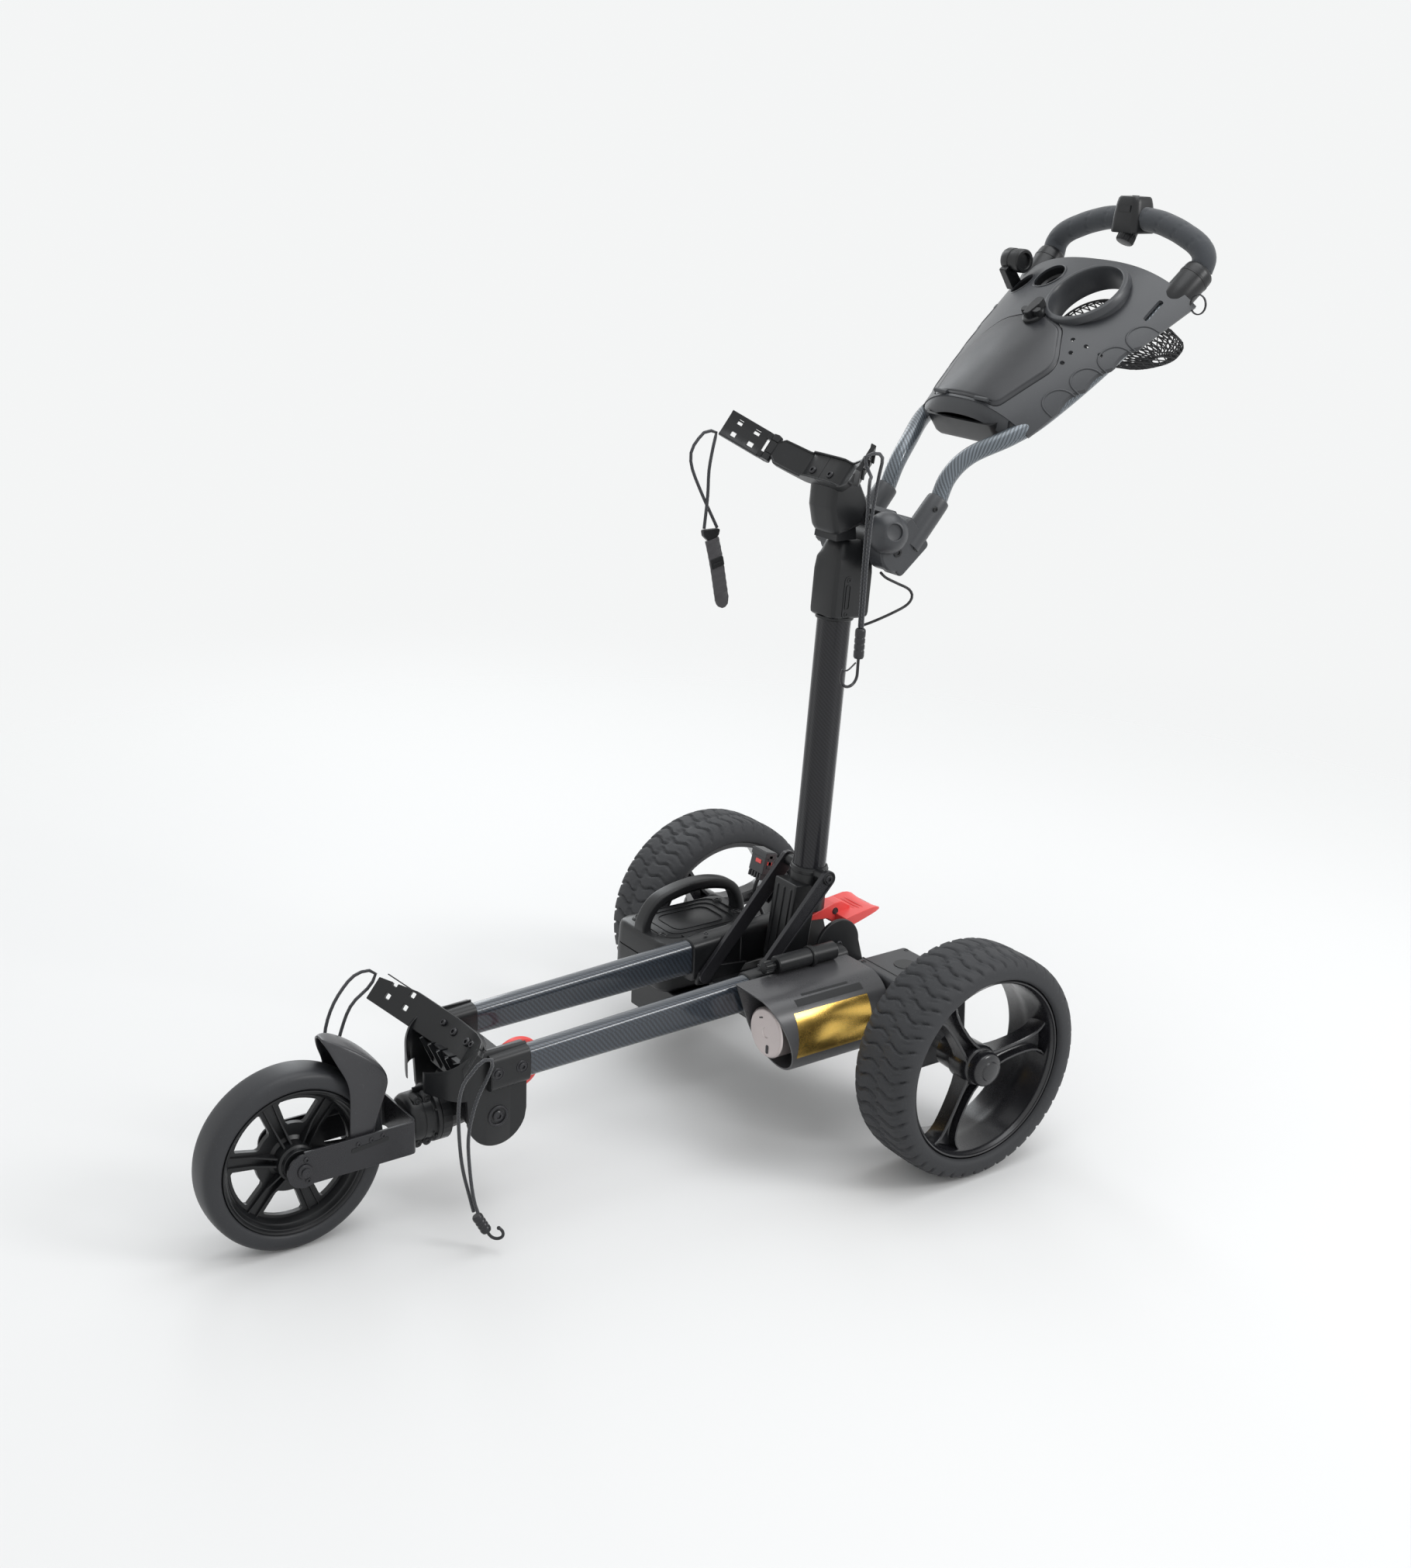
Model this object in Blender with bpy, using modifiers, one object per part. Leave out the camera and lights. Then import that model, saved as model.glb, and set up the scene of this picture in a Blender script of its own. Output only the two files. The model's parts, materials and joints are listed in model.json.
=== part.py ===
"""Three-wheel electric golf trolley, as an assembly of separate parts.

Metres, +Z up. The front wheel points along -Y and the trolley's left is +X.
The origin is on the ground, under the middle of the trolley. Lengths along Y
are given from the rear axle, and at() adds the axle's place.
"""
import math

import bmesh
import bpy
from mathutils import Matrix, Vector

AXLE_Y = 0.2053                 # rear axle, from the middle of the trolley
GAP = 0.0003                    # clearance between parts that touch

REAR_R = 0.140                  # rear wheels
REAR_X = 0.258
REAR_HALF = 0.045
FRONT_R = 0.1062                # front wheel
FRONT_Y = -0.7445
FRONT_HALF = 0.0223

TUBE_X = 0.0606                 # lower side tubes
TUBE_FRONT = -0.531
TUBE_REAR = -0.135
TUBE_HALF_WIDTH = 0.0118
TUBE_SLOPE = 0.0423

BAG_TILT = math.atan2(0.79, 0.61)    # direction in which the bag leans on the cradles
CONSOLE_ORIGIN = (0.1504, 0.8717)    # lower edge of the console's top, y and z
CONSOLE_TILT = math.atan2(0.595, 0.804)
FOLD_PIN = (-0.1673, 0.1670)         # main fold, y and z
HUB_PIN = (0.0170, 0.7060)           # handle fold
FRONT_PIN = (-0.5233, 0.1220)        # front arm fold

SURFACES = {
    "carbon": ((0.035, 0.040, 0.048, 1), 0.25, 0.2),
    "black_plastic": ((0.020, 0.021, 0.023, 1), 0.5, 0.0),
    "grey_plastic": ((0.065, 0.067, 0.072, 1), 0.45, 0.0),
    "rubber": ((0.030, 0.031, 0.033, 1), 0.8, 0.0),
    "foam": ((0.060, 0.064, 0.070, 1), 0.9, 0.0),
    "red_plastic": ((0.75, 0.05, 0.06, 1), 0.4, 0.0),
    "steel": ((0.55, 0.55, 0.56, 1), 0.3, 1.0),
    "black_steel": ((0.025, 0.025, 0.027, 1), 0.45, 0.6),
    "motor_metal": ((0.60, 0.55, 0.54, 1), 0.4, 0.8),
    "cord": ((0.018, 0.018, 0.020, 1), 0.8, 0.0),
    "net": ((0.020, 0.020, 0.022, 1), 0.9, 0.0),
}


# ---------------------------------------------------------------- scene and helpers

for old in list(bpy.data.objects):
    bpy.data.objects.remove(old, do_unlink=True)


def new_collection(name):
    collection = bpy.data.collections.new(name)
    bpy.context.scene.collection.children.link(collection)
    return collection


PARTS = new_collection("golf_trolley")
CUTTERS = new_collection("cutters")


def surface(name):
    material = bpy.data.materials.get(name)
    if material is None:
        material = bpy.data.materials.new(name)
        material.use_nodes = True
        shader = material.node_tree.nodes["Principled BSDF"]
        colour, rough, metal = SURFACES[name]
        shader.inputs["Base Color"].default_value = colour
        shader.inputs["Roughness"].default_value = rough
        shader.inputs["Metallic"].default_value = metal
        material.diffuse_color = colour
    return material


def at(x, y, z):
    """A point given from the rear axle's place on the ground."""
    return Vector((x, y + AXLE_Y, z))


def add(name, mesh, finish, matrix=None):
    """A named part; with no finish it is a helper shape for a Boolean."""
    part = bpy.data.objects.new(name, mesh)
    part.matrix_world = matrix or Matrix.Identity(4)
    (PARTS if finish else CUTTERS).objects.link(part)
    if finish:
        mesh.materials.clear()
        mesh.materials.append(surface(finish))
        mesh.shade_smooth()
        mesh.set_sharp_from_angle(angle=math.radians(35))
    else:
        part.hide_render = True
        part.display_type = "WIRE"
    return part


def frame_of(centre, right, up):
    """A matrix whose X runs along right and whose Y runs along up."""
    right, up = Vector(right).normalized(), Vector(up).normalized()
    turn = Matrix((right, up, right.cross(up))).transposed().to_4x4()
    return Matrix.Translation(centre) @ turn


def along(axis):
    """The rotation that takes +Z to an axis."""
    return Vector((0, 0, 1)).rotation_difference(Vector(axis)).to_matrix().to_4x4()


def chamfer(part, width, segments=1):
    edge = part.modifiers.new("edges", "BEVEL")
    edge.width = width
    edge.segments = segments
    edge.limit_method = "ANGLE"
    edge.angle_limit = math.radians(40)
    return part


def boolean(part, kind, others):
    for other in others:
        step = part.modifiers.new(kind.lower(), "BOOLEAN")
        step.operation = kind
        step.solver = "EXACT"
        step.object = other
    return part


def cut(part, *cutters):
    return boolean(part, "DIFFERENCE", cutters)


def join(part, *others):
    return boolean(part, "UNION", others)


def block(name, size, centre, finish=None, tilt=0.0, bevel=0.0, taper=(1.0, 1.0)):
    """A box; tilt turns it about X, and taper scales its top along X and Y."""
    bm = bmesh.new()
    bmesh.ops.create_cube(bm, size=1.0, matrix=Matrix.Diagonal((*size, 1.0)))
    for vertex in bm.verts:
        if vertex.co.z > 0:
            vertex.co.x *= taper[0]
            vertex.co.y *= taper[1]
    mesh = bpy.data.meshes.new(name)
    bm.to_mesh(mesh)
    bm.free()
    part = add(name, mesh, finish, Matrix.Translation(centre) @ Matrix.Rotation(tilt, 4, "X"))
    return chamfer(part, bevel) if bevel else part


def rod(name, radius, start, end, finish=None, sides=24, end_radius=None, bevel=0.0):
    """A round bar or cone from one point to another."""
    start, end = Vector(start), Vector(end)
    bm = bmesh.new()
    bmesh.ops.create_cone(
        bm, cap_ends=True, segments=sides, radius1=radius,
        radius2=radius if end_radius is None else end_radius, depth=(end - start).length,
    )
    mesh = bpy.data.meshes.new(name)
    bm.to_mesh(mesh)
    bm.free()
    part = add(name, mesh, finish, Matrix.Translation((start + end) / 2) @ along(end - start))
    return chamfer(part, bevel) if bevel else part


def ball(name, radius, centre, finish=None, scale=(1, 1, 1), sides=20):
    bm = bmesh.new()
    bmesh.ops.create_uvsphere(bm, u_segments=sides, v_segments=sides // 2, radius=radius)
    bmesh.ops.scale(bm, vec=scale, verts=bm.verts)
    mesh = bpy.data.meshes.new(name)
    bm.to_mesh(mesh)
    bm.free()
    return add(name, mesh, finish, Matrix.Translation(centre))


def turned(name, profile, centre, axis, finish=None, steps=40):
    """A closed profile of (radius, height) points turned about an axis."""
    bm = bmesh.new()
    ring = [bm.verts.new((radius, 0, height)) for radius, height in profile]
    for first, second in zip(ring, ring[1:] + ring[:1]):
        bm.edges.new((first, second))
    mesh = bpy.data.meshes.new(name)
    bm.to_mesh(mesh)
    bm.free()
    part = add(name, mesh, finish, Matrix.Translation(centre) @ along(axis))
    screw = part.modifiers.new("turn", "SCREW")
    screw.axis = "Z"
    screw.steps = screw.render_steps = steps
    screw.use_merge_vertices = True
    screw.merge_threshold = 0.00001
    screw.use_normal_calculate = False
    return part


def ring_profile(inner, outer, half):
    """A rectangle on the +X side, outer side first, from top to bottom."""
    return [(outer, half), (outer, -half), (inner, -half), (inner, half)]


def as_mesh(curve_object, name, finish):
    """Turn a curve into a welded mesh, which can then be cut or joined."""
    bpy.context.view_layer.update()
    graph = bpy.context.evaluated_depsgraph_get()
    mesh = bpy.data.meshes.new_from_object(curve_object.evaluated_get(graph))
    bm = bmesh.new()
    bm.from_mesh(mesh)
    bmesh.ops.remove_doubles(bm, verts=bm.verts, dist=0.00001)
    bm.to_mesh(mesh)
    bm.free()
    matrix = curve_object.matrix_world.copy()
    bpy.data.objects.remove(curve_object, do_unlink=True)
    mesh.name = name
    return add(name, mesh, finish, matrix)


def plate(name, outline, thickness, matrix, finish=None):
    """A flat outline, thickened evenly on both sides of its plane."""
    curve = bpy.data.curves.new(name, "CURVE")
    curve.dimensions = "2D"
    curve.fill_mode = "BOTH"
    curve.extrude = thickness / 2
    spline = curve.splines.new("POLY")
    spline.points.add(len(outline) - 1)
    for point, (a, b) in zip(spline.points, outline):
        point.co = (a, b, 0, 1)
    spline.use_cyclic_u = True
    holder = bpy.data.objects.new(name + "_outline", curve)
    CUTTERS.objects.link(holder)
    holder.matrix_world = matrix
    return as_mesh(holder, name, finish)


def side_plate(name, outline, x, thickness, finish=None):
    """A plate that stands along the trolley: its outline is in y and z."""
    return plate(name, outline, thickness, frame_of(at(x, 0, 0), (0, 1, 0), (0, 0, 1)), finish)


def smooth_path(points, spacing):
    """Points at even spacing along a smooth curve through the given ones."""
    points = [Vector(p) for p in points]
    ends = [2 * points[0] - points[1], *points, 2 * points[-1] - points[-2]]
    fine = []
    for a, b, c, d in zip(ends, ends[1:], ends[2:], ends[3:]):
        for k in range(24):
            t = k / 24
            fine.append(0.5 * (2 * b + (c - a) * t + (2 * a - 5 * b + 4 * c - d) * t ** 2
                               + (3 * b - a - 3 * c + d) * t ** 3))
    fine.append(points[-1])
    total = sum((b - a).length for a, b in zip(fine, fine[1:]))
    count = max(2, round(total / spacing))
    path, run, target = [fine[0]], 0.0, total / count
    for a, b in zip(fine, fine[1:]):
        step = (b - a).length
        while step and run + step >= target * len(path) - 1e-9 and len(path) < count:
            path.append(a.lerp(b, (target * len(path) - run) / step))
        run += step
    path.append(fine[-1])
    return path


def bar(name, points, radius, finish=None, sides=8, mesh=True):
    """A round bar, tube or cord along a list of points."""
    curve = bpy.data.curves.new(name, "CURVE")
    curve.dimensions = "3D"
    curve.bevel_depth = radius
    curve.bevel_resolution = sides // 2 - 2
    curve.use_fill_caps = True
    spline = curve.splines.new("POLY")
    spline.points.add(len(points) - 1)
    for point, place in zip(spline.points, points):
        point.co = (*place, 1)
    holder = bpy.data.objects.new(name if not mesh else name + "_path", curve)
    (CUTTERS if mesh else PARTS).objects.link(holder)
    if mesh:
        return as_mesh(holder, name, finish)
    curve.materials.append(surface(finish))
    return holder


def rounded(corners, radius, steps=4):
    """An outline with its corners rounded; a corner may carry its own radius."""
    result = []
    count = len(corners)
    for k, corner in enumerate(corners):
        here = Vector(corner[:2])
        reach = corner[2] if len(corner) > 2 else radius
        before = (Vector(corners[k - 1][:2]) - here)
        after = (Vector(corners[(k + 1) % count][:2]) - here)
        if reach <= 0:
            result.append(tuple(here))
            continue
        half = before.angle(after) / 2
        span = min(reach / math.tan(half), 0.49 * before.length, 0.49 * after.length)
        start, end = here + before.normalized() * span, here + after.normalized() * span
        for j in range(steps + 1):
            t = j / steps
            result.append(tuple((1 - t) ** 2 * start + 2 * t * (1 - t) * here + t ** 2 * end))
    return result


def arc(centre, radius, start, end, steps):
    """Points of an arc in degrees, in the plane of an outline."""
    angles = [math.radians(start + (end - start) * k / steps) for k in range(steps + 1)]
    return [(centre[0] + radius * math.cos(a), centre[1] + radius * math.sin(a)) for a in angles]


# ---------------------------------------------------------------- wheels

def rear_wheel(side):
    """Fat tyre, deep rim with three twin-ribbed spokes, and a domed hub cap."""
    sign = 1 if side == "left" else -1
    centre, out = at(sign * REAR_X, 0, REAR_R), (sign, 0, 0)
    half = REAR_HALF
    tyre = [(0.1340, half - 0.004), (REAR_R, half - 0.015), (REAR_R, 0.015 - half),
            (0.1340, 0.004 - half), (0.1280, -half), (0.1150, -half + 0.002),
            (0.1120, -half + 0.006), (0.1120, half - 0.006), (0.1150, half - 0.002),
            (0.1280, half)]
    turned("rear_tyre_" + side, tyre, centre, out, "rubber", 36)
    rim = turned("rear_rim_" + side, ring_profile(0.1050, 0.1120 - GAP, half - 0.007),
                 centre, out, "black_plastic", 36)
    hub = turned("hub", ring_profile(0.0088, 0.0230, 0.030), centre, out, steps=16)
    spokes = []
    for k in range(3):
        turn = Matrix.Translation(centre) @ Matrix.Rotation(math.radians(120 * k + 35), 4, "X")
        spoke = block("spoke", (0.022, 0.020, 0.0880), (0, 0, 0))
        spoke.matrix_world = turn @ Matrix.Translation((sign * 0.014, 0, 0.0640))
        spokes.append(spoke)
    join(rim, hub, *spokes)
    cap = [(0.0, 0.0165), (0.0120, 0.0155), (0.0210, 0.0110), (0.0215, 0.0), (0.0, 0.0)]
    join(rim, turned_solid("hub_cap", cap, centre + Vector((sign * 0.029, 0, 0)), out, steps=16))


def turned_solid(name, profile, centre, axis, finish=None, steps=24):
    """A solid whose profile starts and ends on the axis."""
    bm = bmesh.new()
    line = [bm.verts.new((radius, 0, height)) for radius, height in profile]
    for first, second in zip(line, line[1:]):
        bm.edges.new((first, second))
    mesh = bpy.data.meshes.new(name)
    bm.to_mesh(mesh)
    bm.free()
    part = add(name, mesh, finish, Matrix.Translation(centre) @ along(axis))
    screw = part.modifiers.new("turn", "SCREW")
    screw.axis = "Z"
    screw.steps = screw.render_steps = steps
    screw.use_merge_vertices = True
    screw.merge_threshold = 0.00001
    return part


def front_wheel():
    """Smooth tyre on a rim with six windows, running on a bolt."""
    centre = at(0, FRONT_Y, FRONT_R)
    half = FRONT_HALF
    tyre = [(0.0955, half), (0.1030, half - 0.004), (FRONT_R, half - 0.013),
            (FRONT_R, 0.013 - half), (0.1030, 0.004 - half), (0.0955, -half),
            (0.0850, -half + 0.003), (0.0850, half - 0.003)]
    turned("front_tyre", tyre, centre, (1, 0, 0), "rubber", 36)
    rim = turned("front_rim", [(0.0850 - GAP, 0.0190), (0.0850 - GAP, -0.0190),
                               (0.0760, -0.0190), (0.0720, -0.0030), (0.0720, 0.0030),
                               (0.0760, 0.0190)], centre, (1, 0, 0), "black_plastic", 36)
    disc = turned("disc", ring_profile(0.0190, 0.0735, 0.0030), centre, (1, 0, 0), steps=36)
    hub = turned("hub", ring_profile(0.0058, 0.0210, 0.0270), centre, (1, 0, 0), steps=18)
    windows = []
    for k in range(6):
        middle = 60 * k + 20
        outline = arc((0, 0), 0.0690, middle - 21, middle + 21, 4)
        outline += arc((0, 0), 0.0400, middle + 16, middle - 16, 2)
        window = plate("window", outline, 0.02,
                       frame_of(centre, (0, 1, 0), (0, 0, 1)))
        windows.append(window)
    join(rim, disc, hub)
    cut(rim, *windows)
    rod("front_axle", 0.0055, centre - Vector((0.0450, 0, 0)), centre + Vector((0.0450, 0, 0)),
        "steel", 16)


# ---------------------------------------------------------------- front fork and arm

def front_fork():
    """A flat steel strip bent to a U, the guard on it, and the collar behind it."""
    half, wall = 0.0400, 0.0030
    back = -0.6100
    outline = [(-half, FRONT_Y), (-half, back), (half, back), (half, FRONT_Y),
               (half - wall, FRONT_Y), (half - wall, back - wall), (wall - half, back - wall),
               (wall - half, FRONT_Y)]
    corners = [(x, y, r) for (x, y), r in zip(outline, (0, 0.008, 0.008, 0, 0, 0.005, 0.005, 0))]
    strip = plate("fork", rounded(corners, 0.0, 3), 0.0400,
                  frame_of(at(0, 0, 0.1085), (1, 0, 0), (0, 1, 0)), "black_steel")
    ends = []
    for sign in (-1, 1):
        eye = rod("eye", 0.0200, at(sign * half, FRONT_Y, FRONT_R),
                  at(sign * (half - wall), FRONT_Y, FRONT_R), sides=28)
        ends.append(eye)
    join(strip, *ends)
    cut(strip, rod("axle_hole", 0.0055 + GAP, at(-0.05, FRONT_Y, FRONT_R),
                   at(0.05, FRONT_Y, FRONT_R), sides=16))


def mudguard():
    """A strap over the wheel: two legs inside the fork and a pointed top."""
    outer = [(-0.6880, 0.1300), (-0.6600, 0.1300), (-0.6375, 0.1870), (-0.6890, 0.2370),
             (-0.7060, 0.2370), (-0.6990, 0.2050), (-0.6870, 0.1850)]
    guard = side_plate("mudguard", rounded(outer, 0.004, 2), 0, 0.0720, "grey_plastic")
    inner = [(-0.7300, 0.1000), (-0.6400, 0.1000), (-0.6400, 0.1865), (-0.6900, 0.2335),
             (-0.7300, 0.2335)]
    cut(guard, side_plate("guard_inside", inner, 0, 0.0670))
    for sign in (-1, 1):
        trim = block("guard_trim", (0.040, 0.090, 0.110), at(sign * 0.0455, -0.7180, 0.2330))
        trim.rotation_euler = (math.radians(-38), 0, sign * math.radians(32))
        cut(guard, trim)
    tab_z = (0.1165, 0.1320)
    for sign in (-1, 1):
        join(guard, block("tab", (0.0025, 0.030, tab_z[1] - tab_z[0]),
                          at(sign * 0.0354, -0.6740, sum(tab_z) / 2)))


def fork_collar():
    """The round collar between the fork and the fold; it trims the wheel's line."""
    y0, y1 = -0.6100 + GAP, -0.5740
    drum = [(0.0, 0.0), (0.0250, 0.0), (0.0290, 0.004), (0.0290, y1 - y0 - 0.006),
            (0.0335, y1 - y0 - 0.004), (0.0335, y1 - y0), (0.0, y1 - y0)]
    turned_solid("fork_collar", drum[::-1], at(0, y0, 0.1120), (0, 1, 0), "black_plastic", 28)


def front_arm():
    """The folding root behind the collar: a flange and a lug round the bolt."""
    arm = rod("front_arm", 0.0335, at(0, -0.5740 + GAP, 0.1120), at(0, -0.5620, 0.1120),
              "black_plastic", 28)
    neck = rod("neck", 0.0260, at(0, -0.5700, 0.1120), at(0, -0.5360, 0.1160), sides=24)
    lug = rod("lug", 0.0290, at(-0.0360, *FRONT_PIN), at(0.0360, *FRONT_PIN), sides=28)
    join(arm, neck, lug)
    cut(arm, rod("bolt_hole", 0.0060 + GAP, at(-0.06, *FRONT_PIN), at(0.06, *FRONT_PIN),
                 sides=16))


def front_housing():
    """Two side plates with the tube sockets, the block between them, and the bolt."""
    for side, sign in (("left", 1), ("right", -1)):
        lobe = [(-0.5740, 0.1590), (-0.5740, 0.1450), (-0.5620, 0.1200)]
        lobe += arc(FRONT_PIN, 0.0367, 190, 360, 13)
        lobe += [(-0.4866, 0.1600)]
        shell = side_plate("front_plate_" + side, lobe, sign * 0.0555, 0.0100, "black_plastic")
        socket = block("socket", (0.0310, 0.0500, 0.0430), at(sign * TUBE_X, -0.5110, 0.1795),
                       bevel=0.004)
        cheek = plate("cheek", [(0.0, 0.1490), (0.0460, 0.1490), (0.0460, 0.2060), (0.0360, 0.2055),
                                (0.0240, 0.2020), (0.0120, 0.1940), (0.0040, 0.1840),
                                (0.0, 0.1740)], 0.0060,
                      frame_of(at(sign * 0.0180, -0.5880, 0), (sign * 0.9175, 0.3976, 0), (0, 0, 1)))
        join(shell, socket, cheek)
        pocket = side_tube("pocket", sign, GAP)
        hole = rod("bolt_hole", 0.0060 + GAP, at(0.03 * sign, *FRONT_PIN),
                   at(0.08 * sign, *FRONT_PIN), sides=16)
        recess = rod("recess", 0.0130, at(0.0565 * sign, *FRONT_PIN),
                     at(0.08 * sign, *FRONT_PIN), sides=24)
        cut(shell, pocket, hole, recess)
    core = block("front_block", (0.0890, 0.0370, 0.0260), at(0, -0.5145, 0.1690),
                 "black_plastic", bevel=0.003)
    join(core, block("rib", (0.0780, 0.0060, 0.0160), at(0, -0.5000, 0.1600)))
    bolt = rod("fold_bolt", 0.0060, at(-0.0590, *FRONT_PIN), at(0.0590, *FRONT_PIN), "steel", 16)
    for sign in (-1, 1):
        head = rod("head", 0.0095, at(sign * 0.0568, *FRONT_PIN), at(sign * 0.0625, *FRONT_PIN),
                   sides=6)
        join(bolt, head)


def release_ring():
    """Red finger ring behind the front housing, on a short tongue."""
    centre = (-0.4620, 0.1425)
    outline = [(centre[0] + 0.0330 * math.cos(a), centre[1] + 0.0330 * math.sin(a))
               for a in (2 * math.pi * k / 30 for k in range(30))]
    ring = side_plate("release_ring", outline, 0, 0.0080, "red_plastic")
    cut(ring, rod("finger_hole", 0.0255, at(-0.01, *centre), at(0.01, *centre), sides=30))
    join(ring, block("tongue", (0.0080, 0.0120, 0.0100), at(0, -0.4905, 0.1440)))


# ---------------------------------------------------------------- lower frame

def tube_top(y):
    """Height of a side tube's top edge; the tubes rise towards the rear."""
    return 0.1973 + (y + 0.4827) * TUBE_SLOPE


def side_tube(name, sign, grow=0.0, finish=None):
    """A flattened tube, 35 mm tall in front and 45 mm at the rear."""
    front, rear = TUBE_FRONT, TUBE_REAR
    mesh = bpy.data.meshes.new(name)
    bm = bmesh.new()
    bmesh.ops.create_cube(bm, size=2.0)
    for vertex in bm.verts:
        y, tall = (front - grow, 0.0350) if vertex.co.y < 0 else (rear + grow, 0.0450)
        top = tube_top(y)
        z = top + grow if vertex.co.z > 0 else top - tall - grow
        vertex.co = (vertex.co.x * (TUBE_HALF_WIDTH + grow), y, z)
    bm.to_mesh(mesh)
    bm.free()
    tube = add(name, mesh, finish, Matrix.Translation(at(sign * TUBE_X, 0, 0)))
    return chamfer(tube, 0.0070, 3)


def chassis():
    """The rear casting: both tube sockets, the cross beam and the latch ears."""
    beam = block("chassis_block", (0.1500, 0.0640, 0.0560), at(0, -0.0080, 0.1500),
                 "black_plastic", bevel=0.004)
    for sign in (-1, 1):
        socket = block("socket", (0.0310, 0.1480, 0.0560), at(sign * TUBE_X, -0.1070, 0.1870),
                       tilt=math.atan(TUBE_SLOPE), bevel=0.004)
        pocket = side_tube("pocket", sign, GAP)
        ear_outline = [(-0.0750, 0.1700), (0.0250, 0.1700)]
        ear_outline += arc((-0.0190, 0.2060), 0.0330, 0, 180, 8)
        ear = side_plate("ear", ear_outline, sign * 0.0350, 0.0060)
        join(beam, socket, ear)
        cut(beam, pocket)
    axle_boss = rod("axle_boss", 0.0200, at(-0.2000, 0, REAR_R), at(0.2000, 0, REAR_R), sides=16)
    join(beam, axle_boss)
    cut(beam, rod("axle_bore", 0.0080 + GAP, at(-0.21, 0, REAR_R), at(0.21, 0, REAR_R),
                  sides=20))
    for sign in (-1, 1):
        cut(beam, rod("pin_hole", 0.0035, at(sign * 0.040, *FOLD_PIN),
                      at(sign * 0.080, *FOLD_PIN), sides=12))
    rod("rear_axle", 0.0080, at(-0.2860, 0, REAR_R), at(0.2860, 0, REAR_R), "steel", 20)
    for side, sign in (("left", 1), ("right", -1)):
        side_tube("tube_" + side, sign, 0.0, "carbon")


def clamp_screw():
    """Knurled screw beside the left socket, which clamps the tube, and its cover."""
    x, z = 0.0780, 0.2238
    cover = rod("socket_cover", 0.0110, at(x, -0.1500, z), at(x, -0.0600, z), sides=20)
    join(bpy.data.objects["chassis_block"], cover)
    rod("clamp_screw", 0.0080, at(x, -0.1680, z), at(x, -0.1500 - GAP, z), "black_plastic", 12)


def drive():
    """Motor in its shroud along the left tube, and the gearbox at the axle."""
    x, z, front, rear = 0.1215, 0.1625, -0.2080, -0.0390
    outline = [(0.0440 * math.cos(a), 0.0500 * math.sin(a))
               for a in (math.radians(70 - 10 * k) for k in range(26))] + [(-0.0440, 0.0500)]
    room = [(0.0400 * math.cos(a), 0.0460 * math.sin(a))
            for a in (2 * math.pi * k / 32 for k in range(32))]
    across = ((1, 0, 0), (0, 0, 1))
    shroud = plate("motor_shroud", outline, rear - front,
                   frame_of(at(x, (front + rear) / 2, z), *across), "grey_plastic")
    bore = plate("bore", room, rear - front, frame_of(at(x, (front + rear) / 2 - 0.004, z), *across))
    mouth = block("mouth", (0.12, 0.08, 0.16), at(x, front - 0.0205, z - 0.010),
                  tilt=math.radians(20))
    cut(shroud, bore, mouth)
    rod("motor_can", 0.0310, at(x - 0.0075, front + 0.0200, z - 0.0035),
        at(x - 0.0075, rear - 0.0045, z - 0.0035), "motor_metal", 32, bevel=0.002)
    box = block("gearbox", (0.1240, 0.0900, 0.1020), at(0.1430, 0.0080, 0.1560),
                "grey_plastic", bevel=0.006, taper=(0.94, 0.92))
    cut(box, rod("axle_bore", 0.0210, at(0.05, 0, REAR_R), at(0.24, 0, REAR_R), sides=24))


def battery():
    """Battery case with its carrying handle, on a tray by the right tube."""
    case = block("battery_case", (0.1180, 0.1700, 0.0660), at(-0.1420, -0.1160, 0.1630),
                 "grey_plastic", bevel=0.010, taper=(0.96, 0.96))
    cut(case, block("terminal_slot", (0.030, 0.010, 0.016), at(-0.1200, -0.0310, 0.1600)))
    block("battery_tray", (0.1000, 0.1500, 0.0500), at(-0.1280, -0.1100, 0.1040),
          "black_plastic", bevel=0.005)
    route = [at(-0.1480, -0.1880, 0.1880), at(-0.1480, -0.1860, 0.2100),
             at(-0.1480, -0.1620, 0.2330), at(-0.1480, -0.1080, 0.2430),
             at(-0.1480, -0.0600, 0.2330), at(-0.1480, -0.0420, 0.2100),
             at(-0.1480, -0.0400, 0.1880)]
    join(case, bar("carry_handle", smooth_path(route, 0.012), 0.0095, sides=12))
    block("battery_plug", (0.0300, 0.0180, 0.0400), at(-0.0920, -0.0450, 0.2760),
          "grey_plastic", tilt=math.radians(-14), bevel=0.002)
    lead = [at(-0.0940, -0.0490, 0.2545), at(-0.0950, -0.0520, 0.2440),
            at(-0.0985, -0.0490, 0.2280), at(-0.1040, -0.0350, 0.2080),
            at(-0.1110, -0.0230, 0.1880), at(-0.1180, -0.0210, 0.1700),
            at(-0.1200, -0.0290, 0.1605)]
    bar("battery_lead", smooth_path(lead, 0.0085), 0.0025, "cord", 8, mesh=False)


# ---------------------------------------------------------------- mast

MAST_LOW = Vector((0, -0.0419, 0.3049))
MAST_HIGH = Vector((0, -0.0245, 0.6175))


def mast_at(z):
    t = (z - MAST_LOW.z) / (MAST_HIGH.z - MAST_LOW.z)
    y = MAST_LOW.y + t * (MAST_HIGH.y - MAST_LOW.y)
    return at(0, y, z)


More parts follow.
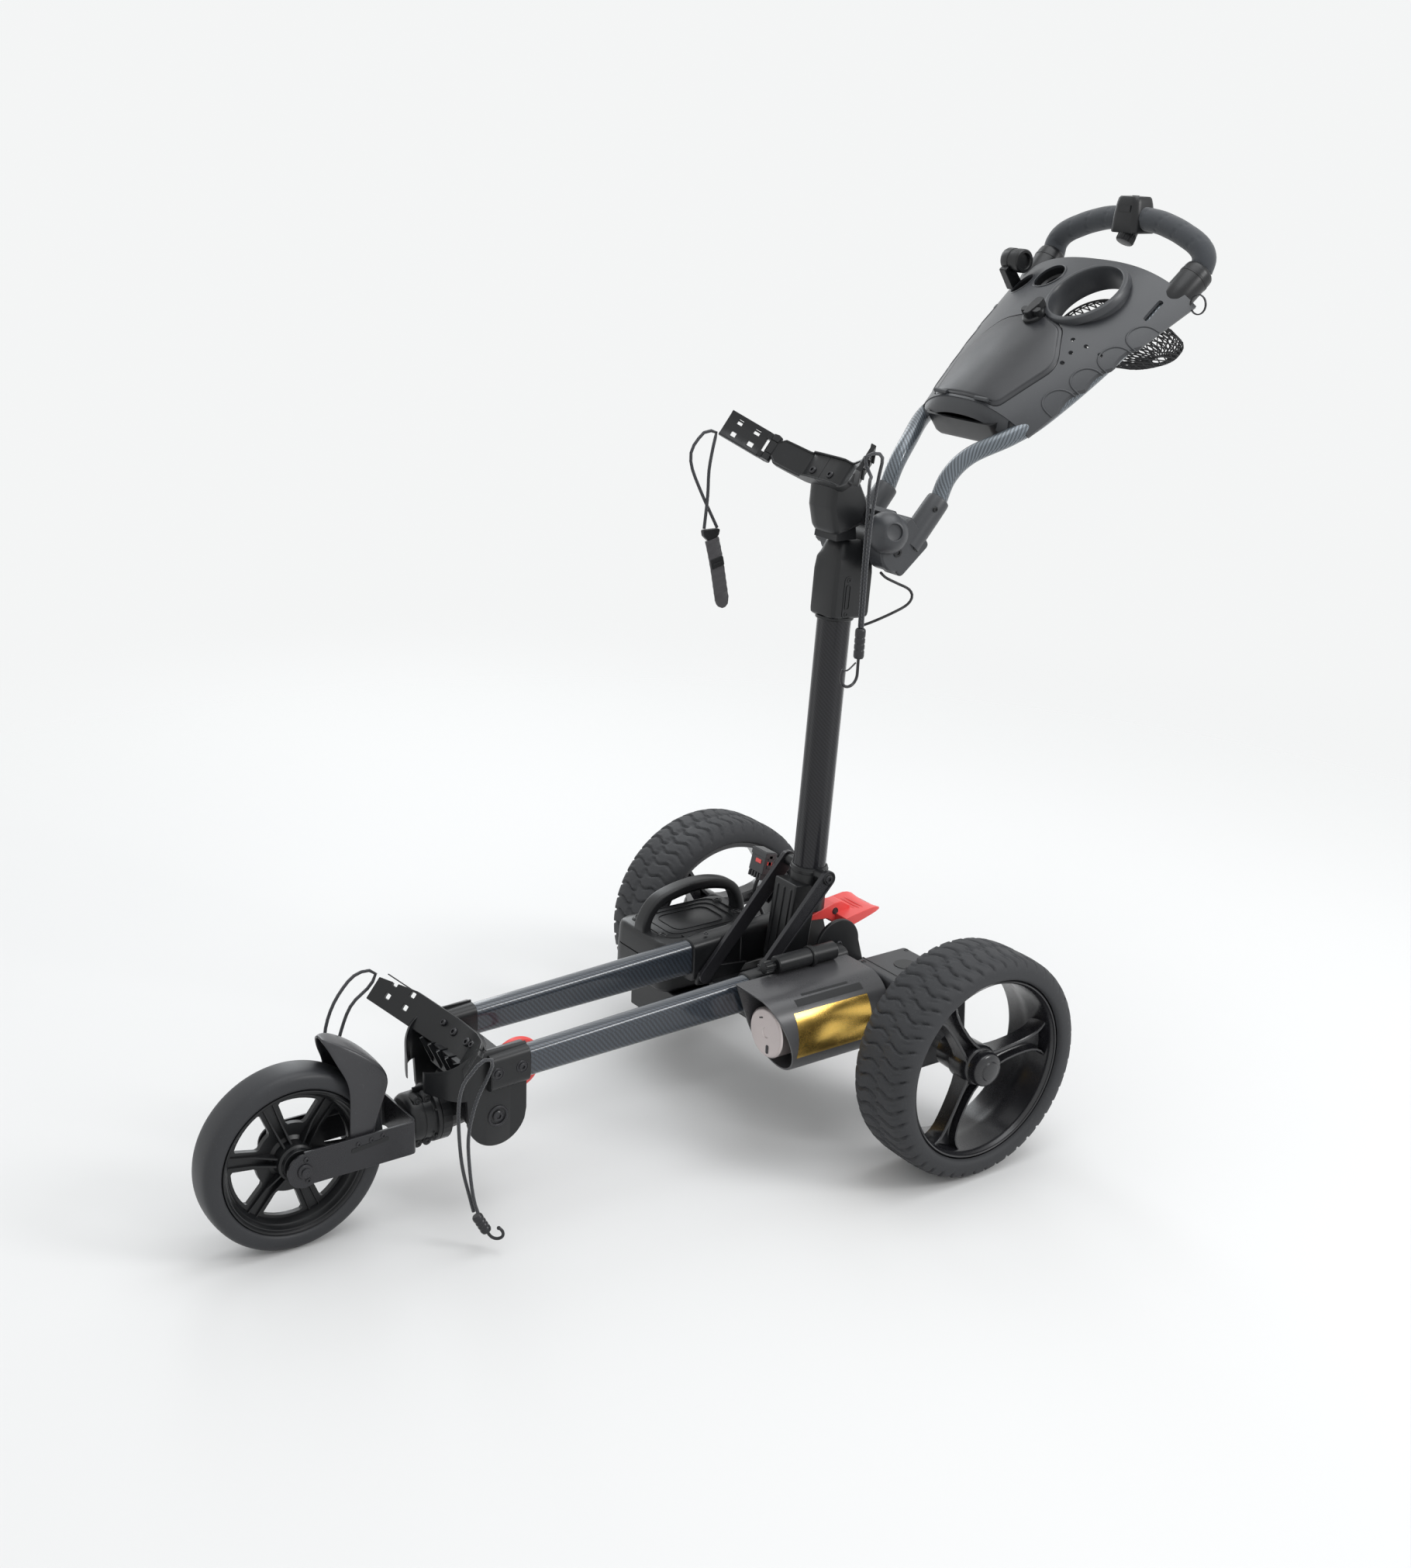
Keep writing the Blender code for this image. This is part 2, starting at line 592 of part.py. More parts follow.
def mast():
    """The upright tube, its foot, the two struts and the housing on top."""
    lean = math.atan2(MAST_HIGH.y - MAST_LOW.y, MAST_HIGH.z - MAST_LOW.z)
    rod("mast_tube", 0.0208, mast_at(0.2700), mast_at(0.6900), "carbon", 28)
    foot_line = rod("mast_foot", 0.0235, mast_at(0.2500), mast_at(0.3070), "black_plastic", 24)
    toe = block("toe", (0.0420, 0.0360, 0.1080), at(0, -0.0680, 0.2350),
                tilt=math.radians(-8), bevel=0.004)
    pins = rod("strut_pins", 0.0080, at(-0.0440, -0.0452, 0.3006), at(0.0440, -0.0452, 0.3006),
               sides=16)
    join(foot_line, toe, pins)
    cut(foot_line, rod("tube_socket", 0.0208 + GAP, mast_at(0.2700 - GAP), mast_at(0.3600),
                       sides=28))
    for side, sign in (("left", 1), ("right", -1)):
        low, high = Vector(FOLD_PIN), Vector((-0.0452, 0.3006))
        run = (high - low).normalized()
        heading = math.degrees(math.atan2(run.y, run.x))
        outline = arc(low, 0.0085, heading + 90, heading + 270, 8)
        outline += arc(high, 0.0105, heading - 90, heading + 90, 8)
        strut = side_plate("strut_" + side, outline, sign * 0.0400, 0.0070, "black_plastic")
        upper = rod("pin_hole", 0.0080 + GAP, at(sign * 0.030, *high), at(sign * 0.050, *high),
                    sides=16)
        cut(strut, upper)
        join(strut, rod("fold_pin", 0.0030, at(sign * 0.040, *low), at(sign * 0.0480, *low),
                        sides=12))
    head = block("head_housing", (0.0490, 0.0560, 0.0740), mast_at(0.6590) + Vector((0, 0.0045, 0)),
                 "black_plastic", tilt=-lean, bevel=0.006)
    cap = block("cap", (0.0440, 0.0500, 0.0260), mast_at(0.7020) + Vector((0, 0.006, 0)),
                tilt=-lean, taper=(0.8, 0.72))
    barrel = rod("barrel", 0.0200, at(-0.0230, *HUB_PIN), at(0.0230, *HUB_PIN), sides=28)
    join(head, cap, barrel)
    cut(head, rod("tube_socket", 0.0208 + GAP, mast_at(0.5800), mast_at(0.6900 + GAP), sides=28),
        rod("hub_bore", 0.0070 + GAP, at(-0.04, *HUB_PIN), at(0.04, *HUB_PIN), sides=16),
        block("side_slot", (0.003, 0.010, 0.044), at(0.0245, -0.0310, 0.6500)))


# ---------------------------------------------------------------- bag cradles

def cradle_frame(along_bag):
    """Outlines in x and height over the bag's line, at a place along the bag."""
    run = Vector((0, math.cos(BAG_TILT), math.sin(BAG_TILT)))
    rise = Vector((0, -math.sin(BAG_TILT), math.cos(BAG_TILT)))
    return frame_of(at(0, 0, 0) + run * along_bag, (1, 0, 0), rise)


def cradle_point(x, height, along_bag):
    return cradle_frame(along_bag) @ Vector((x, height, 0))


def wing(x0, h0, x1, h1, thick):
    """The outline of a flat arm between two points, thickened downwards."""
    run = Vector((x1 - x0, h1 - h0)).normalized()
    down = Vector((run.y, -run.x)) * thick
    if down.y > 0:
        down = -down
    return [(x0, h0), (x1, h1), (x1 + down.x, h1 + down.y), (x0 + down.x, h0 + down.y)]


def paddle_holes(name, start, end, along_bag, thick):
    """Four square holes through a paddle."""
    holes = []
    run = Vector((end[0] - start[0], end[1] - start[1]))
    for share in (0.30, 0.72):
        for offset in (-0.0085, 0.0085):
            spot = Vector(start) + run * share
            turn = cradle_frame(along_bag + offset)
            hole = block(name, (0.0065, thick * 4, 0.0065), (0, 0, 0))
            roll = Matrix.Rotation(math.atan2(run.y, run.x), 4, "Z")
            hole.matrix_world = turn @ Matrix.Translation((spot.x, spot.y, 0)) @ roll
            holes.append(hole)
    return holes


LOWER_U, UPPER_U = -0.1770, 0.6020      # places of the cradles along the bag
CRADLE_WIDTH = 0.0340


def lower_cradle():
    """The V in front: a root on the housing, two arms and two fixed paddles."""
    frame = cradle_frame(LOWER_U)
    points = [(0.0, 0.5330), (0.0250, 0.5330), (0.0440, 0.5455), (0.0600, 0.5540),
              (0.1180, 0.5910), (0.1160, 0.5985), (0.0600, 0.5620), (0.0420, 0.5525),
              (0.0220, 0.5410), (0.0, 0.5410)]
    right = [(-x, h) for x, h in points[::-1]][1:-1]
    cradle = plate("lower_cradle", points[::-1] + right[::-1], 0.0700, frame, "black_plastic")
    plan = [(-0.1300, 0.0200), (-0.1300, -0.0055), (-0.0750, -0.0190), (0.0750, -0.0190),
            (0.1300, -0.0055), (0.1300, 0.0200)]
    rise = frame.to_3x3() @ Vector((0, 1, 0))
    run = frame.to_3x3() @ Vector((0, 0, 1))
    trim = plate("plan", plan, 0.2000, frame_of(frame.translation + rise * 0.5600, (1, 0, 0), run))
    boolean(cradle, "INTERSECT", [trim])
    join(cradle, block("root", (0.0700, 0.0200, 0.0240), at(0, -0.5440, 0.1660)))
    for sign in (-1, 1):
        cut(cradle, *paddle_holes("hole", (sign * 0.0640, 0.5590), (sign * 0.1150, 0.5920),
                                  LOWER_U + 0.0040, 0.008))


def upper_cradle():
    """Bracket on the head with two arms; the paddles hinge on their outer ends."""
    frame = cradle_frame(UPPER_U)
    points = [(0.0, 0.5130), (0.0300, 0.5130), (0.0400, 0.5180), (0.0770, 0.5410),
              (0.0740, 0.5470), (0.0360, 0.5260), (0.0280, 0.5310), (0.0, 0.5310)]
    right = [(-x, h) for x, h in points[::-1]][1:-1]
    cradle = plate("upper_cradle", points[::-1] + right[::-1], CRADLE_WIDTH, frame,
                   "black_plastic")
    neck = [(-0.0480, 0.7220), (-0.0100, 0.7320), (0.0, 0.7600), (-0.0250, 0.8060),
            (-0.0540, 0.7900), (-0.0560, 0.7560)]
    join(cradle, side_plate("neck", rounded(neck, 0.006, 2), 0, 0.0500),
         block("seat", (0.0420, 0.0300, 0.0250), at(0, -0.0300, 0.7302), bevel=0.003))
    for side, sign in (("left", 1), ("right", -1)):
        eye = rod("eye", 0.0065, cradle_point(sign * 0.0830, 0.5490, UPPER_U - 0.0080),
                  cradle_point(sign * 0.0830, 0.5490, UPPER_U + 0.0080), sides=16)
        arm = block("arm", (0.0160, 0.0060, 0.0160), (0, 0, 0))
        arm.matrix_world = (frame @ Matrix.Translation((sign * 0.0760, 0.5440, 0))
                            @ Matrix.Rotation(sign * math.radians(30), 4, "Z"))
        join(cradle, eye, arm)
        paddle = plate("paddle_" + side, wing(sign * 0.0920, 0.5575, sign * 0.1280, 0.5935, 0.007)
                       [::sign], CRADLE_WIDTH, frame, "black_plastic")
        for end in (-1, 1):
            middle = UPPER_U + end * 0.0125
            knuckle = rod("knuckle", 0.0065,
                          cradle_point(sign * 0.0830, 0.5490, middle - 0.0042),
                          cradle_point(sign * 0.0830, 0.5490, middle + 0.0042), sides=16)
            link = block("link", (0.0140, 0.0060, 0.0084), (0, 0, 0))
            link.matrix_world = (cradle_frame(middle)
                                 @ Matrix.Translation((sign * 0.0880, 0.5535, 0))
                                 @ Matrix.Rotation(sign * math.radians(45), 4, "Z"))
            join(paddle, knuckle, link)
        cut(paddle, *paddle_holes("hole", (sign * 0.0925, 0.5540), (sign * 0.1270, 0.5885),
                                  UPPER_U, 0.008))


# ---------------------------------------------------------------- bungee cords

CORD_R = 0.0020
BUNGEES = {
    # end of the first strand at the sleeve, round the paddle's tip, second strand's end
    "upper_cord_left": [
        (0.1000, -0.0690, 0.6360), (0.1003, -0.0690, 0.7000), (0.1030, -0.0700, 0.7600),
        (0.1150, -0.0800, 0.8050), (0.1340, -0.0944, 0.8169), (0.1390, -0.1050, 0.8276),
        (0.1370, -0.1066, 0.8402), (0.1390, -0.0928, 0.8434), (0.1340, -0.0797, 0.8358),
        (0.1180, -0.0700, 0.8100), (0.1080, -0.0680, 0.7600), (0.1055, -0.0690, 0.7000),
        (0.1045, -0.0690, 0.6360)],
    "upper_cord_right": [
        (-0.1300, -0.1275, 0.7120), (-0.1305, -0.1235, 0.7510), (-0.1310, -0.1223, 0.7840),
        (-0.1330, -0.1144, 0.8173), (-0.1390, -0.1074, 0.8244), (-0.1370, -0.1171, 0.8282),
        (-0.1385, -0.1264, 0.8264), (-0.1380, -0.1432, 0.8084), (-0.1370, -0.1440, 0.7880),
        (-0.1340, -0.1310, 0.7564), (-0.1300, -0.1130, 0.7200), (-0.1290, -0.1090, 0.7120)],
    "lower_cord_left": [
        (0.1210, -0.5850, 0.0480), (0.1180, -0.5880, 0.0650), (0.1130, -0.5940, 0.1000),
        (0.1110, -0.5970, 0.1400), (0.1130, -0.5980, 0.1800), (0.1200, -0.5960, 0.2050),
        (0.1280, -0.5920, 0.2190), (0.1300, -0.5840, 0.2290), (0.1300, -0.5740, 0.2330),
        (0.1280, -0.5650, 0.2270), (0.1230, -0.5680, 0.2080), (0.1190, -0.5800, 0.1800),
        (0.1160, -0.5880, 0.1400), (0.1180, -0.5880, 0.1000), (0.1230, -0.5860, 0.0650),
        (0.1250, -0.5820, 0.0480)],
    "lower_cord_right": [
        (-0.1210, -0.6260, 0.0480), (-0.1200, -0.6300, 0.0650), (-0.1160, -0.6420, 0.1000),
        (-0.1150, -0.6480, 0.1400), (-0.1160, -0.6460, 0.1800), (-0.1200, -0.6340, 0.2080),
        (-0.1270, -0.6140, 0.2270), (-0.1310, -0.5980, 0.2350), (-0.1310, -0.5820, 0.2360),
        (-0.1300, -0.5740, 0.2290), (-0.1260, -0.5860, 0.2170), (-0.1200, -0.6100, 0.2040),
        (-0.1170, -0.6240, 0.1800), (-0.1180, -0.6340, 0.1400), (-0.1220, -0.6320, 0.1000),
        (-0.1250, -0.6260, 0.0650), (-0.1260, -0.6220, 0.0480)],
}


def bungee(name):
    """One cord looped over the paddle's tip, both ends going into its sleeve."""
    points = [at(*p) for p in BUNGEES[name]]
    bar(name, smooth_path(points, 0.0120), CORD_R, "cord", 8, mesh=False)


def wire_hook(name, top, down, open_to, sleeve=0.036, bow=0.013, shank=0.018):
    """A sleeve that holds both cord ends, and the steel wire hook out of it."""
    top, down, open_to = Vector(top), Vector(down).normalized(), Vector(open_to).normalized()
    low = top + down * sleeve
    body = rod(name, 0.0062, top, low, "black_steel", 16, bevel=0.0015)
    centre = low + down * shank + open_to * bow
    wire = [low - down * 0.004, low + down * shank * 0.5]
    for k in range(10):
        angle = math.radians(24 * k)
        wire.append(centre - open_to * bow * math.cos(angle) + down * bow * math.sin(angle))
    hook = bar("wire", wire, 0.0019, sides=8)
    return join(body, hook)


def bungees():
    for name in BUNGEES:
        bungee(name)
    wire_hook("upper_hook_left", at(0.1022, -0.0690, 0.6350), (0, -0.02, -1), (0.1, -1, 0))
    down = Vector((0.26, 0.43, -0.86))
    wire_hook("lower_hook_left", at(0.1232, -0.5830, 0.0440), down, (0.55, 0.55, 0.35),
              sleeve=0.024, bow=0.008, shank=0.004)
    down = Vector((-0.26, 0.43, -0.86))
    wire_hook("lower_hook_right", at(-0.1237, -0.6235, 0.0440), down, (-0.55, 0.55, 0.35),
              sleeve=0.024, bow=0.008, shank=0.004)
    # the upper right cord ends in a slotted clip that carries a short strap
    centre = at(-0.1295, -0.1183, 0.7110)
    clip = block("upper_strap_right", (0.0060, 0.0260, 0.0140), centre - Vector((0, 0, 0.007)),
                 "black_plastic")
    strap = block("strap", (0.0040, 0.0200, 0.0900), centre + Vector((0.002, 0.012, -0.056)),
                  tilt=math.radians(14))
    join(clip, strap)


# ---------------------------------------------------------------- handle and console

def console_frame(s, h=0.0, x=0.0):
    """A point on the console: x across, s up along it, h out of its top."""
    y = CONSOLE_ORIGIN[0] + s * math.cos(CONSOLE_TILT) - h * math.sin(CONSOLE_TILT)
    z = CONSOLE_ORIGIN[1] + s * math.sin(CONSOLE_TILT) + h * math.cos(CONSOLE_TILT)
    return at(x, y, z)


def console_matrix():
    up = (0, math.cos(CONSOLE_TILT), math.sin(CONSOLE_TILT))
    return frame_of(console_frame(0), (1, 0, 0), up)


CONSOLE_TOP = 0.2660


def half_width(s):
    """Half the console's width: narrow at the bottom, full near the top."""
    t = min(max(s / 0.240, -0.1), 1.1)
    return 0.0970 + 0.0550 * t ** 0.9 if t > 0 else 0.0970


def deck_height(x, s):
    """The top is nearly flat in the middle and falls away to its sides."""
    share = min(abs(x) / half_width(max(s, 0.0)), 1.0)
    crown = 0.004 * math.sin(math.pi * min(max(s / CONSOLE_TOP, 0.0), 1.0))
    return crown - 0.0430 * share ** 2.6


def deck_sheet(name, rows=11, columns=12, finish=None, thick=0.0032, drop=0.0):
    """The console's domed top as a thin closed shell."""
    bm = bmesh.new()
    grid = []
    for i in range(rows + 1):
        s_share = i / rows
        line = []
        for j in range(columns + 1):
            side = 2 * j / columns - 1
            s = s_share * CONSOLE_TOP
            edge = (1 - 0.055 * abs(side) ** 3) if s_share > 0.8 else 1.0
            s *= edge
            x = side * half_width(s)
            line.append(bm.verts.new((x, s, deck_height(x, s) - drop)))
        grid.append(line)
    for low, high in zip(grid, grid[1:]):
        for j in range(columns):
            bm.faces.new((low[j], low[j + 1], high[j + 1], high[j]))
    mesh = bpy.data.meshes.new(name)
    bm.to_mesh(mesh)
    bm.free()
    part = add(name, mesh, finish, console_matrix())
    shell = part.modifiers.new("wall", "SOLIDIFY")
    shell.thickness = thick
    shell.offset = -1
    return part


def lid_outline(grow=0.0):
    half = [(0.0560, 0.0040, 0.012), (0.0830, 0.0880, 0.040), (0.0520, 0.1400, 0.030),
            (0.0, 0.1580, 0.0)]
    right = [(x + grow * (1 if x else 0), s + (grow if s > 0.1 else -grow), r)
             for x, s, r in half]
    left = [(-x, s, r) for x, s, r in right[:-1]][::-1]
    return rounded(right + left, 0.0, 4)


CUP = (0.0400, 0.2000)
CUP_R = 0.0465


def console():
    """The deck with its holes, the lid with its latch, and the tray below."""
    deck = deck_sheet("console_deck", finish="grey_plastic")
    matrix = console_matrix()

    def pin(name, x, s, radius, low=-0.06, high=0.03, sides=16):
        return rod(name, radius, matrix @ Vector((x, s, low)), matrix @ Vector((x, s, high)),
                   sides=sides)

    cup_wall = turned("cup_wall", ring_profile(CUP_R, CUP_R + 0.0050, 0.0130),
                      matrix @ Vector((CUP[0], CUP[1], -0.0080)),
                      matrix.to_3x3() @ Vector((0, 0, 1)), steps=28)
    lid_hole = plate("lid_hole", lid_outline(GAP * 2), 0.2, matrix)
    cut(deck, lid_hole, pin("cup_hole", *CUP, CUP_R + 0.0012, sides=27))
    join(deck, cup_wall)
    cut(deck, pin("ball_hole", -0.0480, 0.2260, 0.0210), pin("ball_hole", -0.0950, 0.2180, 0.0165))
    for x, s in ((0.062, 0.130), (0.080, 0.130), (0.098, 0.130), (0.071, 0.113), (0.071, 0.096)):
        cut(deck, pin("tee_hole", x + 0.012, s, 0.0028, sides=6))
    slot = block("phone_slot", (0.006, 0.034, 0.05), matrix @ Vector((0.1230, 0.2160, -0.03)),
                 tilt=CONSOLE_TILT)
    cut(deck, slot)
    for sign in (-1, 1):
        low = console_frame(0.2440, -0.0400, sign * 0.1190)
        high = console_frame(0.3010, -0.0330, sign * 0.1245)
        join(deck, rod("collar", 0.0190, low, high, sides=14))
        cut(deck, handle_tube("tube_room", sign, GAP))

    lid = deck_sheet("console_lid", 8, 12, "grey_plastic", 0.0030)
    inside = plate("lid_inside", lid_outline(), 0.2, matrix)
    boolean(lid, "INTERSECT", [inside])

    latch = turned_solid("lid_latch", [(0.0, 0.0150), (0.0080, 0.0145), (0.0110, 0.0110),
                                       (0.0115, 0.0), (0.0, 0.0)],
                         matrix @ Vector((0, 0.1460, 0.0050)), matrix.to_3x3() @ Vector((0, 0, 1)),
                         "black_plastic", 20)
    join(latch, rod("tab", 0.0040, matrix @ Vector((0.0, 0.1520, 0.0100)),
                    matrix @ Vector((0.0, 0.1660, 0.0100)), sides=10))

    tray = block("console_tray", (0.1240, 0.1500, 0.0360), matrix @ Vector((0, 0.0600, -0.0400)),
                 "black_plastic", tilt=CONSOLE_TILT, bevel=0.004)
    cut(tray, block("tray_room", (0.1180, 0.1440, 0.0360),
                    matrix @ Vector((0, 0.0600, -0.0370)), tilt=CONSOLE_TILT))
    skirt = block("skirt", (0.1420, 0.0060, 0.0340), matrix @ Vector((0, -0.0170, -0.0270)),
                  tilt=CONSOLE_TILT + math.radians(-30))
    join(tray, skirt)
    for sign in (-1, 1):
        cut(tray, handle_tube("tube_room", sign, GAP))


def handle_tube_points(sign):
    spots = [(0.0470, 0.0560, 0.7180), (0.0472, 0.0817, 0.7512), (0.0475, 0.0985, 0.7860),
             (0.0560, 0.1240, 0.8120), (0.0800, 0.1660, 0.8355)]
    points = [at(sign * x, y, z) for x, y, z in spots]
    points += [console_frame(s, h, sign * x) for s, h, x in
               ((0.0400, -0.0450, 0.0895), (0.1500, -0.0440, 0.1060), (0.2990, -0.0335, 0.1245))]
    return smooth_path(points, 0.024)


def handle_tube(name, sign, grow=0.0, finish=None):
    points = handle_tube_points(sign)
    if grow:
        points[0] += (points[0] - points[1]).normalized() * 0.002
        points[-1] += (points[-1] - points[-2]).normalized() * 0.002
    return bar(name, points, 0.0105 + grow, finish, 12)


LOOP = [(0.1248, 1.0233), (0.1240, 1.0400), (0.1120, 1.0530), (0.0800, 1.0665),
        (0.0420, 1.0760), (0.0, 1.0785)]


def loop_points():
    half = [at(x, 0.4144 + (z - 1.0233) * 0.155, z) for x, z in LOOP]
    start = console_frame(0.3010 + GAP * 2, -0.0330, 0.1245)
    right = [start] + half[1:]
    left = [Vector((-p.x, p.y, p.z)) for p in right[:-1]][::-1]
    return smooth_path(right + left, 0.016)


def handle():
    """Hinge hub, two tubes, the foam loop, the speed knob and a side holder."""
    hub = block("hub_shell", (0.1180, 0.0560, 0.0500), at(0, 0.0300, 0.7110),
                "grey_plastic", tilt=math.radians(40), bevel=0.005)
    dome = ball("dome", 0.0260, at(0.0560, 0.0020, 0.7300), scale=(0.9, 1, 1), sides=16)
    cheeks = rod("cheeks", 0.0240, at(-0.0590, *HUB_PIN), at(0.0590, *HUB_PIN), sides=20)
    knob = rod("side_knob", 0.0120, at(-0.0560, 0.0080, 0.7060), at(-0.0740, 0.0080, 0.7060),
               sides=14, end_radius=0.010)
    join(hub, cheeks, dome, knob)
    for sign in (-1, 1):
        socket = rod("tube_socket", 0.0140, at(sign * 0.0470, 0.0420, 0.7090),
                     at(sign * 0.0472, 0.0870, 0.7610), sides=14)
        join(hub, socket)
    room = block("mast_room", (0.0600, 0.0900, 0.1000), at(0, -0.0140, 0.7000))
    swing = rod("swing_room", 0.0400, at(-0.0300, *HUB_PIN), at(0.0300, *HUB_PIN), sides=24)
    cut(hub, room, swing, ball("dome_recess", 0.0110, at(0.0790, -0.0060, 0.7370), sides=12),
        rod("pin_bore", 0.0070 + GAP, at(-0.045, *HUB_PIN), at(0.045, *HUB_PIN), sides=16))
    rod("hub_pin", 0.0070, at(-0.0440, *HUB_PIN), at(0.0440, *HUB_PIN), "steel", 16)
    for side, sign in (("left", 1), ("right", -1)):
        cut(hub, handle_tube("tube_room", sign, GAP))
        handle_tube("handle_tube_" + side, sign, 0.0, "carbon")

    grip = bar("loop_grip", loop_points(), 0.0145, "foam", 12)
    for sign in (-1, 1):
        cut(grip, rod("collar_room", 0.0230, console_frame(0.2700, -0.0365, sign * 0.1216),
                      console_frame(0.3010 + GAP, -0.0330, sign * 0.1245), sides=20))
    cap = block("loop_cap", (0.0440, 0.0380, 0.0440), at(0, 0.4215, 1.0825),
                "black_plastic", bevel=0.004, taper=(0.75, 0.8))
    cut(cap, bar("grip_room", loop_points(), 0.0145 + GAP, sides=12))
    centre, down = at(0, 0.4170, 1.0635), Vector((0, -0.5, -0.866))
    cut(cap, rod("knob_room", 0.0115 + GAP, centre, centre + down * 0.0300, sides=20))
    rod("speed_knob", 0.0115, centre + down * GAP, centre + down * 0.0170, "black_plastic", 20,
        bevel=0.002)
    mount = rod("accessory_mount", 0.0150, at(-0.1010, 0.3400, 1.0190),
                at(-0.1320, 0.3400, 1.0190), "black_plastic", 24, bevel=0.002)
    join(mount, block("mount_arm", (0.0140, 0.0170, 0.0320), at(-0.1230, 0.3370, 0.9990),
                      tilt=CONSOLE_TILT))
    cut(mount, deck_sheet("mount_room", thick=0.0250, drop=-GAP))


def net_bag():
    """The net under the cup hole: open above, sagging to the rear and left."""
    levels = [((0.0400, 0.3170, 0.9580), 0.0440, 36), ((0.0520, 0.3400, 0.9440), 0.0460, 34),
              ((0.0700, 0.3700, 0.9320), 0.0470, 30), ((0.0820, 0.3880, 0.9230), 0.0400, 26),
              ((0.0870, 0.3960, 0.9170), 0.0240, 22), ((0.0880, 0.3980, 0.9150), 0.0090, 20)]
    bm = bmesh.new()
    rings = []
    for centre, radius, tilt in levels:
        turn = Matrix.Translation(at(*centre)) @ Matrix.Rotation(math.radians(tilt), 4, "X")
        rings.append([bm.verts.new(turn @ Vector((radius * math.cos(a), radius * math.sin(a), 0)))
                      for a in (2 * math.pi * k / 18 for k in range(18))])
    for upper, lower in zip(rings, rings[1:]):
        for k in range(18):
            j = (k + 1) % 18
            bm.faces.new((upper[j], upper[k], lower[k], lower[j]))
    bm.faces.new(rings[-1])
    bmesh.ops.recalc_face_normals(bm, faces=bm.faces)
    mesh = bpy.data.meshes.new("net_bag")
    bm.to_mesh(mesh)
    bm.free()
    part = add("net_bag", mesh, "net")
    wall = part.modifiers.new("wall", "SOLIDIFY")
    wall.thickness = 0.0015
    wall.offset = 0


def latch_lever():
    """Red lever between the ears, which locks the mast's foot: a nose and a wide pedal."""
    nose = [(-0.0475, 0.2335), (-0.0475, 0.2385), (-0.0060, 0.2494), (0.0060, 0.2494),
            (0.0200, 0.2400), (0.0200, 0.2250), (0.0, 0.2200), (-0.0160, 0.2300)]
    pedal = [(-0.0030, 0.2350), (0.0440, 0.2420), (0.0540, 0.2380), (0.0540, 0.2345),
             (0.0430, 0.2330), (-0.0030, 0.2200)]
    lever = side_plate("latch_lever", nose, 0, 0.0200, "red_plastic")
    join(lever, side_plate("pedal", pedal, 0, 0.0620))


def control_cable():
    """The motor cable: out of the hub, a slack bow behind, and into the mast."""
    route = [at(0.0300, 0.0180, 0.6760), at(0.0310, 0.0260, 0.6690), at(0.0330, 0.0420, 0.6610),
             at(0.0350, 0.0600, 0.6520), at(0.0350, 0.0660, 0.6420), at(0.0330, 0.0600, 0.6320),
             at(0.0290, 0.0400, 0.6230), at(0.0200, 0.0180, 0.6130), at(0.0120, 0.0040, 0.6070)]
    bar("control_cable", smooth_path(route, 0.0075), 0.0017, "cord", 8, mesh=False)


# ---------------------------------------------------------------- the trolley

for side in ("left", "right"):
    rear_wheel(side)
front_wheel()
front_fork()
mudguard()
fork_collar()
front_arm()
front_housing()
release_ring()
chassis()
clamp_screw()
drive()
battery()
latch_lever()
mast()
lower_cradle()
upper_cradle()
bungees()
handle()
console()
net_bag()
control_cable()
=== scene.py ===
"""Looks of a three-wheel electric golf trolley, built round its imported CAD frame.

Metres, +Z up. The front wheel points along -Y and the trolley's left is +X.
Lengths along Y are given from the rear axle, and at() adds the axle's place.
"""
import json
import math

import bmesh
import bpy
from mathutils import Matrix, Vector

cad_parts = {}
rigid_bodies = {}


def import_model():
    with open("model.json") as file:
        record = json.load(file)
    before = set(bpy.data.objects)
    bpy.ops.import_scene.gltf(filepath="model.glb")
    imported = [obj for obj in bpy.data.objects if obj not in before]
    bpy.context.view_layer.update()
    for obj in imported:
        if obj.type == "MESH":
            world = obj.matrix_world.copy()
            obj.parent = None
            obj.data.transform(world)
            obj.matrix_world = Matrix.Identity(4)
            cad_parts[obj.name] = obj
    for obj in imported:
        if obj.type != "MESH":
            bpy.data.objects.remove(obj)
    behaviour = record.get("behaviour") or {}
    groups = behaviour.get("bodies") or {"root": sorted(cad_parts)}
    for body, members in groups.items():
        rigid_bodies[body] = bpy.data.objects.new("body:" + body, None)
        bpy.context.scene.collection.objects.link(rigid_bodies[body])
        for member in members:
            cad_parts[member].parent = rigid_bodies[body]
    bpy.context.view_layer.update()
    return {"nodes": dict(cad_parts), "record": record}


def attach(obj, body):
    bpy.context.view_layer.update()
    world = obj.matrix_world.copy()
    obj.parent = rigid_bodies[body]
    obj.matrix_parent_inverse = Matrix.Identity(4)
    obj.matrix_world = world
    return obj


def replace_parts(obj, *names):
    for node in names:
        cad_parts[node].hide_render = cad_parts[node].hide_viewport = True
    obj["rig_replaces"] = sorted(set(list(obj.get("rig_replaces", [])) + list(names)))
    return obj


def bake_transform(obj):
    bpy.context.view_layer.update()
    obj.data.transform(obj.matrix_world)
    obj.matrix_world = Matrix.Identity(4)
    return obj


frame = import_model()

BODY_OF = {node: body for body, nodes in frame["record"]["behaviour"]["bodies"].items()
           for node in nodes}

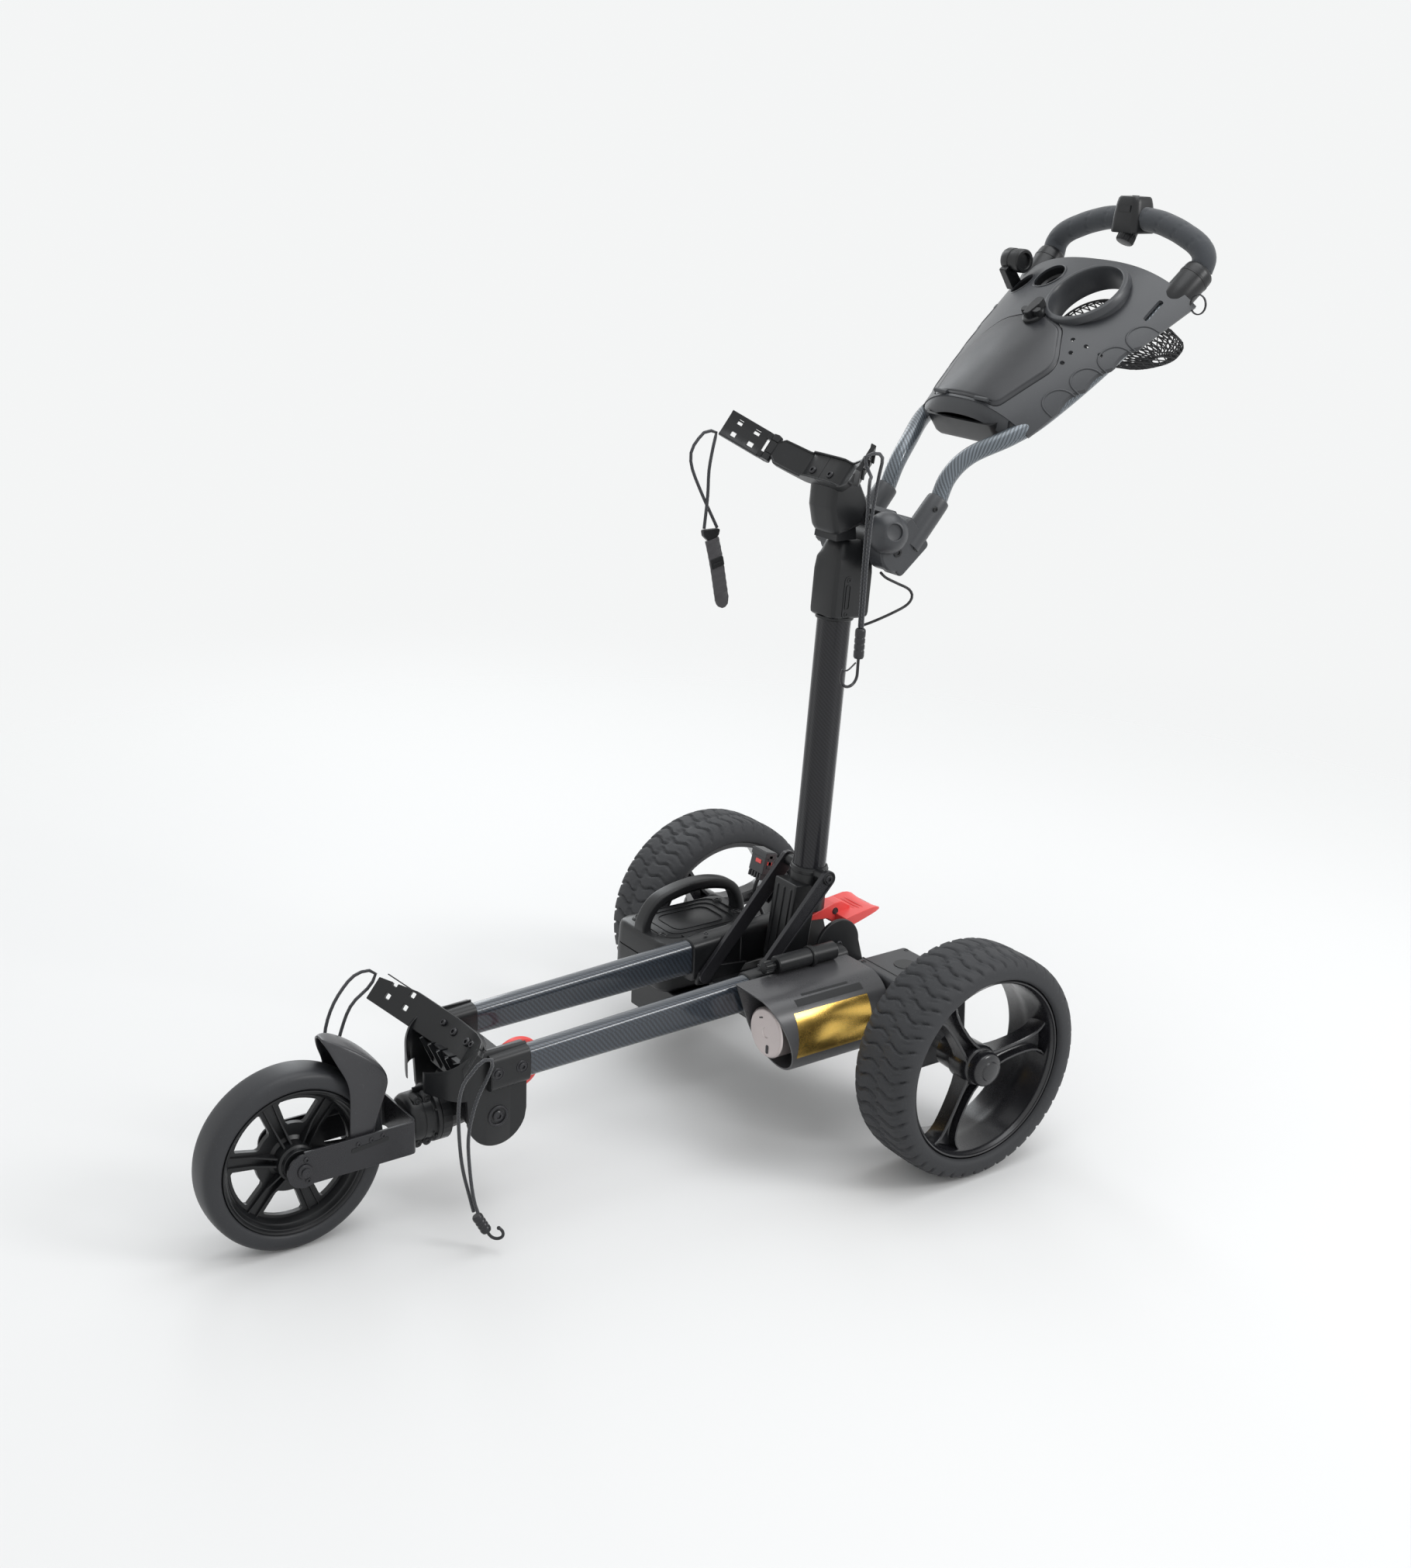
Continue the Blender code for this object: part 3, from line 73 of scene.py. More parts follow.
AXLE_Y = 0.2053
REAR_X, REAR_R = 0.258, 0.140
FRONT_Y, FRONT_R = -0.7445, 0.1062
TUBE_X = 0.0606
FRONT_PIN = (-0.5233, 0.1220)        # the pins are (y, z) places of axes along X
FOLD_PIN = (-0.1673, 0.1670)
MAST_PIN = (-0.0452, 0.3006)
HUB_PIN = (0.0170, 0.7060)
BAG_TILT = math.atan2(0.79, 0.61)
UPPER_U = 0.6020                     # the upper cradle's place along the bag
CONSOLE_ORIGIN = (0.1504, 0.8717)
CONSOLE_TILT = math.atan2(0.595, 0.804)


def at(x, y, z):
    """A world point from its place along Y off the rear axle."""
    return Vector((x, y + AXLE_Y, z))


# ---------------------------------------------------------------- camera, light and floor

def set_camera():
    heading, dip, roll = (math.radians(v) for v in (54.57, 18.68, 1.909))
    forward = -Vector((math.sin(heading) * math.cos(dip), -math.cos(heading) * math.cos(dip),
                       math.sin(dip)))
    right = forward.cross(Vector((0, 0, 1))).normalized()
    up = right.cross(forward)
    across = math.cos(roll) * right + math.sin(roll) * up
    upward = math.cos(roll) * up - math.sin(roll) * right
    data = bpy.data.cameras.new("studio_camera")
    data.sensor_fit, data.sensor_height = "VERTICAL", 36.0
    data.lens = 46.11
    data.shift_x, data.shift_y = 0.01256, -0.0094
    data.clip_start, data.clip_end = 0.05, 60
    camera = bpy.data.objects.new("studio_camera", data)
    turn = Matrix((across, upward, -forward)).transposed().to_4x4()
    camera.matrix_world = Matrix.Translation(at(1.806, -1.520, 1.2118)) @ turn
    bpy.context.scene.collection.objects.link(camera)
    bpy.context.scene.camera = camera


def softbox(name, place, target, size, power, tint=(1, 1, 1)):
    data = bpy.data.lights.new(name, "AREA")
    data.shape, data.size, data.size_y = "RECTANGLE", *size
    data.energy, data.color = power, tint
    lamp = bpy.data.objects.new(name, data)
    lamp.location = place
    lamp.rotation_mode = "QUATERNION"
    lamp.rotation_quaternion = (Vector(place) - Vector(target)).to_track_quat("Z", "Y")
    bpy.context.scene.collection.objects.link(lamp)


def set_studio():
    world = bpy.data.worlds.new("studio")
    bpy.context.scene.world = world
    world.use_nodes = True
    backdrop = world.node_tree.nodes["Background"]
    backdrop.inputs["Color"].default_value = (0.99, 1.0, 1.0, 1)
    backdrop.inputs["Strength"].default_value = 0.915
    bpy.context.scene.view_settings.view_transform = "Standard"
    softbox("overhead", (0.3, 0.5, 3.4), (0, 0, 0.4), (2.6, 2.2), 42, (0.96, 0.98, 1.0))
    softbox("key", (2.6, 1.7, 2.3), (0, 0, 0.45), (1.0, 1.0), 36)
    softbox("rim_strip", (-2.4, 0.6, 1.6), (0, 0.1, 0.6), (0.7, 2.4), 14, (0.93, 0.97, 1.0))
    mesh = bpy.data.meshes.new("floor")
    mesh.from_pydata([(-30, -30, 0), (30, -30, 0), (30, 30, 0), (-30, 30, 0)], [], [(0, 1, 2, 3)])
    floor = bpy.data.objects.new("floor", mesh)
    paint = bpy.data.materials.new("floor_paint")
    paint.use_nodes = True
    shader = paint.node_tree.nodes["Principled BSDF"]
    shader.inputs["Base Color"].default_value = (0.70, 0.70, 0.70, 1)
    shader.inputs["Roughness"].default_value = 0.9
    shader.inputs["Specular IOR Level"].default_value = 0.1
    place = paint.node_tree.nodes.new("ShaderNodeTexCoord")
    reach = paint.node_tree.nodes.new("ShaderNodeVectorMath")
    reach.operation = "LENGTH"
    fade = paint.node_tree.nodes.new("ShaderNodeMapRange")
    fade.interpolation_type = "SMOOTHSTEP"
    for socket, value in (("From Min", 0.9), ("From Max", 2.6), ("To Min", 1.0), ("To Max", 0.0)):
        fade.inputs[socket].default_value = value
    paint.node_tree.links.new(place.outputs["Object"], reach.inputs[0])
    paint.node_tree.links.new(reach.outputs["Value"], fade.inputs["Value"])
    paint.node_tree.links.new(fade.outputs["Result"], shader.inputs["Alpha"])
    mesh.materials.append(paint)
    bpy.context.scene.collection.objects.link(floor)


set_camera()
set_studio()


# ---------------------------------------------------------------- finishes

def maths(tree, kind, *values):
    """A maths node; each value is a number or a socket."""
    node = tree.nodes.new("ShaderNodeMath")
    node.operation = kind
    for place, value in zip(node.inputs, values):
        if isinstance(value, (int, float)):
            place.default_value = value
        else:
            tree.links.new(value, place)
    return node.outputs[0]


def blend_colour(tree, kind, share, first, second):
    node = tree.nodes.new("ShaderNodeMix")
    node.data_type, node.blend_type = "RGBA", kind
    for place, value in ((0, share), (6, first), (7, second)):
        if isinstance(value, (int, float, tuple)):
            node.inputs[place].default_value = value
        else:
            tree.links.new(value, node.inputs[place])
    return node.outputs[2]


def speckle(tree, where, size, detail=2.0):
    """Noise whose grains are about that many metres across."""
    node = tree.nodes.new("ShaderNodeTexNoise")
    node.inputs["Scale"].default_value = 1.0 / size
    node.inputs["Detail"].default_value = detail
    tree.links.new(where, node.inputs["Vector"])
    return node.outputs["Fac"]


def effect(name, inputs, outputs):
    """An empty node group; inputs and outputs are (name, kind, default) and (name, kind)."""
    tree = bpy.data.node_groups.new(name, "ShaderNodeTree")
    for label, kind, default in inputs:
        socket = tree.interface.new_socket(label, in_out="INPUT", socket_type=kind)
        socket.default_value = default
    for label, kind in outputs:
        tree.interface.new_socket(label, in_out="OUTPUT", socket_type=kind)
    return tree, tree.nodes.new("NodeGroupInput"), tree.nodes.new("NodeGroupOutput")


FLOAT, COLOUR = "NodeSocketFloat", "NodeSocketColor"


def moulded_surface():
    """Fine moulded grain, slow mottling and a little settled dust."""
    tree, given, made = effect(
        "moulded_surface",
        [("Colour", COLOUR, (0.02, 0.02, 0.02, 1)), ("Roughness", FLOAT, 0.45),
         ("Mottle", FLOAT, 0.3), ("Dust", FLOAT, 0.1)],
        [("Colour", COLOUR), ("Roughness", FLOAT), ("Height", FLOAT)])
    where = tree.nodes.new("ShaderNodeTexCoord").outputs["Object"]
    grain = speckle(tree, where, 0.0007, 1.0)
    cloud = speckle(tree, where, 0.05, 3.0)
    specks = speckle(tree, where, 0.0025, 4.0)
    tone = maths(tree, "MULTIPLY_ADD", maths(tree, "SUBTRACT", cloud, 0.5),
                 given.outputs["Mottle"], 1.0)
    scaled = tree.nodes.new("ShaderNodeVectorMath")
    scaled.operation = "SCALE"
    tree.links.new(given.outputs["Colour"], scaled.inputs[0])
    tree.links.new(tone, scaled.inputs["Scale"])
    dust = maths(tree, "MULTIPLY", maths(tree, "GREATER_THAN", specks, 0.66), given.outputs["Dust"])
    dusty = blend_colour(tree, "MIX", dust, scaled.outputs[0], (0.30, 0.30, 0.29, 1))
    tree.links.new(dusty, made.inputs["Colour"])
    rough = maths(tree, "MULTIPLY_ADD", maths(tree, "SUBTRACT", cloud, 0.5), 0.22,
                  given.outputs["Roughness"])
    rough = maths(tree, "MULTIPLY_ADD", maths(tree, "SUBTRACT", grain, 0.5), 0.12, rough)
    tree.links.new(rough, made.inputs["Roughness"])
    tree.links.new(grain, made.inputs["Height"])
    return tree


def carbon_twill():
    """Two-by-two twill cloth; the run map holds metres along and round the tube. Warp and weft
    differ a little in tone as the weave's pattern; on top of that each thread's crown is painted
    lighter as painted sheen, and its dips darker as painted shade.
    """
    tree, given, made = effect(
        "carbon_twill",
        [("Thread", FLOAT, 0.0016), ("Dark", COLOUR, (0.01, 0.012, 0.015, 1)),
         ("Light", COLOUR, (0.05, 0.06, 0.07, 1))],
        [("Colour", COLOUR), ("Roughness", FLOAT), ("Height", FLOAT)])
    run = tree.nodes.new("ShaderNodeUVMap")
    run.uv_map = "run"
    parts = tree.nodes.new("ShaderNodeSeparateXYZ")
    tree.links.new(run.outputs["UV"], parts.inputs[0])
    p = maths(tree, "DIVIDE", parts.outputs["X"], given.outputs["Thread"])
    q = maths(tree, "DIVIDE", parts.outputs["Y"], given.outputs["Thread"])
    step = maths(tree, "ADD", maths(tree, "FLOOR", p), maths(tree, "FLOOR", q))
    over = maths(tree, "LESS_THAN", maths(tree, "FLOORED_MODULO", step, 4.0), 2.0)

    def crown(value):
        wave = maths(tree, "MULTIPLY", maths(tree, "FRACT", value), math.pi)
        return maths(tree, "SINE", wave)

    along = maths(tree, "MULTIPLY", crown(p), over)
    round_it = maths(tree, "MULTIPLY", crown(q), maths(tree, "SUBTRACT", 1.0, over))
    height = maths(tree, "ADD", along, round_it)
    # painted sheen on the thread crowns and painted shade in the dips between threads
    share = maths(tree, "MULTIPLY", height, maths(tree, "MULTIPLY_ADD", over, 0.65, 0.35))
    tree.links.new(blend_colour(tree, "MIX", share, given.outputs["Dark"], given.outputs["Light"]),
                   made.inputs["Colour"])
    tree.links.new(maths(tree, "MULTIPLY_ADD", over, -0.14, 0.44), made.inputs["Roughness"])
    tree.links.new(height, made.inputs["Height"])
    return tree


def braided_sleeve():
    """Crossing threads round a cord; the run map holds metres along and turns round it. The low
    parts between the threads are painted near-black as painted shade.
    """
    tree, given, made = effect(
        "braided_sleeve",
        [("Colour", COLOUR, (0.03, 0.03, 0.035, 1)), ("Pitch", FLOAT, 0.0045)],
        [("Colour", COLOUR), ("Height", FLOAT)])
    run = tree.nodes.new("ShaderNodeUVMap")
    run.uv_map = "run"
    parts = tree.nodes.new("ShaderNodeSeparateXYZ")
    tree.links.new(run.outputs["UV"], parts.inputs[0])
    p = maths(tree, "DIVIDE", parts.outputs["X"], given.outputs["Pitch"])
    q = maths(tree, "MULTIPLY", parts.outputs["Y"], 4.0)
    waves = []
    for way in (1.0, -1.0):
        turn = maths(tree, "MULTIPLY_ADD", q, way, p)
        waves.append(maths(tree, "SINE", maths(tree, "MULTIPLY", turn, 2 * math.pi)))
    height = maths(tree, "MAXIMUM", waves[0], waves[1])
    # painted shade: the threads go near-black towards their low parts
    share = maths(tree, "MULTIPLY_ADD", height, 0.5, 0.5)
    tree.links.new(blend_colour(tree, "MIX", share, (0.008, 0.008, 0.010, 1),
                                given.outputs["Colour"]), made.inputs["Colour"])
    tree.links.new(height, made.inputs["Height"])
    return tree


MOULDED, TWILL, BRAID = moulded_surface(), carbon_twill(), braided_sleeve()
FINISHES = {}


def new_finish(name, group, values, rough, metal=0.0, coat=0.0, coat_rough=0.1, bump=0.00004,
               specular=0.5, sheen=0.0, plain=(0.02, 0.02, 0.02, 1)):
    """A material whose colour, roughness and bump come from one of the groups."""
    material = bpy.data.materials.new(name)
    material.use_nodes = True
    material.diffuse_color = plain
    tree = material.node_tree
    shader = tree.nodes["Principled BSDF"]
    node = tree.nodes.new("ShaderNodeGroup")
    node.node_tree = group
    for label, value in values.items():
        node.inputs[label].default_value = value
    tree.links.new(node.outputs["Colour"], shader.inputs["Base Color"])
    if "Roughness" in node.outputs:
        tree.links.new(node.outputs["Roughness"], shader.inputs["Roughness"])
    else:
        shader.inputs["Roughness"].default_value = rough
    relief = tree.nodes.new("ShaderNodeBump")
    relief.inputs["Strength"].default_value = 1.0
    relief.inputs["Distance"].default_value = bump
    tree.links.new(node.outputs["Height"], relief.inputs["Height"])
    tree.links.new(relief.outputs["Normal"], shader.inputs["Normal"])
    shader.inputs["Metallic"].default_value = metal
    shader.inputs["Coat Weight"].default_value = coat
    shader.inputs["Coat Roughness"].default_value = coat_rough
    shader.inputs["Specular IOR Level"].default_value = specular
    shader.inputs["Sheen Weight"].default_value = sheen
    FINISHES[name] = material
    return material


def plastic(name, colour, rough, mottle=0.3, dust=0.03, **more):
    return new_finish(name, MOULDED, {"Colour": (*colour, 1), "Roughness": rough,
                                      "Mottle": mottle, "Dust": dust}, rough,
                      plain=(*colour, 1), **more)


plastic("black_moulding", (0.0085, 0.009, 0.010), 0.36, dust=0.012, specular=0.4)
plastic("satin_grey_moulding", (0.034, 0.036, 0.040), 0.38, dust=0.02, bump=0.00005)
plastic("lid_moulding", (0.020, 0.021, 0.024), 0.34, dust=0.02, bump=0.00004)
plastic("gloss_black_rim", (0.010, 0.010, 0.012), 0.27, mottle=0.2, dust=0.01, bump=0.000006,
        coat=0.25, coat_rough=0.18)
plastic("tread_rubber", (0.030, 0.031, 0.034), 0.60, mottle=0.4, dust=0.04, bump=0.0001,
        specular=0.35)
plastic("smooth_rubber", (0.024, 0.025, 0.028), 0.46, mottle=0.3, dust=0.03, bump=0.00003,
        specular=0.4)
plastic("grip_foam", (0.040, 0.044, 0.050), 0.80, mottle=0.5, dust=0.04, bump=0.00025,
        specular=0.25, sheen=0.25)
plastic("coral_red_plastic", (0.76, 0.075, 0.070), 0.32, mottle=0.12, dust=0.0, bump=0.00002)
plastic("bright_steel", (0.62, 0.62, 0.63), 0.22, mottle=0.15, dust=0.0, metal=1.0, bump=0.000005)
plastic("black_coated_steel", (0.022, 0.022, 0.025), 0.30, mottle=0.2, metal=0.25, bump=0.00005)
plastic("motor_end_metal", (0.58, 0.52, 0.51), 0.36, mottle=0.25, dust=0.0, metal=0.85,
        bump=0.00001)
plastic("shroud_moulding", (0.050, 0.050, 0.053), 0.30, mottle=0.3, bump=0.00003)
plastic("gearbox_moulding", (0.036, 0.037, 0.040), 0.42, bump=0.00005)
plastic("gold_foil", (0.86, 0.56, 0.14), 0.24, mottle=0.9, dust=0.0, metal=1.0, bump=0.00002)
plastic("mudguard_moulding", (0.024, 0.024, 0.027), 0.30, mottle=0.3, bump=0.00003)
plastic("net_thread", (0.016, 0.016, 0.018), 0.70, bump=0.00002)
plastic("webbing", (0.050, 0.048, 0.052), 0.75, mottle=0.4, bump=0.0002, sheen=0.3)
# Each Light colour is the thread crowns' painted sheen; the handle's bright bluish one is a painted
# highlight.
new_finish("carbon_tube", TWILL, {"Thread": 0.0015, "Dark": (0.005, 0.006, 0.009, 1),
                                  "Light": (0.050, 0.066, 0.088, 1)}, 0.4, metal=0.30, coat=0.8,
           coat_rough=0.10, bump=0.00006)
new_finish("carbon_mast", TWILL, {"Thread": 0.0013, "Dark": (0.003, 0.003, 0.004, 1),
                                  "Light": (0.016, 0.016, 0.020, 1)}, 0.4, metal=0.10, coat=0.45,
           coat_rough=0.14, bump=0.00005, specular=0.2)
new_finish("carbon_handle", TWILL, {"Thread": 0.0014, "Dark": (0.010, 0.012, 0.015, 1),
                                    "Light": (0.200, 0.235, 0.270, 1)}, 0.4, metal=0.45, coat=0.7,
           coat_rough=0.12, bump=0.00006)
new_finish("cord_braid", BRAID, {"Colour": (0.022, 0.024, 0.030, 1)}, 0.62, bump=0.0002,
           sheen=0.3)
new_finish("wire_jacket", BRAID, {"Colour": (0.020, 0.020, 0.022, 1), "Pitch": 0.02}, 0.45,
           bump=0.00001)

SLOT_OF = {
    "black_moulding": "black_plastic", "satin_grey_moulding": "grey_plastic",
    "lid_moulding": "grey_plastic", "gloss_black_rim": "black_plastic",
    "tread_rubber": "rubber", "smooth_rubber": "rubber", "grip_foam": "foam",
    "coral_red_plastic": "red_plastic", "bright_steel": "steel",
    "black_coated_steel": "black_steel", "motor_end_metal": "motor_metal",
    "shroud_moulding": "grey_plastic", "gearbox_moulding": "grey_plastic",
    "mudguard_moulding": "grey_plastic", "net_thread": "net", "webbing": "cord",
    "carbon_tube": "carbon", "carbon_mast": "carbon", "carbon_handle": "carbon",
    "cord_braid": "cord", "wire_jacket": "cord",
}


# ---------------------------------------------------------------- ways of making a piece

def show(name, bm, finish, body, stands_for=(), sharp=35.0, rounding=0.0, segments=2):
    """Turns a bmesh into a piece that rides on a body and stands for CAD nodes."""
    mesh = bpy.data.meshes.new(name)
    bmesh.ops.recalc_face_normals(bm, faces=bm.faces)
    bm.to_mesh(mesh)
    bm.free()
    mesh.materials.append(FINISHES[finish])
    mesh.shade_smooth()
    piece = bpy.data.objects.new(name, mesh)
    bpy.context.scene.collection.objects.link(piece)
    if rounding:
        edge = piece.modifiers.new("rounded_edges", "BEVEL")
        edge.width, edge.segments = rounding, segments
        edge.limit_method, edge.angle_limit = "ANGLE", math.radians(32)
        edge.use_clamp_overlap = False
        edge.harden_normals = True
    mesh.set_sharp_from_angle(angle=math.radians(sharp))
    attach(piece, body)
    if stands_for:
        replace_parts(piece, *stands_for)
    return piece


def refined(node, finish, rounding=0.0007):
    """The CAD node's own shape with its edges rounded."""
    bm = bmesh.new()
    bm.from_mesh(frame["nodes"][node].data)
    bmesh.ops.remove_doubles(bm, verts=bm.verts, dist=0.00002)
    bmesh.ops.dissolve_limit(bm, angle_limit=math.radians(1.0), verts=bm.verts, edges=bm.edges)
    return show(node + "_body", bm, finish, BODY_OF[node], (node,), rounding=rounding)


def frame_of(centre, right, up):
    """A frame with its X to the right and its Y up."""
    right, up = Vector(right).normalized(), Vector(up).normalized()
    turn = Matrix((right, up, right.cross(up))).transposed().to_4x4()
    return Matrix.Translation(centre) @ turn


def along(axis):
    """The turn that brings Z onto an axis."""
    return Vector((0, 0, 1)).rotation_difference(Vector(axis)).to_matrix().to_4x4()


def loft(bm, rings, closed=True, caps=(True, True), run=None):
    """Faces between successive rings of points; run gives each ring's metres along."""
    layer = bm.loops.layers.uv.get("run") or bm.loops.layers.uv.new("run") if run else None
    rows = [[bm.verts.new(p) for p in ring] for ring in rings]
    count = len(rows[0])
    if run:
        around, ring = [0.0], rings[0]
        for a, b in zip(ring, ring[1:] + ring[:1]):
            around.append(around[-1] + (Vector(b) - Vector(a)).length)
    for i in range(len(rows) - 1):
        for j in range(count if closed else count - 1):
            k = (j + 1) % count
            face = bm.faces.new((rows[i][j], rows[i][k], rows[i + 1][k], rows[i + 1][j]))
            if run:
                marks = ((run[i], around[j]), (run[i], around[j + 1]),
                         (run[i + 1], around[j + 1]), (run[i + 1], around[j]))
                for loop, mark in zip(face.loops, marks):
                    loop[layer].uv = mark
    if closed and caps[0]:
        bm.faces.new(rows[0][::-1])
    if closed and caps[1]:
        bm.faces.new(rows[-1])
    return rows


def lathe(bm, profile, centre, axis, steps=64, closed=False):
    """Turns (radius, height) points about an axis; points at radius 0 become one vertex."""
    turn = Matrix.Translation(centre) @ along(axis)
    rows = []
    for radius, height in profile:
        if radius < 1e-6:
            rows.append([bm.verts.new(turn @ Vector((0, 0, height)))])
            continue
        angles = (2 * math.pi * k / steps for k in range(steps))
        rows.append([bm.verts.new(turn @ Vector((radius * math.cos(a), radius * math.sin(a),
                                                 height))) for a in angles])
    pairs = list(zip(rows, rows[1:]))
    if closed:
        pairs.append((rows[-1], rows[0]))
    for first, second in pairs:
        for j in range(steps):
            k = (j + 1) % steps
            corners = [first[j % len(first)], first[k % len(first)],
                       second[k % len(second)], second[j % len(second)]]
            unique = list(dict.fromkeys(corners))
            if len(unique) > 2:
                bm.faces.new(unique)
    return rows


def smooth_path(points, spacing):
    """A smooth curve through the points, cut into equal steps of about the spacing."""
    points = [Vector(p) for p in points]
    ends = [2 * points[0] - points[1], *points, 2 * points[-1] - points[-2]]
    fine = []
    for a, b, c, d in zip(ends, ends[1:], ends[2:], ends[3:]):
        for k in range(24):
            t = k / 24
            fine.append(0.5 * (2 * b + (c - a) * t + (2 * a - 5 * b + 4 * c - d) * t ** 2
                               + (3 * b - a - 3 * c + d) * t ** 3))
    fine.append(points[-1])
    total = sum((b - a).length for a, b in zip(fine, fine[1:]))
    count = max(2, round(total / spacing))
    path, run, target = [fine[0]], 0.0, total / count
    for a, b in zip(fine, fine[1:]):
        step = (b - a).length
        while step and run + step >= target * len(path) - 1e-9 and len(path) < count:
            path.append(a.lerp(b, (target * len(path) - run) / step))
        run += step
    path.append(fine[-1])
    return path


def sweep(bm, path, outline, side=(1, 0, 0), caps=(True, True)):
    """Carries an outline along a path; outline is a list of (across, up) or a function of
    the metres along."""
    path = [Vector(p) for p in path]
    rings, run, way = [], [], 0.0
    across = Vector(side).normalized()
    for k, point in enumerate(path):
        ahead = (path[min(k + 1, len(path) - 1)] - path[max(k - 1, 0)]).normalized()
        across = (across - ahead * across.dot(ahead)).normalized()
        up = ahead.cross(across)
        if k:
            way += (point - path[k - 1]).length
        shape = outline(way) if callable(outline) else outline
        rings.append([point + across * a + up * b for a, b in shape])
        run.append(way)
    return loft(bm, rings, True, caps, run)


def circle(radius, sides=16):
    """A round outline."""
    return [(radius * math.cos(a), radius * math.sin(a))
            for a in (2 * math.pi * k / sides for k in range(sides))]


def tube_on(bm, path, radius, sides=12, caps=(True, True)):
    return sweep(bm, path, circle(radius, sides), caps=caps)


def rod(bm, radius, start, end, sides=32, end_radius=None, lip=0.0):
    """A round bar with optional softened ends."""
    start, end = Vector(start), Vector(end)
    far = radius if end_radius is None else end_radius
    length = (end - start).length
    profile = [(0, 0), (radius - lip, 0), (radius, lip), (far, length - lip), (far - lip, length),
               (0, length)] if lip else [(0, 0), (radius, 0), (far, length), (0, length)]
    lathe(bm, profile, start, end - start, sides)


def box(bm, size, centre, tilt=0.0, turn=None, taper=(1.0, 1.0)):
    matrix = Matrix.Translation(centre) @ (turn or Matrix.Rotation(tilt, 4, "X"))
    verts = bmesh.ops.create_cube(bm, size=1.0)["verts"]
    for vertex in verts:
        top = vertex.co.z > 0
        vertex.co = matrix @ Vector((vertex.co.x * size[0] * (taper[0] if top else 1),
                                     vertex.co.y * size[1] * (taper[1] if top else 1),
                                     vertex.co.z * size[2]))


def prism(bm, outline, thickness, matrix):
    """A flat outline thickened evenly on both sides of its plane."""
    lower = [matrix @ Vector((a, b, -thickness / 2)) for a, b in outline]
    upper = [matrix @ Vector((a, b, thickness / 2)) for a, b in outline]
    loft(bm, [lower, upper])


def side_matrix(x):
    return frame_of(at(x, 0, 0), (0, 1, 0), (0, 0, 1))


def rounded(corners, radius, steps=6):
    result, count = [], len(corners)
    for k, corner in enumerate(corners):
        here = Vector(corner[:2])
        reach = corner[2] if len(corner) > 2 else radius
        before = Vector(corners[k - 1][:2]) - here
        after = Vector(corners[(k + 1) % count][:2]) - here
        if reach <= 0:
            result.append(tuple(here))
            continue
        half = before.angle(after) / 2
        span = min(reach / math.tan(half), 0.49 * before.length, 0.49 * after.length)
        start, end = here + before.normalized() * span, here + after.normalized() * span
        for j in range(steps + 1):
            t = j / steps
            result.append(tuple((1 - t) ** 2 * start + 2 * t * (1 - t) * here + t ** 2 * end))
    return result


def round_box(wide, tall, radius, steps=6):
    """A rounded rectangle centred on its middle."""
    return rounded([(wide / 2, tall / 2), (-wide / 2, tall / 2), (-wide / 2, -tall / 2),
                    (wide / 2, -tall / 2)], radius, steps)


def arc(centre, radius, start, end, steps):
    angles = [math.radians(start + (end - start) * k / steps) for k in range(steps + 1)]
    return [(centre[0] + radius * math.cos(a), centre[1] + radius * math.sin(a)) for a in angles]


def cut(piece, *cutters):
    """Cuts holes with hidden cutters, and leaves a plain mesh."""
    for cutter in cutters:
        step = piece.modifiers.new("hole", "BOOLEAN")
        step.operation, step.solver, step.object = "DIFFERENCE", "EXACT", cutter
    order = [m for m in piece.modifiers if m.type == "BEVEL"]
    settings = [(m.width, m.segments) for m in order]
    for m in order:
        piece.modifiers.remove(m)
    bpy.context.view_layer.update()
    graph = bpy.context.evaluated_depsgraph_get()
    mesh = bpy.data.meshes.new_from_object(piece.evaluated_get(graph))
    piece.modifiers.clear()
    piece.data = mesh
    mesh.set_sharp_from_angle(angle=math.radians(32))
    for width, segments in settings:
        edge = piece.modifiers.new("rounded_edges", "BEVEL")
        edge.width, edge.segments = width, segments
        edge.limit_method, edge.angle_limit = "ANGLE", math.radians(32)
        edge.use_clamp_overlap, edge.harden_normals = False, True
    for cutter in cutters:
        bpy.data.objects.remove(cutter)
    return piece


def cutter(bm):
    """A closed shape that cut() takes away and then deletes."""
    mesh = bpy.data.meshes.new("cutter")
    bmesh.ops.recalc_face_normals(bm, faces=bm.faces)
    bm.to_mesh(mesh)
    bm.free()
    shape = bpy.data.objects.new("cutter", mesh)
    bpy.context.scene.collection.objects.link(shape)
    return shape


def hex_screw(bm, place, axis, radius, tall=0.0022, proud=0.0):
    """A button-head screw with a hexagonal socket, its head standing on place."""
    turn = Matrix.Translation(Vector(place)) @ along(axis)
    rings = []
    steps = 24
    for share, height in ((1.0, proud - 0.0005), (1.0, proud + tall * 0.5),
                          (0.80, proud + tall), (0.50, proud + tall), (0.50, proud + tall * 0.25)):
        ring = []
        for k in range(steps):
            a = 2 * math.pi * k / steps
            reach = radius * share
            if share == 0.5:
                wedge = (a + math.pi / 6) % (math.pi / 3) - math.pi / 6
                reach *= math.cos(math.pi / 6) / math.cos(wedge)
            ring.append(turn @ Vector((reach * math.cos(a), reach * math.sin(a), height)))
        rings.append(ring)
    loft(bm, rings)


# ---------------------------------------------------------------- cords, hooks and strap

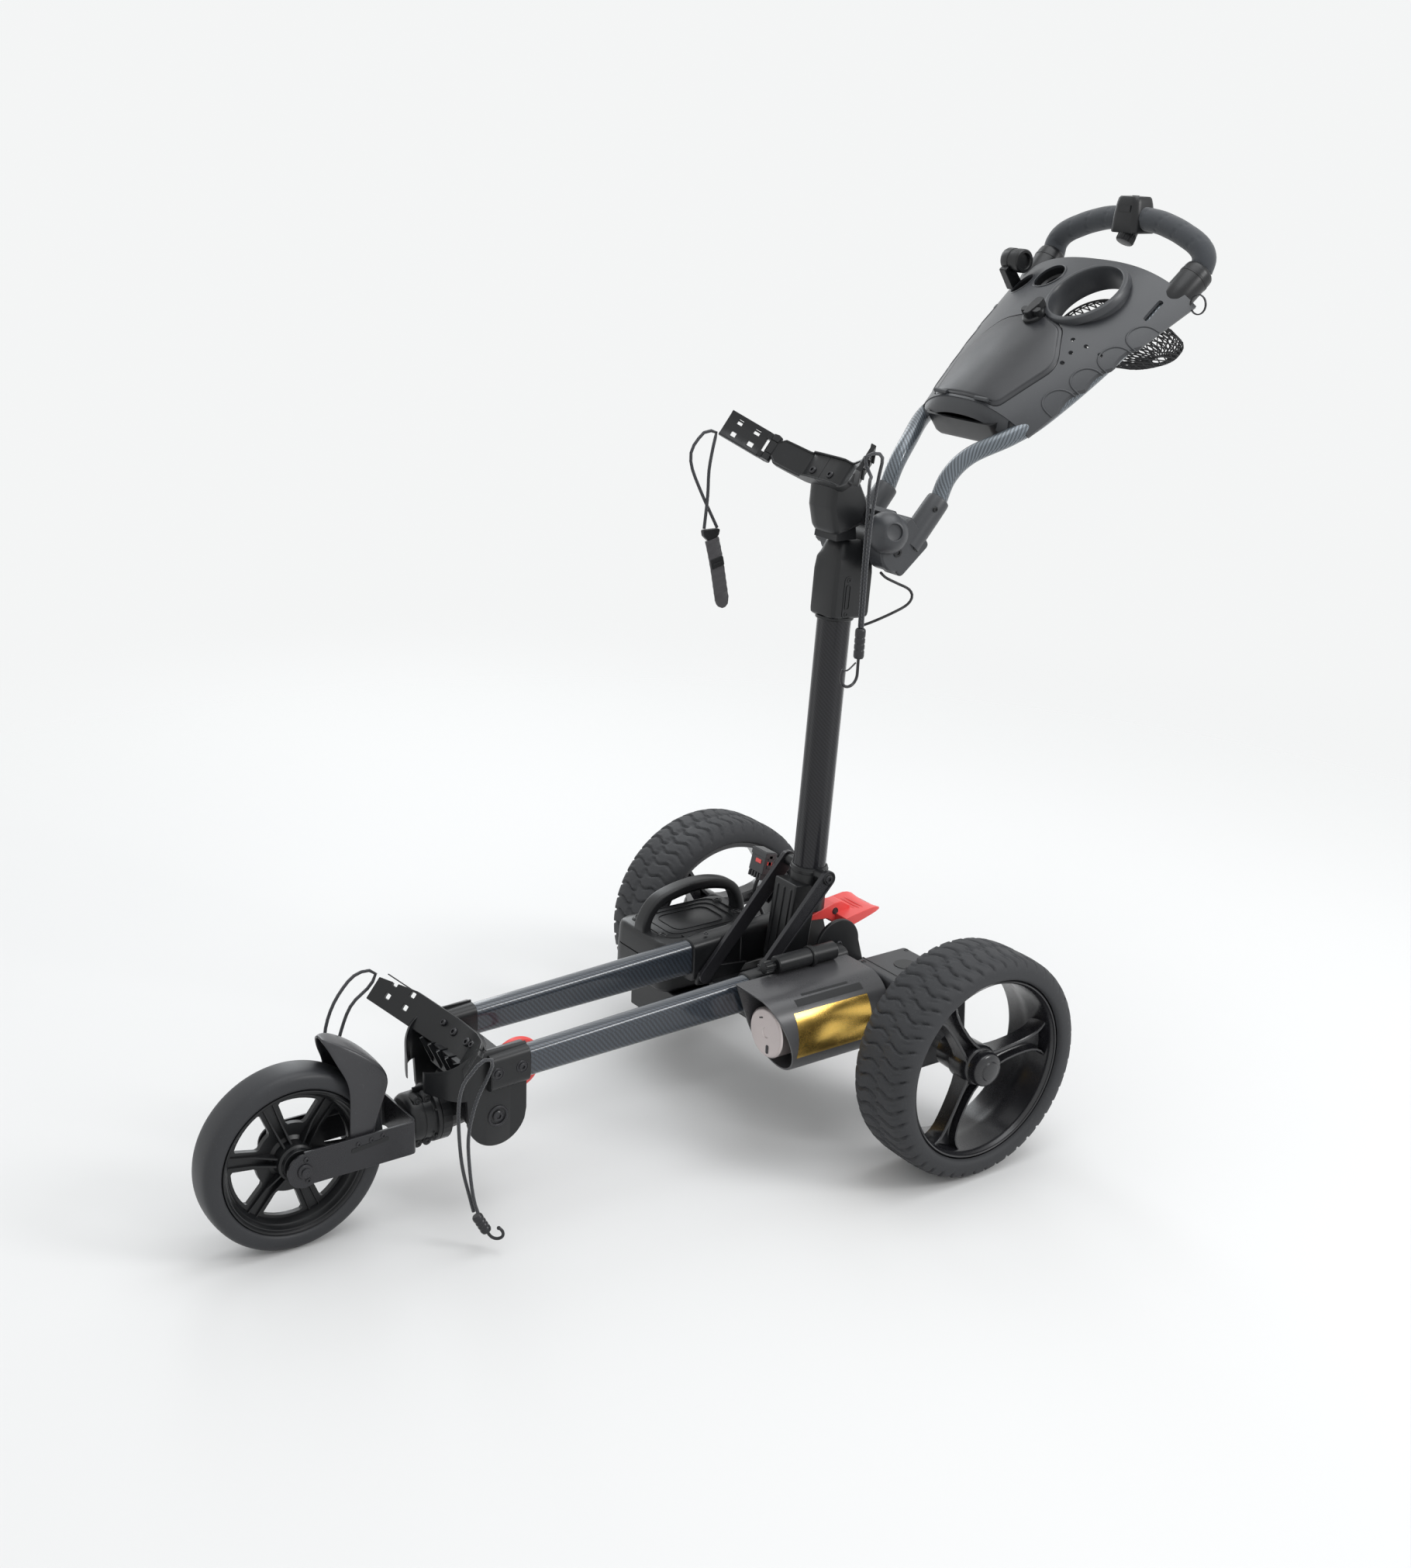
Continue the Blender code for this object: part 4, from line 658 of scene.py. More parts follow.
CORD_R = 0.0020
BUNGEES = {
    "upper_cord_left": [
        (0.1000, -0.0690, 0.6360), (0.1003, -0.0690, 0.7000), (0.1030, -0.0700, 0.7600),
        (0.1150, -0.0800, 0.8050), (0.1340, -0.0944, 0.8169), (0.1390, -0.1050, 0.8276),
        (0.1370, -0.1066, 0.8402), (0.1390, -0.0928, 0.8434), (0.1340, -0.0797, 0.8358),
        (0.1180, -0.0700, 0.8100), (0.1080, -0.0680, 0.7600), (0.1055, -0.0690, 0.7000),
        (0.1045, -0.0690, 0.6360)],
    "upper_cord_right": [
        (-0.1300, -0.1275, 0.7120), (-0.1305, -0.1235, 0.7510), (-0.1310, -0.1223, 0.7840),
        (-0.1330, -0.1144, 0.8173), (-0.1390, -0.1074, 0.8244), (-0.1370, -0.1171, 0.8282),
        (-0.1385, -0.1264, 0.8264), (-0.1380, -0.1432, 0.8084), (-0.1370, -0.1440, 0.7880),
        (-0.1340, -0.1310, 0.7564), (-0.1300, -0.1130, 0.7200), (-0.1290, -0.1090, 0.7120)],
    "lower_cord_left": [
        (0.1210, -0.5850, 0.0480), (0.1180, -0.5880, 0.0650), (0.1130, -0.5940, 0.1000),
        (0.1110, -0.5970, 0.1400), (0.1130, -0.5980, 0.1800), (0.1200, -0.5960, 0.2050),
        (0.1280, -0.5920, 0.2190), (0.1300, -0.5840, 0.2290), (0.1300, -0.5740, 0.2330),
        (0.1280, -0.5650, 0.2270), (0.1230, -0.5680, 0.2080), (0.1190, -0.5800, 0.1800),
        (0.1160, -0.5880, 0.1400), (0.1180, -0.5880, 0.1000), (0.1230, -0.5860, 0.0650),
        (0.1250, -0.5820, 0.0480)],
    "lower_cord_right": [
        (-0.1210, -0.6260, 0.0480), (-0.1200, -0.6300, 0.0650), (-0.1160, -0.6420, 0.1000),
        (-0.1150, -0.6480, 0.1400), (-0.1160, -0.6460, 0.1800), (-0.1200, -0.6340, 0.2080),
        (-0.1270, -0.6140, 0.2270), (-0.1310, -0.5980, 0.2350), (-0.1310, -0.5820, 0.2360),
        (-0.1300, -0.5740, 0.2290), (-0.1260, -0.5860, 0.2170), (-0.1200, -0.6100, 0.2040),
        (-0.1170, -0.6240, 0.1800), (-0.1180, -0.6340, 0.1400), (-0.1220, -0.6320, 0.1000),
        (-0.1250, -0.6260, 0.0650), (-0.1260, -0.6220, 0.0480)],
}
LEAD_ROUTE = [(-0.0940, -0.0490, 0.2545), (-0.0950, -0.0520, 0.2440), (-0.0985, -0.0490, 0.2280),
              (-0.1040, -0.0350, 0.2080), (-0.1110, -0.0230, 0.1880), (-0.1180, -0.0210, 0.1700),
              (-0.1200, -0.0290, 0.1605)]
CABLE_ROUTE = [(0.0300, 0.0180, 0.6760), (0.0310, 0.0260, 0.6690), (0.0330, 0.0420, 0.6610),
               (0.0350, 0.0600, 0.6520), (0.0350, 0.0660, 0.6420), (0.0330, 0.0600, 0.6320),
               (0.0290, 0.0400, 0.6230), (0.0200, 0.0180, 0.6130), (0.0120, 0.0040, 0.6070)]


def cord_tube(name, route, radius, spacing, finish, body, node):
    """A cord as a fine tube, and the points that it follows."""
    path = smooth_path([at(*p) for p in route], spacing)
    bm = bmesh.new()
    sweep(bm, path, circle(radius, 12))
    layer = bm.loops.layers.uv["run"]
    for face in bm.faces:
        for loop in face.loops:
            loop[layer].uv.y /= 2 * math.pi * radius
    piece = show(name, bm, finish, body, (node,), sharp=60)
    length = sum((b - a).length for a, b in zip(path, path[1:]))
    return piece, path, length


def wire_hook(name, node, top, down, open_to, sleeve, bow, shank, gate=False):
    """A crimped sleeve that holds both cord ends, and the wire hook out of it."""
    body = BODY_OF[node]
    top, down, open_to = Vector(top), Vector(down).normalized(), Vector(open_to).normalized()
    bm = bmesh.new()
    profile = [(0, 0), (0.0046, 0), (0.0058, 0.0012), (0.0062, 0.003)]
    for k in range(3):
        z = sleeve * (0.30 + 0.2 * k)
        profile += [(0.0062, z - 0.0016), (0.0055, z), (0.0062, z + 0.0016)]
    profile += [(0.0062, sleeve - 0.003), (0.0052, sleeve - 0.0008), (0.0030, sleeve), (0, sleeve)]
    lathe(bm, profile, top, down, 32)
    case = show(name + "_sleeve", bm, "black_coated_steel", body, (node,), sharp=40)
    low = top + down * sleeve
    centre = low + down * shank + open_to * bow
    wire = [low - down * 0.004, low + down * shank * 0.5]
    for k in range(25):
        angle = math.radians(9 * k)
        wire.append(centre - open_to * bow * math.cos(angle) + down * bow * math.sin(angle))
    bm = bmesh.new()
    tube_on(bm, smooth_path(wire, 0.0015), 0.0018, 12)
    bmesh.ops.create_uvsphere(bm, u_segments=12, v_segments=8, radius=0.0023,
                              matrix=Matrix.Translation(wire[-1]))
    if gate:
        tube_on(bm, smooth_path([low + down * 0.004 + open_to * 0.004,
                                 low + down * shank * 0.6 + open_to * bow * 1.2,
                                 wire[-1]], 0.003), 0.0010, 8)
    hook = show(name + "_wire", bm, "black_coated_steel", body, (node,), sharp=60)
    return [case, hook]


def bungees():
    hooks = {
        "upper_cord_left": ("upper_hook_left", at(0.1022, -0.0690, 0.6350), (0, -0.02, -1),
                            (0.1, -1, 0), 0.036, 0.013, 0.018, True),
        "lower_cord_left": ("lower_hook_left", at(0.1232, -0.5830, 0.0440), (0.26, 0.43, -0.86),
                            (0.55, 0.55, 0.35), 0.024, 0.008, 0.004, False),
        "lower_cord_right": ("lower_hook_right", at(-0.1237, -0.6235, 0.0440),
                             (-0.26, 0.43, -0.86), (-0.55, 0.55, 0.35), 0.024, 0.008, 0.004,
                             False),
    }
    for name, route in BUNGEES.items():
        piece, path, length = cord_tube("bungee_" + name.replace("_cord", ""), route, CORD_R,
                                        0.0100, "cord_braid", BODY_OF[name], name)
        if name in hooks:
            node, *rest = hooks[name]
            carried = wire_hook(node.replace("_hook", "") + "_hook", node, *rest)
        else:
            carried = clip_and_strap()


def clip_and_strap():
    """A slotted clip on the cord, a ring, and a short webbing tab with a small buckle."""
    node = "upper_strap_right"
    centre = at(-0.1295, -0.1183, 0.7110)
    bm = bmesh.new()
    outline = rounded([(-0.013, 0.0), (0.013, 0.0), (0.011, -0.008), (0.0045, -0.014),
                       (-0.0045, -0.014), (-0.011, -0.008)], 0.0025, 3)
    prism(bm, outline, 0.0060, frame_of(centre, (0, 1, 0), (0, 0, 1)))
    clip = show("strap_clip", bm, "black_moulding", BODY_OF[node], (node,), rounding=0.0008)
    tilt = math.radians(14)
    hang = Vector((0, math.sin(tilt), -math.cos(tilt)))
    across = Vector((0, math.cos(tilt), math.sin(tilt)))
    top = centre + Vector((0.002, 0.012 - 0.045 * math.sin(tilt), -0.056 + 0.045 * math.cos(tilt)))
    bm = bmesh.new()
    rings, run = [], []
    for k in range(31):
        t = k / 30
        half = 0.0098 if t < 0.86 else 0.0098 * math.sqrt(max(1 - ((t - 0.86) / 0.145) ** 2, 0.02))
        mid = top + hang * 0.090 * t + Vector((0.0012 * math.sin(t * 5.0), 0, 0))
        thick = 0.0017 + 0.0005 * math.sin(t * 60)
        rings.append([mid + across * a * half + Vector((b * thick, 0, 0))
                      for a, b in ((-1, -0.5), (-0.94, -1), (0, -1.1), (0.94, -1), (1, -0.5),
                                   (1, 0.5), (0.94, 1), (0, 1.1), (-0.94, 1), (-1, 0.5))])
        run.append(0.09 * t)
    loft(bm, rings, run=run)
    show("strap_tab", bm, "webbing", BODY_OF[node], (node,), sharp=50)
    bm = bmesh.new()
    lathe(bm, [(0.0075 + 0.0011 * math.cos(a), 0.0011 * math.sin(a))
               for a in (2 * math.pi * k / 10 for k in range(10))],
          centre + Vector((0.0, 0.002, -0.0185)), (1, 0.1, 0), 32, closed=True)
    ring = show("strap_ring", bm, "bright_steel", BODY_OF[node], (node,), sharp=60)
    bm = bmesh.new()
    buckle = frame_of(top + hang * 0.030 + Vector((0.0030, 0, 0)), across, -hang)
    prism(bm, rounded([(-0.0095, -0.006), (0.0095, -0.006), (0.0095, 0.006), (-0.0095, 0.006)],
                      0.002, 3), 0.0016, buckle)
    prism(bm, [(-0.0065, -0.0008), (0.0065, -0.0008), (0.0065, 0.0008), (-0.0065, 0.0008)],
          0.0030, buckle)
    show("strap_buckle", bm, "black_moulding", BODY_OF[node], (node,), rounding=0.0004)
    return [clip, ring]


def cables():
    lead, path, length = cord_tube("battery_wire", LEAD_ROUTE, 0.0025, 0.0050, "wire_jacket",
                                   BODY_OF["battery_lead"], "battery_lead")
    points = [at(*p) for p in CABLE_ROUTE]
    path = smooth_path(points, 0.0045)
    bm = bmesh.new()
    sweep(bm, path, circle(0.0017, 12))
    mesh = bpy.data.meshes.new("motor_cable")
    bm.to_mesh(mesh)
    bm.free()
    mesh.materials.append(FINISHES["wire_jacket"])
    mesh.shade_smooth()
    cable = bpy.data.objects.new("motor_cable", mesh)
    bpy.context.scene.collection.objects.link(cable)
    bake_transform(cable)
    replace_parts(cable, "control_cable")
    length = sum((b - a).length for a, b in zip(path, path[1:]))


bungees()
cables()


# ---------------------------------------------------------------- rear wheels

LUGS = 46


def pulse(phase, width):
    """1 in the middle of a groove and 0 away from it; phase counts whole lugs."""
    off = abs((phase % 1.0) - 0.5) * 2
    return max(0.0, min(1.0, (off - (1 - width)) / (0.45 * width)))


def tread_drop(angle, share):
    """How far the tread sinks at an angle, share being -1 to 1 across it."""
    count = LUGS * angle / (2 * math.pi)
    side = 1 if share > 0.06 * math.sin(2 * math.pi * count) else -1
    reach = abs(share)
    phase = count + (0.25 if side > 0 else -0.25)
    phase += 0.20 * math.sin(6.8 * reach + (0.6 if side > 0 else 0.0)) + 0.25 * reach
    groove = pulse(phase, 0.22)
    slope = 0.35 * (phase % 1.0)
    pit = pulse(2 * phase + 0.3, 0.30) * max(0.0, math.sin(9.5 * reach + 1.0)) * 0.45
    middle = 0.45 if reach < 0.05 else 0.0
    return 0.0026 * max(groove, pit, middle) + 0.0010 * slope


def rear_tyre(side):
    """Fat tyre with wavy lugs that carry on over its shoulders."""
    sign = 1 if side == "left" else -1
    spots = [(0.1122, 0.0385), (0.1140, 0.0432), (0.1185, 0.0449), (0.1245, 0.0447),
             (0.1305, 0.0430), (0.1350, 0.0396), (0.1380, 0.0335), (0.1394, 0.0240),
             (0.1399, 0.0120), (0.1400, 0.0)]
    spots = spots + [(r, -x) for r, x in spots[-2::-1]]
    profile = smooth_path([(r, x, 0) for r, x in spots], 0.0032)
    centre, steps = at(sign * REAR_X, 0, REAR_R), LUGS * 12
    turn = Matrix.Translation(centre) @ along((sign, 0, 0))
    bm = bmesh.new()
    rings = []
    for point in profile:
        radius, height = point.x, point.y
        depth = max(0.0, min(1.0, (radius - 0.1270) / 0.0055))
        share = max(-1.0, min(1.0, height / 0.0440))
        ring = []
        for k in range(steps):
            a = 2 * math.pi * k / steps
            sink = depth * tread_drop(a, share)
            low, pull = radius - sink, 1 - 0.35 * sink / 0.045
            ring.append(turn @ Vector((low * math.cos(a), low * math.sin(a), height * pull)))
        rings.append(ring)
    loft(bm, rings, caps=(False, False))
    show("rear_tyre_" + side + "_tread", bm, "tread_rubber", BODY_OF["rear_tyre_" + side],
         ("rear_tyre_" + side,), sharp=40)


def spoke_section(reach, front, web):
    """Two ribs joined by a web, as (across, outwards) points."""
    low = 0.0040
    return [(-reach, low), (-reach, front - 0.001), (-reach + 0.001, front),
            (-reach + 0.0036, front), (-reach + 0.0048, web + 0.001), (-reach + 0.006, web),
            (reach - 0.006, web), (reach - 0.0048, web + 0.001), (reach - 0.0036, front),
            (reach - 0.001, front), (reach, front - 0.001), (reach, low), (reach - 0.004, low),
            (reach - 0.005, web - 0.0035), (0.005 - reach, web - 0.0035), (0.004 - reach, low)]


def rear_rim(side):
    """Deep gloss rim, three spokes of two ribs each, and a stepped hub cap."""
    sign = 1 if side == "left" else -1
    node = "rear_rim_" + side
    centre, out = at(sign * REAR_X, 0, REAR_R), Vector((sign, 0, 0))
    bm = bmesh.new()
    barrel = [(0.1116, 0.0360), (0.1116, -0.0380), (0.1075, -0.0382), (0.1052, -0.0370),
              (0.1040, -0.0340), (0.1048, -0.0150), (0.1028, -0.0040), (0.1026, 0.0050),
              (0.1046, 0.0140), (0.1056, 0.0300), (0.1064, 0.0345), (0.1082, 0.0362),
              (0.1086, 0.0381), (0.1100, 0.0390), (0.1113, 0.0381)]
    lathe(bm, barrel, centre, out, 120, closed=True)
    hub = [(0.0090, -0.0298), (0.0180, -0.0298), (0.0205, -0.0280), (0.0215, -0.0060),
           (0.0245, -0.0020), (0.0250, 0.0230), (0.0236, 0.0268), (0.0222, 0.0282),
           (0.0222, 0.0300), (0.0090, 0.0300)]
    lathe(bm, hub, centre, out, 64, closed=True)
    cap = [(0, 0.0452), (0.0090, 0.0450), (0.0112, 0.0442), (0.0122, 0.0426), (0.0142, 0.0422),
           (0.0184, 0.0412), (0.0204, 0.0390), (0.0212, 0.0350), (0.0213, 0.0300), (0, 0.0300)]
    lathe(bm, cap, centre, out, 64)
    for k in range(3):
        turn = math.radians(120 * k + 35)
        radial = Vector((0, -math.sin(turn), math.cos(turn)))
        across = radial.cross(out)
        rings = []
        for r, reach, front, web in (
                (0.0180, 0.0135, 0.0270, 0.0150), (0.0250, 0.0122, 0.0262, 0.0150),
                (0.0320, 0.0108, 0.0250, 0.0140), (0.0450, 0.0098, 0.0240, 0.0135),
                (0.0600, 0.0096, 0.0236, 0.0132), (0.0740, 0.0102, 0.0236, 0.0132),
                (0.0850, 0.0116, 0.0240, 0.0135), (0.0930, 0.0140, 0.0248, 0.0140),
                (0.0990, 0.0180, 0.0258, 0.0150), (0.1036, 0.0240, 0.0270, 0.0160)):
            rings.append([centre + radial * r + across * a + out * b
                          for a, b in spoke_section(reach, front, web)])
        loft(bm, rings)
        lug = centre - radial * 0.0165 + out * 0.0300
        hex_screw(bm, lug, out, 0.0026, 0.0016)
        box(bm, (0.0030, 0.006, 0.030), centre + radial * 0.055 + out * 0.0118,
            turn=frame_of((0, 0, 0), out, across).to_3x3().to_4x4())
    show("rear_rim_" + side + "_casting", bm, "gloss_black_rim", BODY_OF[node], (node,), sharp=38)


for side in ("left", "right"):
    rear_tyre(side)
    rear_rim(side)


# ---------------------------------------------------------------- front wheel

def front_wheel():
    """Smooth tyre, and a rim with six windows, radial ribs and ridges inside its edge."""
    centre, axis = at(0, FRONT_Y, FRONT_R), Vector((1, 0, 0))
    bm = bmesh.new()
    spots = [(0.0852, 0.0190), (0.0870, 0.0214), (0.0915, 0.0223), (0.0965, 0.0221),
             (0.1010, 0.0204), (0.1042, 0.0164), (0.1057, 0.0098), (0.1062, 0.0)]
    spots = spots + [(r, -x) for r, x in spots[-2::-1]]
    profile = [(p.x, p.y) for p in smooth_path([(r, x, 0) for r, x in spots], 0.0022)]
    lathe(bm, profile, centre, axis, 144)
    show("front_tyre_smooth", bm, "smooth_rubber", BODY_OF["front_tyre"], ("front_tyre",),
         sharp=50)

    bm = bmesh.new()
    half = [(0.0848, 0.0192), (0.0842, 0.0204), (0.0826, 0.0206), (0.0816, 0.0196),
            (0.0806, 0.0176), (0.0794, 0.0172), (0.0786, 0.0158), (0.0774, 0.0122),
            (0.0762, 0.0112), (0.0752, 0.0100), (0.0738, 0.0058), (0.0722, 0.0034)]
    lathe(bm, half + [(r, -x) for r, x in half[::-1]], centre, axis, 120, closed=True)
    hub = [(0.0060, 0.0268), (0.0104, 0.0268), (0.0108, 0.0256), (0.0146, 0.0256),
           (0.0152, 0.0268), (0.0178, 0.0268), (0.0186, 0.0258), (0.0188, 0.0210),
           (0.0212, 0.0190), (0.0222, 0.0060), (0.0260, 0.0034)]
    lathe(bm, hub + [(r, -x) for r, x in hub[::-1]], centre, axis, 72, closed=True)
    radii = (0.0230, 0.0320, 0.0388, 0.0402, 0.0430, 0.0560, 0.0668, 0.0688, 0.0700, 0.0735)
    window = {0.0402: 13.0, 0.0430: 16.2, 0.0560: 18.8, 0.0668: 20.2, 0.0688: 18.2}
    spread = {0.0388: 13.0, 0.0700: 18.2}
    for k in range(6):
        middle = 60 * k + 20
        levels = []
        for r in radii:
            w = window.get(r, spread.get(r, 15.0))
            angles = [-30, -(30 + w) / 2, -w] + [-w + 2 * w * j / 6 for j in range(1, 6)]
            angles += [w, (30 + w) / 2, 30]
            levels.append([math.radians(middle + a) for a in angles])
        for face_x in (0.0032, -0.0032):
            rows = [[bm.verts.new(centre + Vector((face_x, r * math.cos(a), r * math.sin(a))))
                     for a in level] for r, level in zip(radii, levels)]
            for i in range(len(radii) - 1):
                for j in range(len(rows[i]) - 1):
                    inside = radii[i] in window and radii[i + 1] in window and 2 <= j <= 7
                    if not inside:
                        bm.faces.new((rows[i][j], rows[i][j + 1], rows[i + 1][j + 1],
                                      rows[i + 1][j]))
            if face_x > 0:
                top = rows
        inner = [r for r in radii if r in window]
        first, last = radii.index(inner[0]), radii.index(inner[-1])
        edge = [(first, j) for j in range(2, 9)]
        edge += [(i, 8) for i in range(first + 1, last + 1)]
        edge += [(last, j) for j in range(7, 1, -1)]
        edge += [(i, 2) for i in range(last - 1, first, -1)]
        for (i, j), (m, n) in zip(edge, edge[1:] + edge[:1]):
            bm.faces.new((top[i][j], top[m][n], rows[m][n], rows[i][j]))
        turn = math.radians(middle + 30)
        radial = Vector((0, math.cos(turn), math.sin(turn)))
        across = radial.cross(axis)
        for sign in (-1, 1):
            for shift in (-0.0052, 0.0052):
                rings = []
                for r, tall, wide in ((0.0200, 0.0150, 0.0016), (0.0450, 0.0068, 0.0012),
                                      (0.0740, 0.0052, 0.0012)):
                    spot = centre + radial * r + across * shift * (0.7 + r * 6)
                    rings.append([spot + across * a + axis * sign * b for a, b in
                                  ((-wide, 0.0025), (wide, 0.0025), (wide * 0.7, tall),
                                   (-wide * 0.7, tall))])
                loft(bm, rings)
    bmesh.ops.remove_doubles(bm, verts=bm.verts, dist=0.00003)
    show("front_rim_casting", bm, "black_moulding", BODY_OF["front_rim"], ("front_rim",),
         sharp=38)
    bm = bmesh.new()
    for sign in (-1, 1):
        lathe(bm, [(0.0070, 0), (0.0100, 0), (0.0100, 0.0010), (0.0070, 0.0010)],
              centre + axis * sign * 0.0262, axis * sign, 48, closed=True)
    show("front_bearings", bm, "bright_steel", BODY_OF["front_rim"], sharp=40)


front_wheel()


# ---------------------------------------------------------------- fork, mudguard and collar

def fork():
    refined("fork", "black_coated_steel", 0.0006)
    bm = bmesh.new()
    for sign in (-1, 1):
        for y, z in ((-0.6815, 0.1200), (-0.6657, 0.1212), (-0.6519, 0.1224)):
            hex_screw(bm, at(sign * 0.0400, y, z), (sign, 0, 0), 0.0030, 0.0012)
        for y, z in ((-0.7425, 0.1195), (-0.7410, 0.0945)):
            hex_screw(bm, at(sign * 0.0400, y, z), (sign, 0, 0), 0.0032, 0.0016)
        lathe(bm, [(0, 0.0035), (0.0036, 0.0035), (0.0052, 0.0026), (0.0080, 0.0022),
                   (0.0088, 0.0010), (0.0088, 0), (0, 0)],
              at(sign * 0.0400, FRONT_Y, FRONT_R), (sign, 0, 0), 48)
    show("fork_screws", bm, "black_coated_steel", BODY_OF["fork"], sharp=35)
    # a thin dark plate on each leg, painted shade standing in for a shallow recess
    bm = bmesh.new()
    for sign in (-1, 1):
        prism(bm, rounded([(-0.690, 0.1165), (-0.6450, 0.1200), (-0.6450, 0.1150),
                           (-0.690, 0.1110)], 0.0022, 3), 0.0006, side_matrix(sign * 0.0401))
    show("fork_recess_shade", bm, "black_moulding", BODY_OF["fork"], sharp=35)


def mudguard():
    """A hood over the tyre that runs up from the fork to a pointed horn."""
    stations = [  # back edge (y, z), front edge (y, z), half width, bulge of the back
        (-0.6600, 0.1190, -0.6890, 0.1190, 0.0352, 0.0000),
        (-0.6560, 0.1350, -0.6888, 0.1350, 0.0352, 0.0004),
        (-0.6500, 0.1530, -0.6884, 0.1530, 0.0354, 0.0010),
        (-0.6430, 0.1710, -0.6880, 0.1700, 0.0356, 0.0018),
        (-0.6392, 0.1840, -0.6880, 0.1840, 0.0350, 0.0022),
        (-0.6440, 0.1975, -0.6905, 0.1960, 0.0328, 0.0024),
        (-0.6560, 0.2095, -0.6950, 0.2060, 0.0296, 0.0024),
        (-0.6700, 0.2200, -0.6990, 0.2150, 0.0258, 0.0022),
        (-0.6840, 0.2290, -0.7020, 0.2235, 0.0212, 0.0018),
        (-0.6955, 0.2345, -0.7048, 0.2305, 0.0158, 0.0012),
        (-0.7030, 0.2368, -0.7064, 0.2350, 0.0096, 0.0006),
        (-0.7062, 0.2376, -0.7072, 0.2372, 0.0040, 0.0000)]
    bm = bmesh.new()
    rows = []
    for by, bz, fy, fz, half, bulge in stations:
        back, front = Vector((by, bz)), Vector((fy, fz))
        out = (back - front).normalized()
        row = []
        for x, share in ((-1.0, 0.0), (-1.0, 0.32), (-1.0, 0.64), (-0.99, 0.93), (-0.94, 1.0),
                         (-0.5, 1.0), (0.0, 1.0), (0.5, 1.0), (0.94, 1.0), (0.99, 0.93),
                         (1.0, 0.64), (1.0, 0.32), (1.0, 0.0)):
            spot = front.lerp(back, share) + out * bulge * (1 - x * x)
            row.append(at(x * half, spot.x, spot.y))
        rows.append(row)
    loft(bm, rows, closed=False)
    guard = show("mudguard_hood", bm, "mudguard_moulding", BODY_OF["mudguard"], ("mudguard",),
                 sharp=70)
    wall = guard.modifiers.new("wall", "SOLIDIFY")
    wall.thickness, wall.offset = 0.0024, -1
    soft = guard.modifiers.new("smooth", "SUBSURF")
    soft.levels = soft.render_levels = 2


def fork_collar():
    """A drum with a split line, a flange, and screw bosses above and below."""
    y0, z0 = -0.6096, 0.1120
    profile = [(0, 0), (0.0225, 0), (0.0262, 0.0020), (0.0282, 0.0058), (0.0286, 0.0160),
               (0.0279, 0.0166), (0.0279, 0.0174), (0.0286, 0.0180), (0.0286, 0.0280),
               (0.0300, 0.0296), (0.0330, 0.0304), (0.0334, 0.0318), (0.0334, 0.0350), (0, 0.0352)]
    bm = bmesh.new()
    lathe(bm, profile, at(0, y0, z0), (0, 1, 0), 96)
    for up in (-1, 1):
        for shift in (0.0120, 0.0235):
            rod(bm, 0.0056, at(0.0040, y0 + shift, z0 + up * 0.0262),
                at(0.0170, y0 + shift, z0 + up * 0.0262), 24, lip=0.0008)
        for shift in (0.0120, 0.0235):
            hex_screw(bm, at(0.0170, y0 + shift, z0 + up * 0.0262), (1, 0, 0), 0.0034, 0.0010)
    box(bm, (0.0025, 0.0200, 0.0120), at(0.0, y0 + 0.0240, z0 + 0.0290))
    for k in range(6):
        a = math.radians(60 * k + 30)
        rod(bm, 0.0016, at(0.0312 * math.cos(a), y0 + 0.0280, z0 + 0.0312 * math.sin(a)),
            at(0.0312 * math.cos(a), y0 + 0.0320, z0 + 0.0312 * math.sin(a)), 12)
    show("fork_collar_drum", bm, "black_moulding", BODY_OF["fork_collar"], ("fork_collar",),
         sharp=35)


def front_shell(side, sign):
    """Half of the front casting: a cheek for the tube with a skirt that wraps the fold bolt."""
    curve = [(0.0180, -0.5915), (0.0340, -0.5845), (0.0480, -0.5770), (0.0570, -0.5680),
             (0.0598, -0.5600), (0.0608, -0.5520), (0.0608, -0.5400), (0.0608, -0.5200),
             (0.0608, -0.5000), (0.0608, -0.4866)]
    spots = smooth_path([at(x, y, 0) for x, y in curve], 0.0022)
    bm = bmesh.new()
    rings = []
    for spot in spots:
        y = spot.y - AXLE_Y
        share = min(1.0, max(0.0, (y + 0.5915) / 0.050))
        top = 0.1740 + 0.0300 * math.sin(share * math.pi / 2) ** 1.2
        low = 0.1490
        if abs(y - FRONT_PIN[0]) < 0.0367:
            low = FRONT_PIN[1] - math.sqrt(0.0367 ** 2 - (y - FRONT_PIN[0]) ** 2)
        x = spot.x
        rings.append([Vector((sign * (x + a), spot.y, z)) for a, z in (
            (0.0, low + 0.0008), (0.0008, low), (0.0042, low), (0.0052, low + 0.0014),
            (0.0052, top - 0.0040), (0.0036, top - 0.0010), (0.0010, top), (0.0, top - 0.0006))])
    loft(bm, rings)
    show("front_shell_" + side, bm, "black_moulding", BODY_OF["front_plate_" + side],
         ("front_plate_" + side,), sharp=38)
    bm = bmesh.new()
    rings = []
    for y, grow in ((-0.5370, -0.0012), (-0.5358, 0.0), (-0.4872, 0.0), (-0.4860, -0.0012)):
        rings.append([at(sign * TUBE_X + a, y, 0.1790 + (y + 0.5110) * 0.0423 + b)
                      for a, b in round_box(0.0310 + 2 * grow, 0.0440 + 2 * grow, 0.0120, 8)])
    loft(bm, rings)
    show("front_socket_" + side, bm, "black_moulding", BODY_OF["front_plate_" + side], sharp=38)


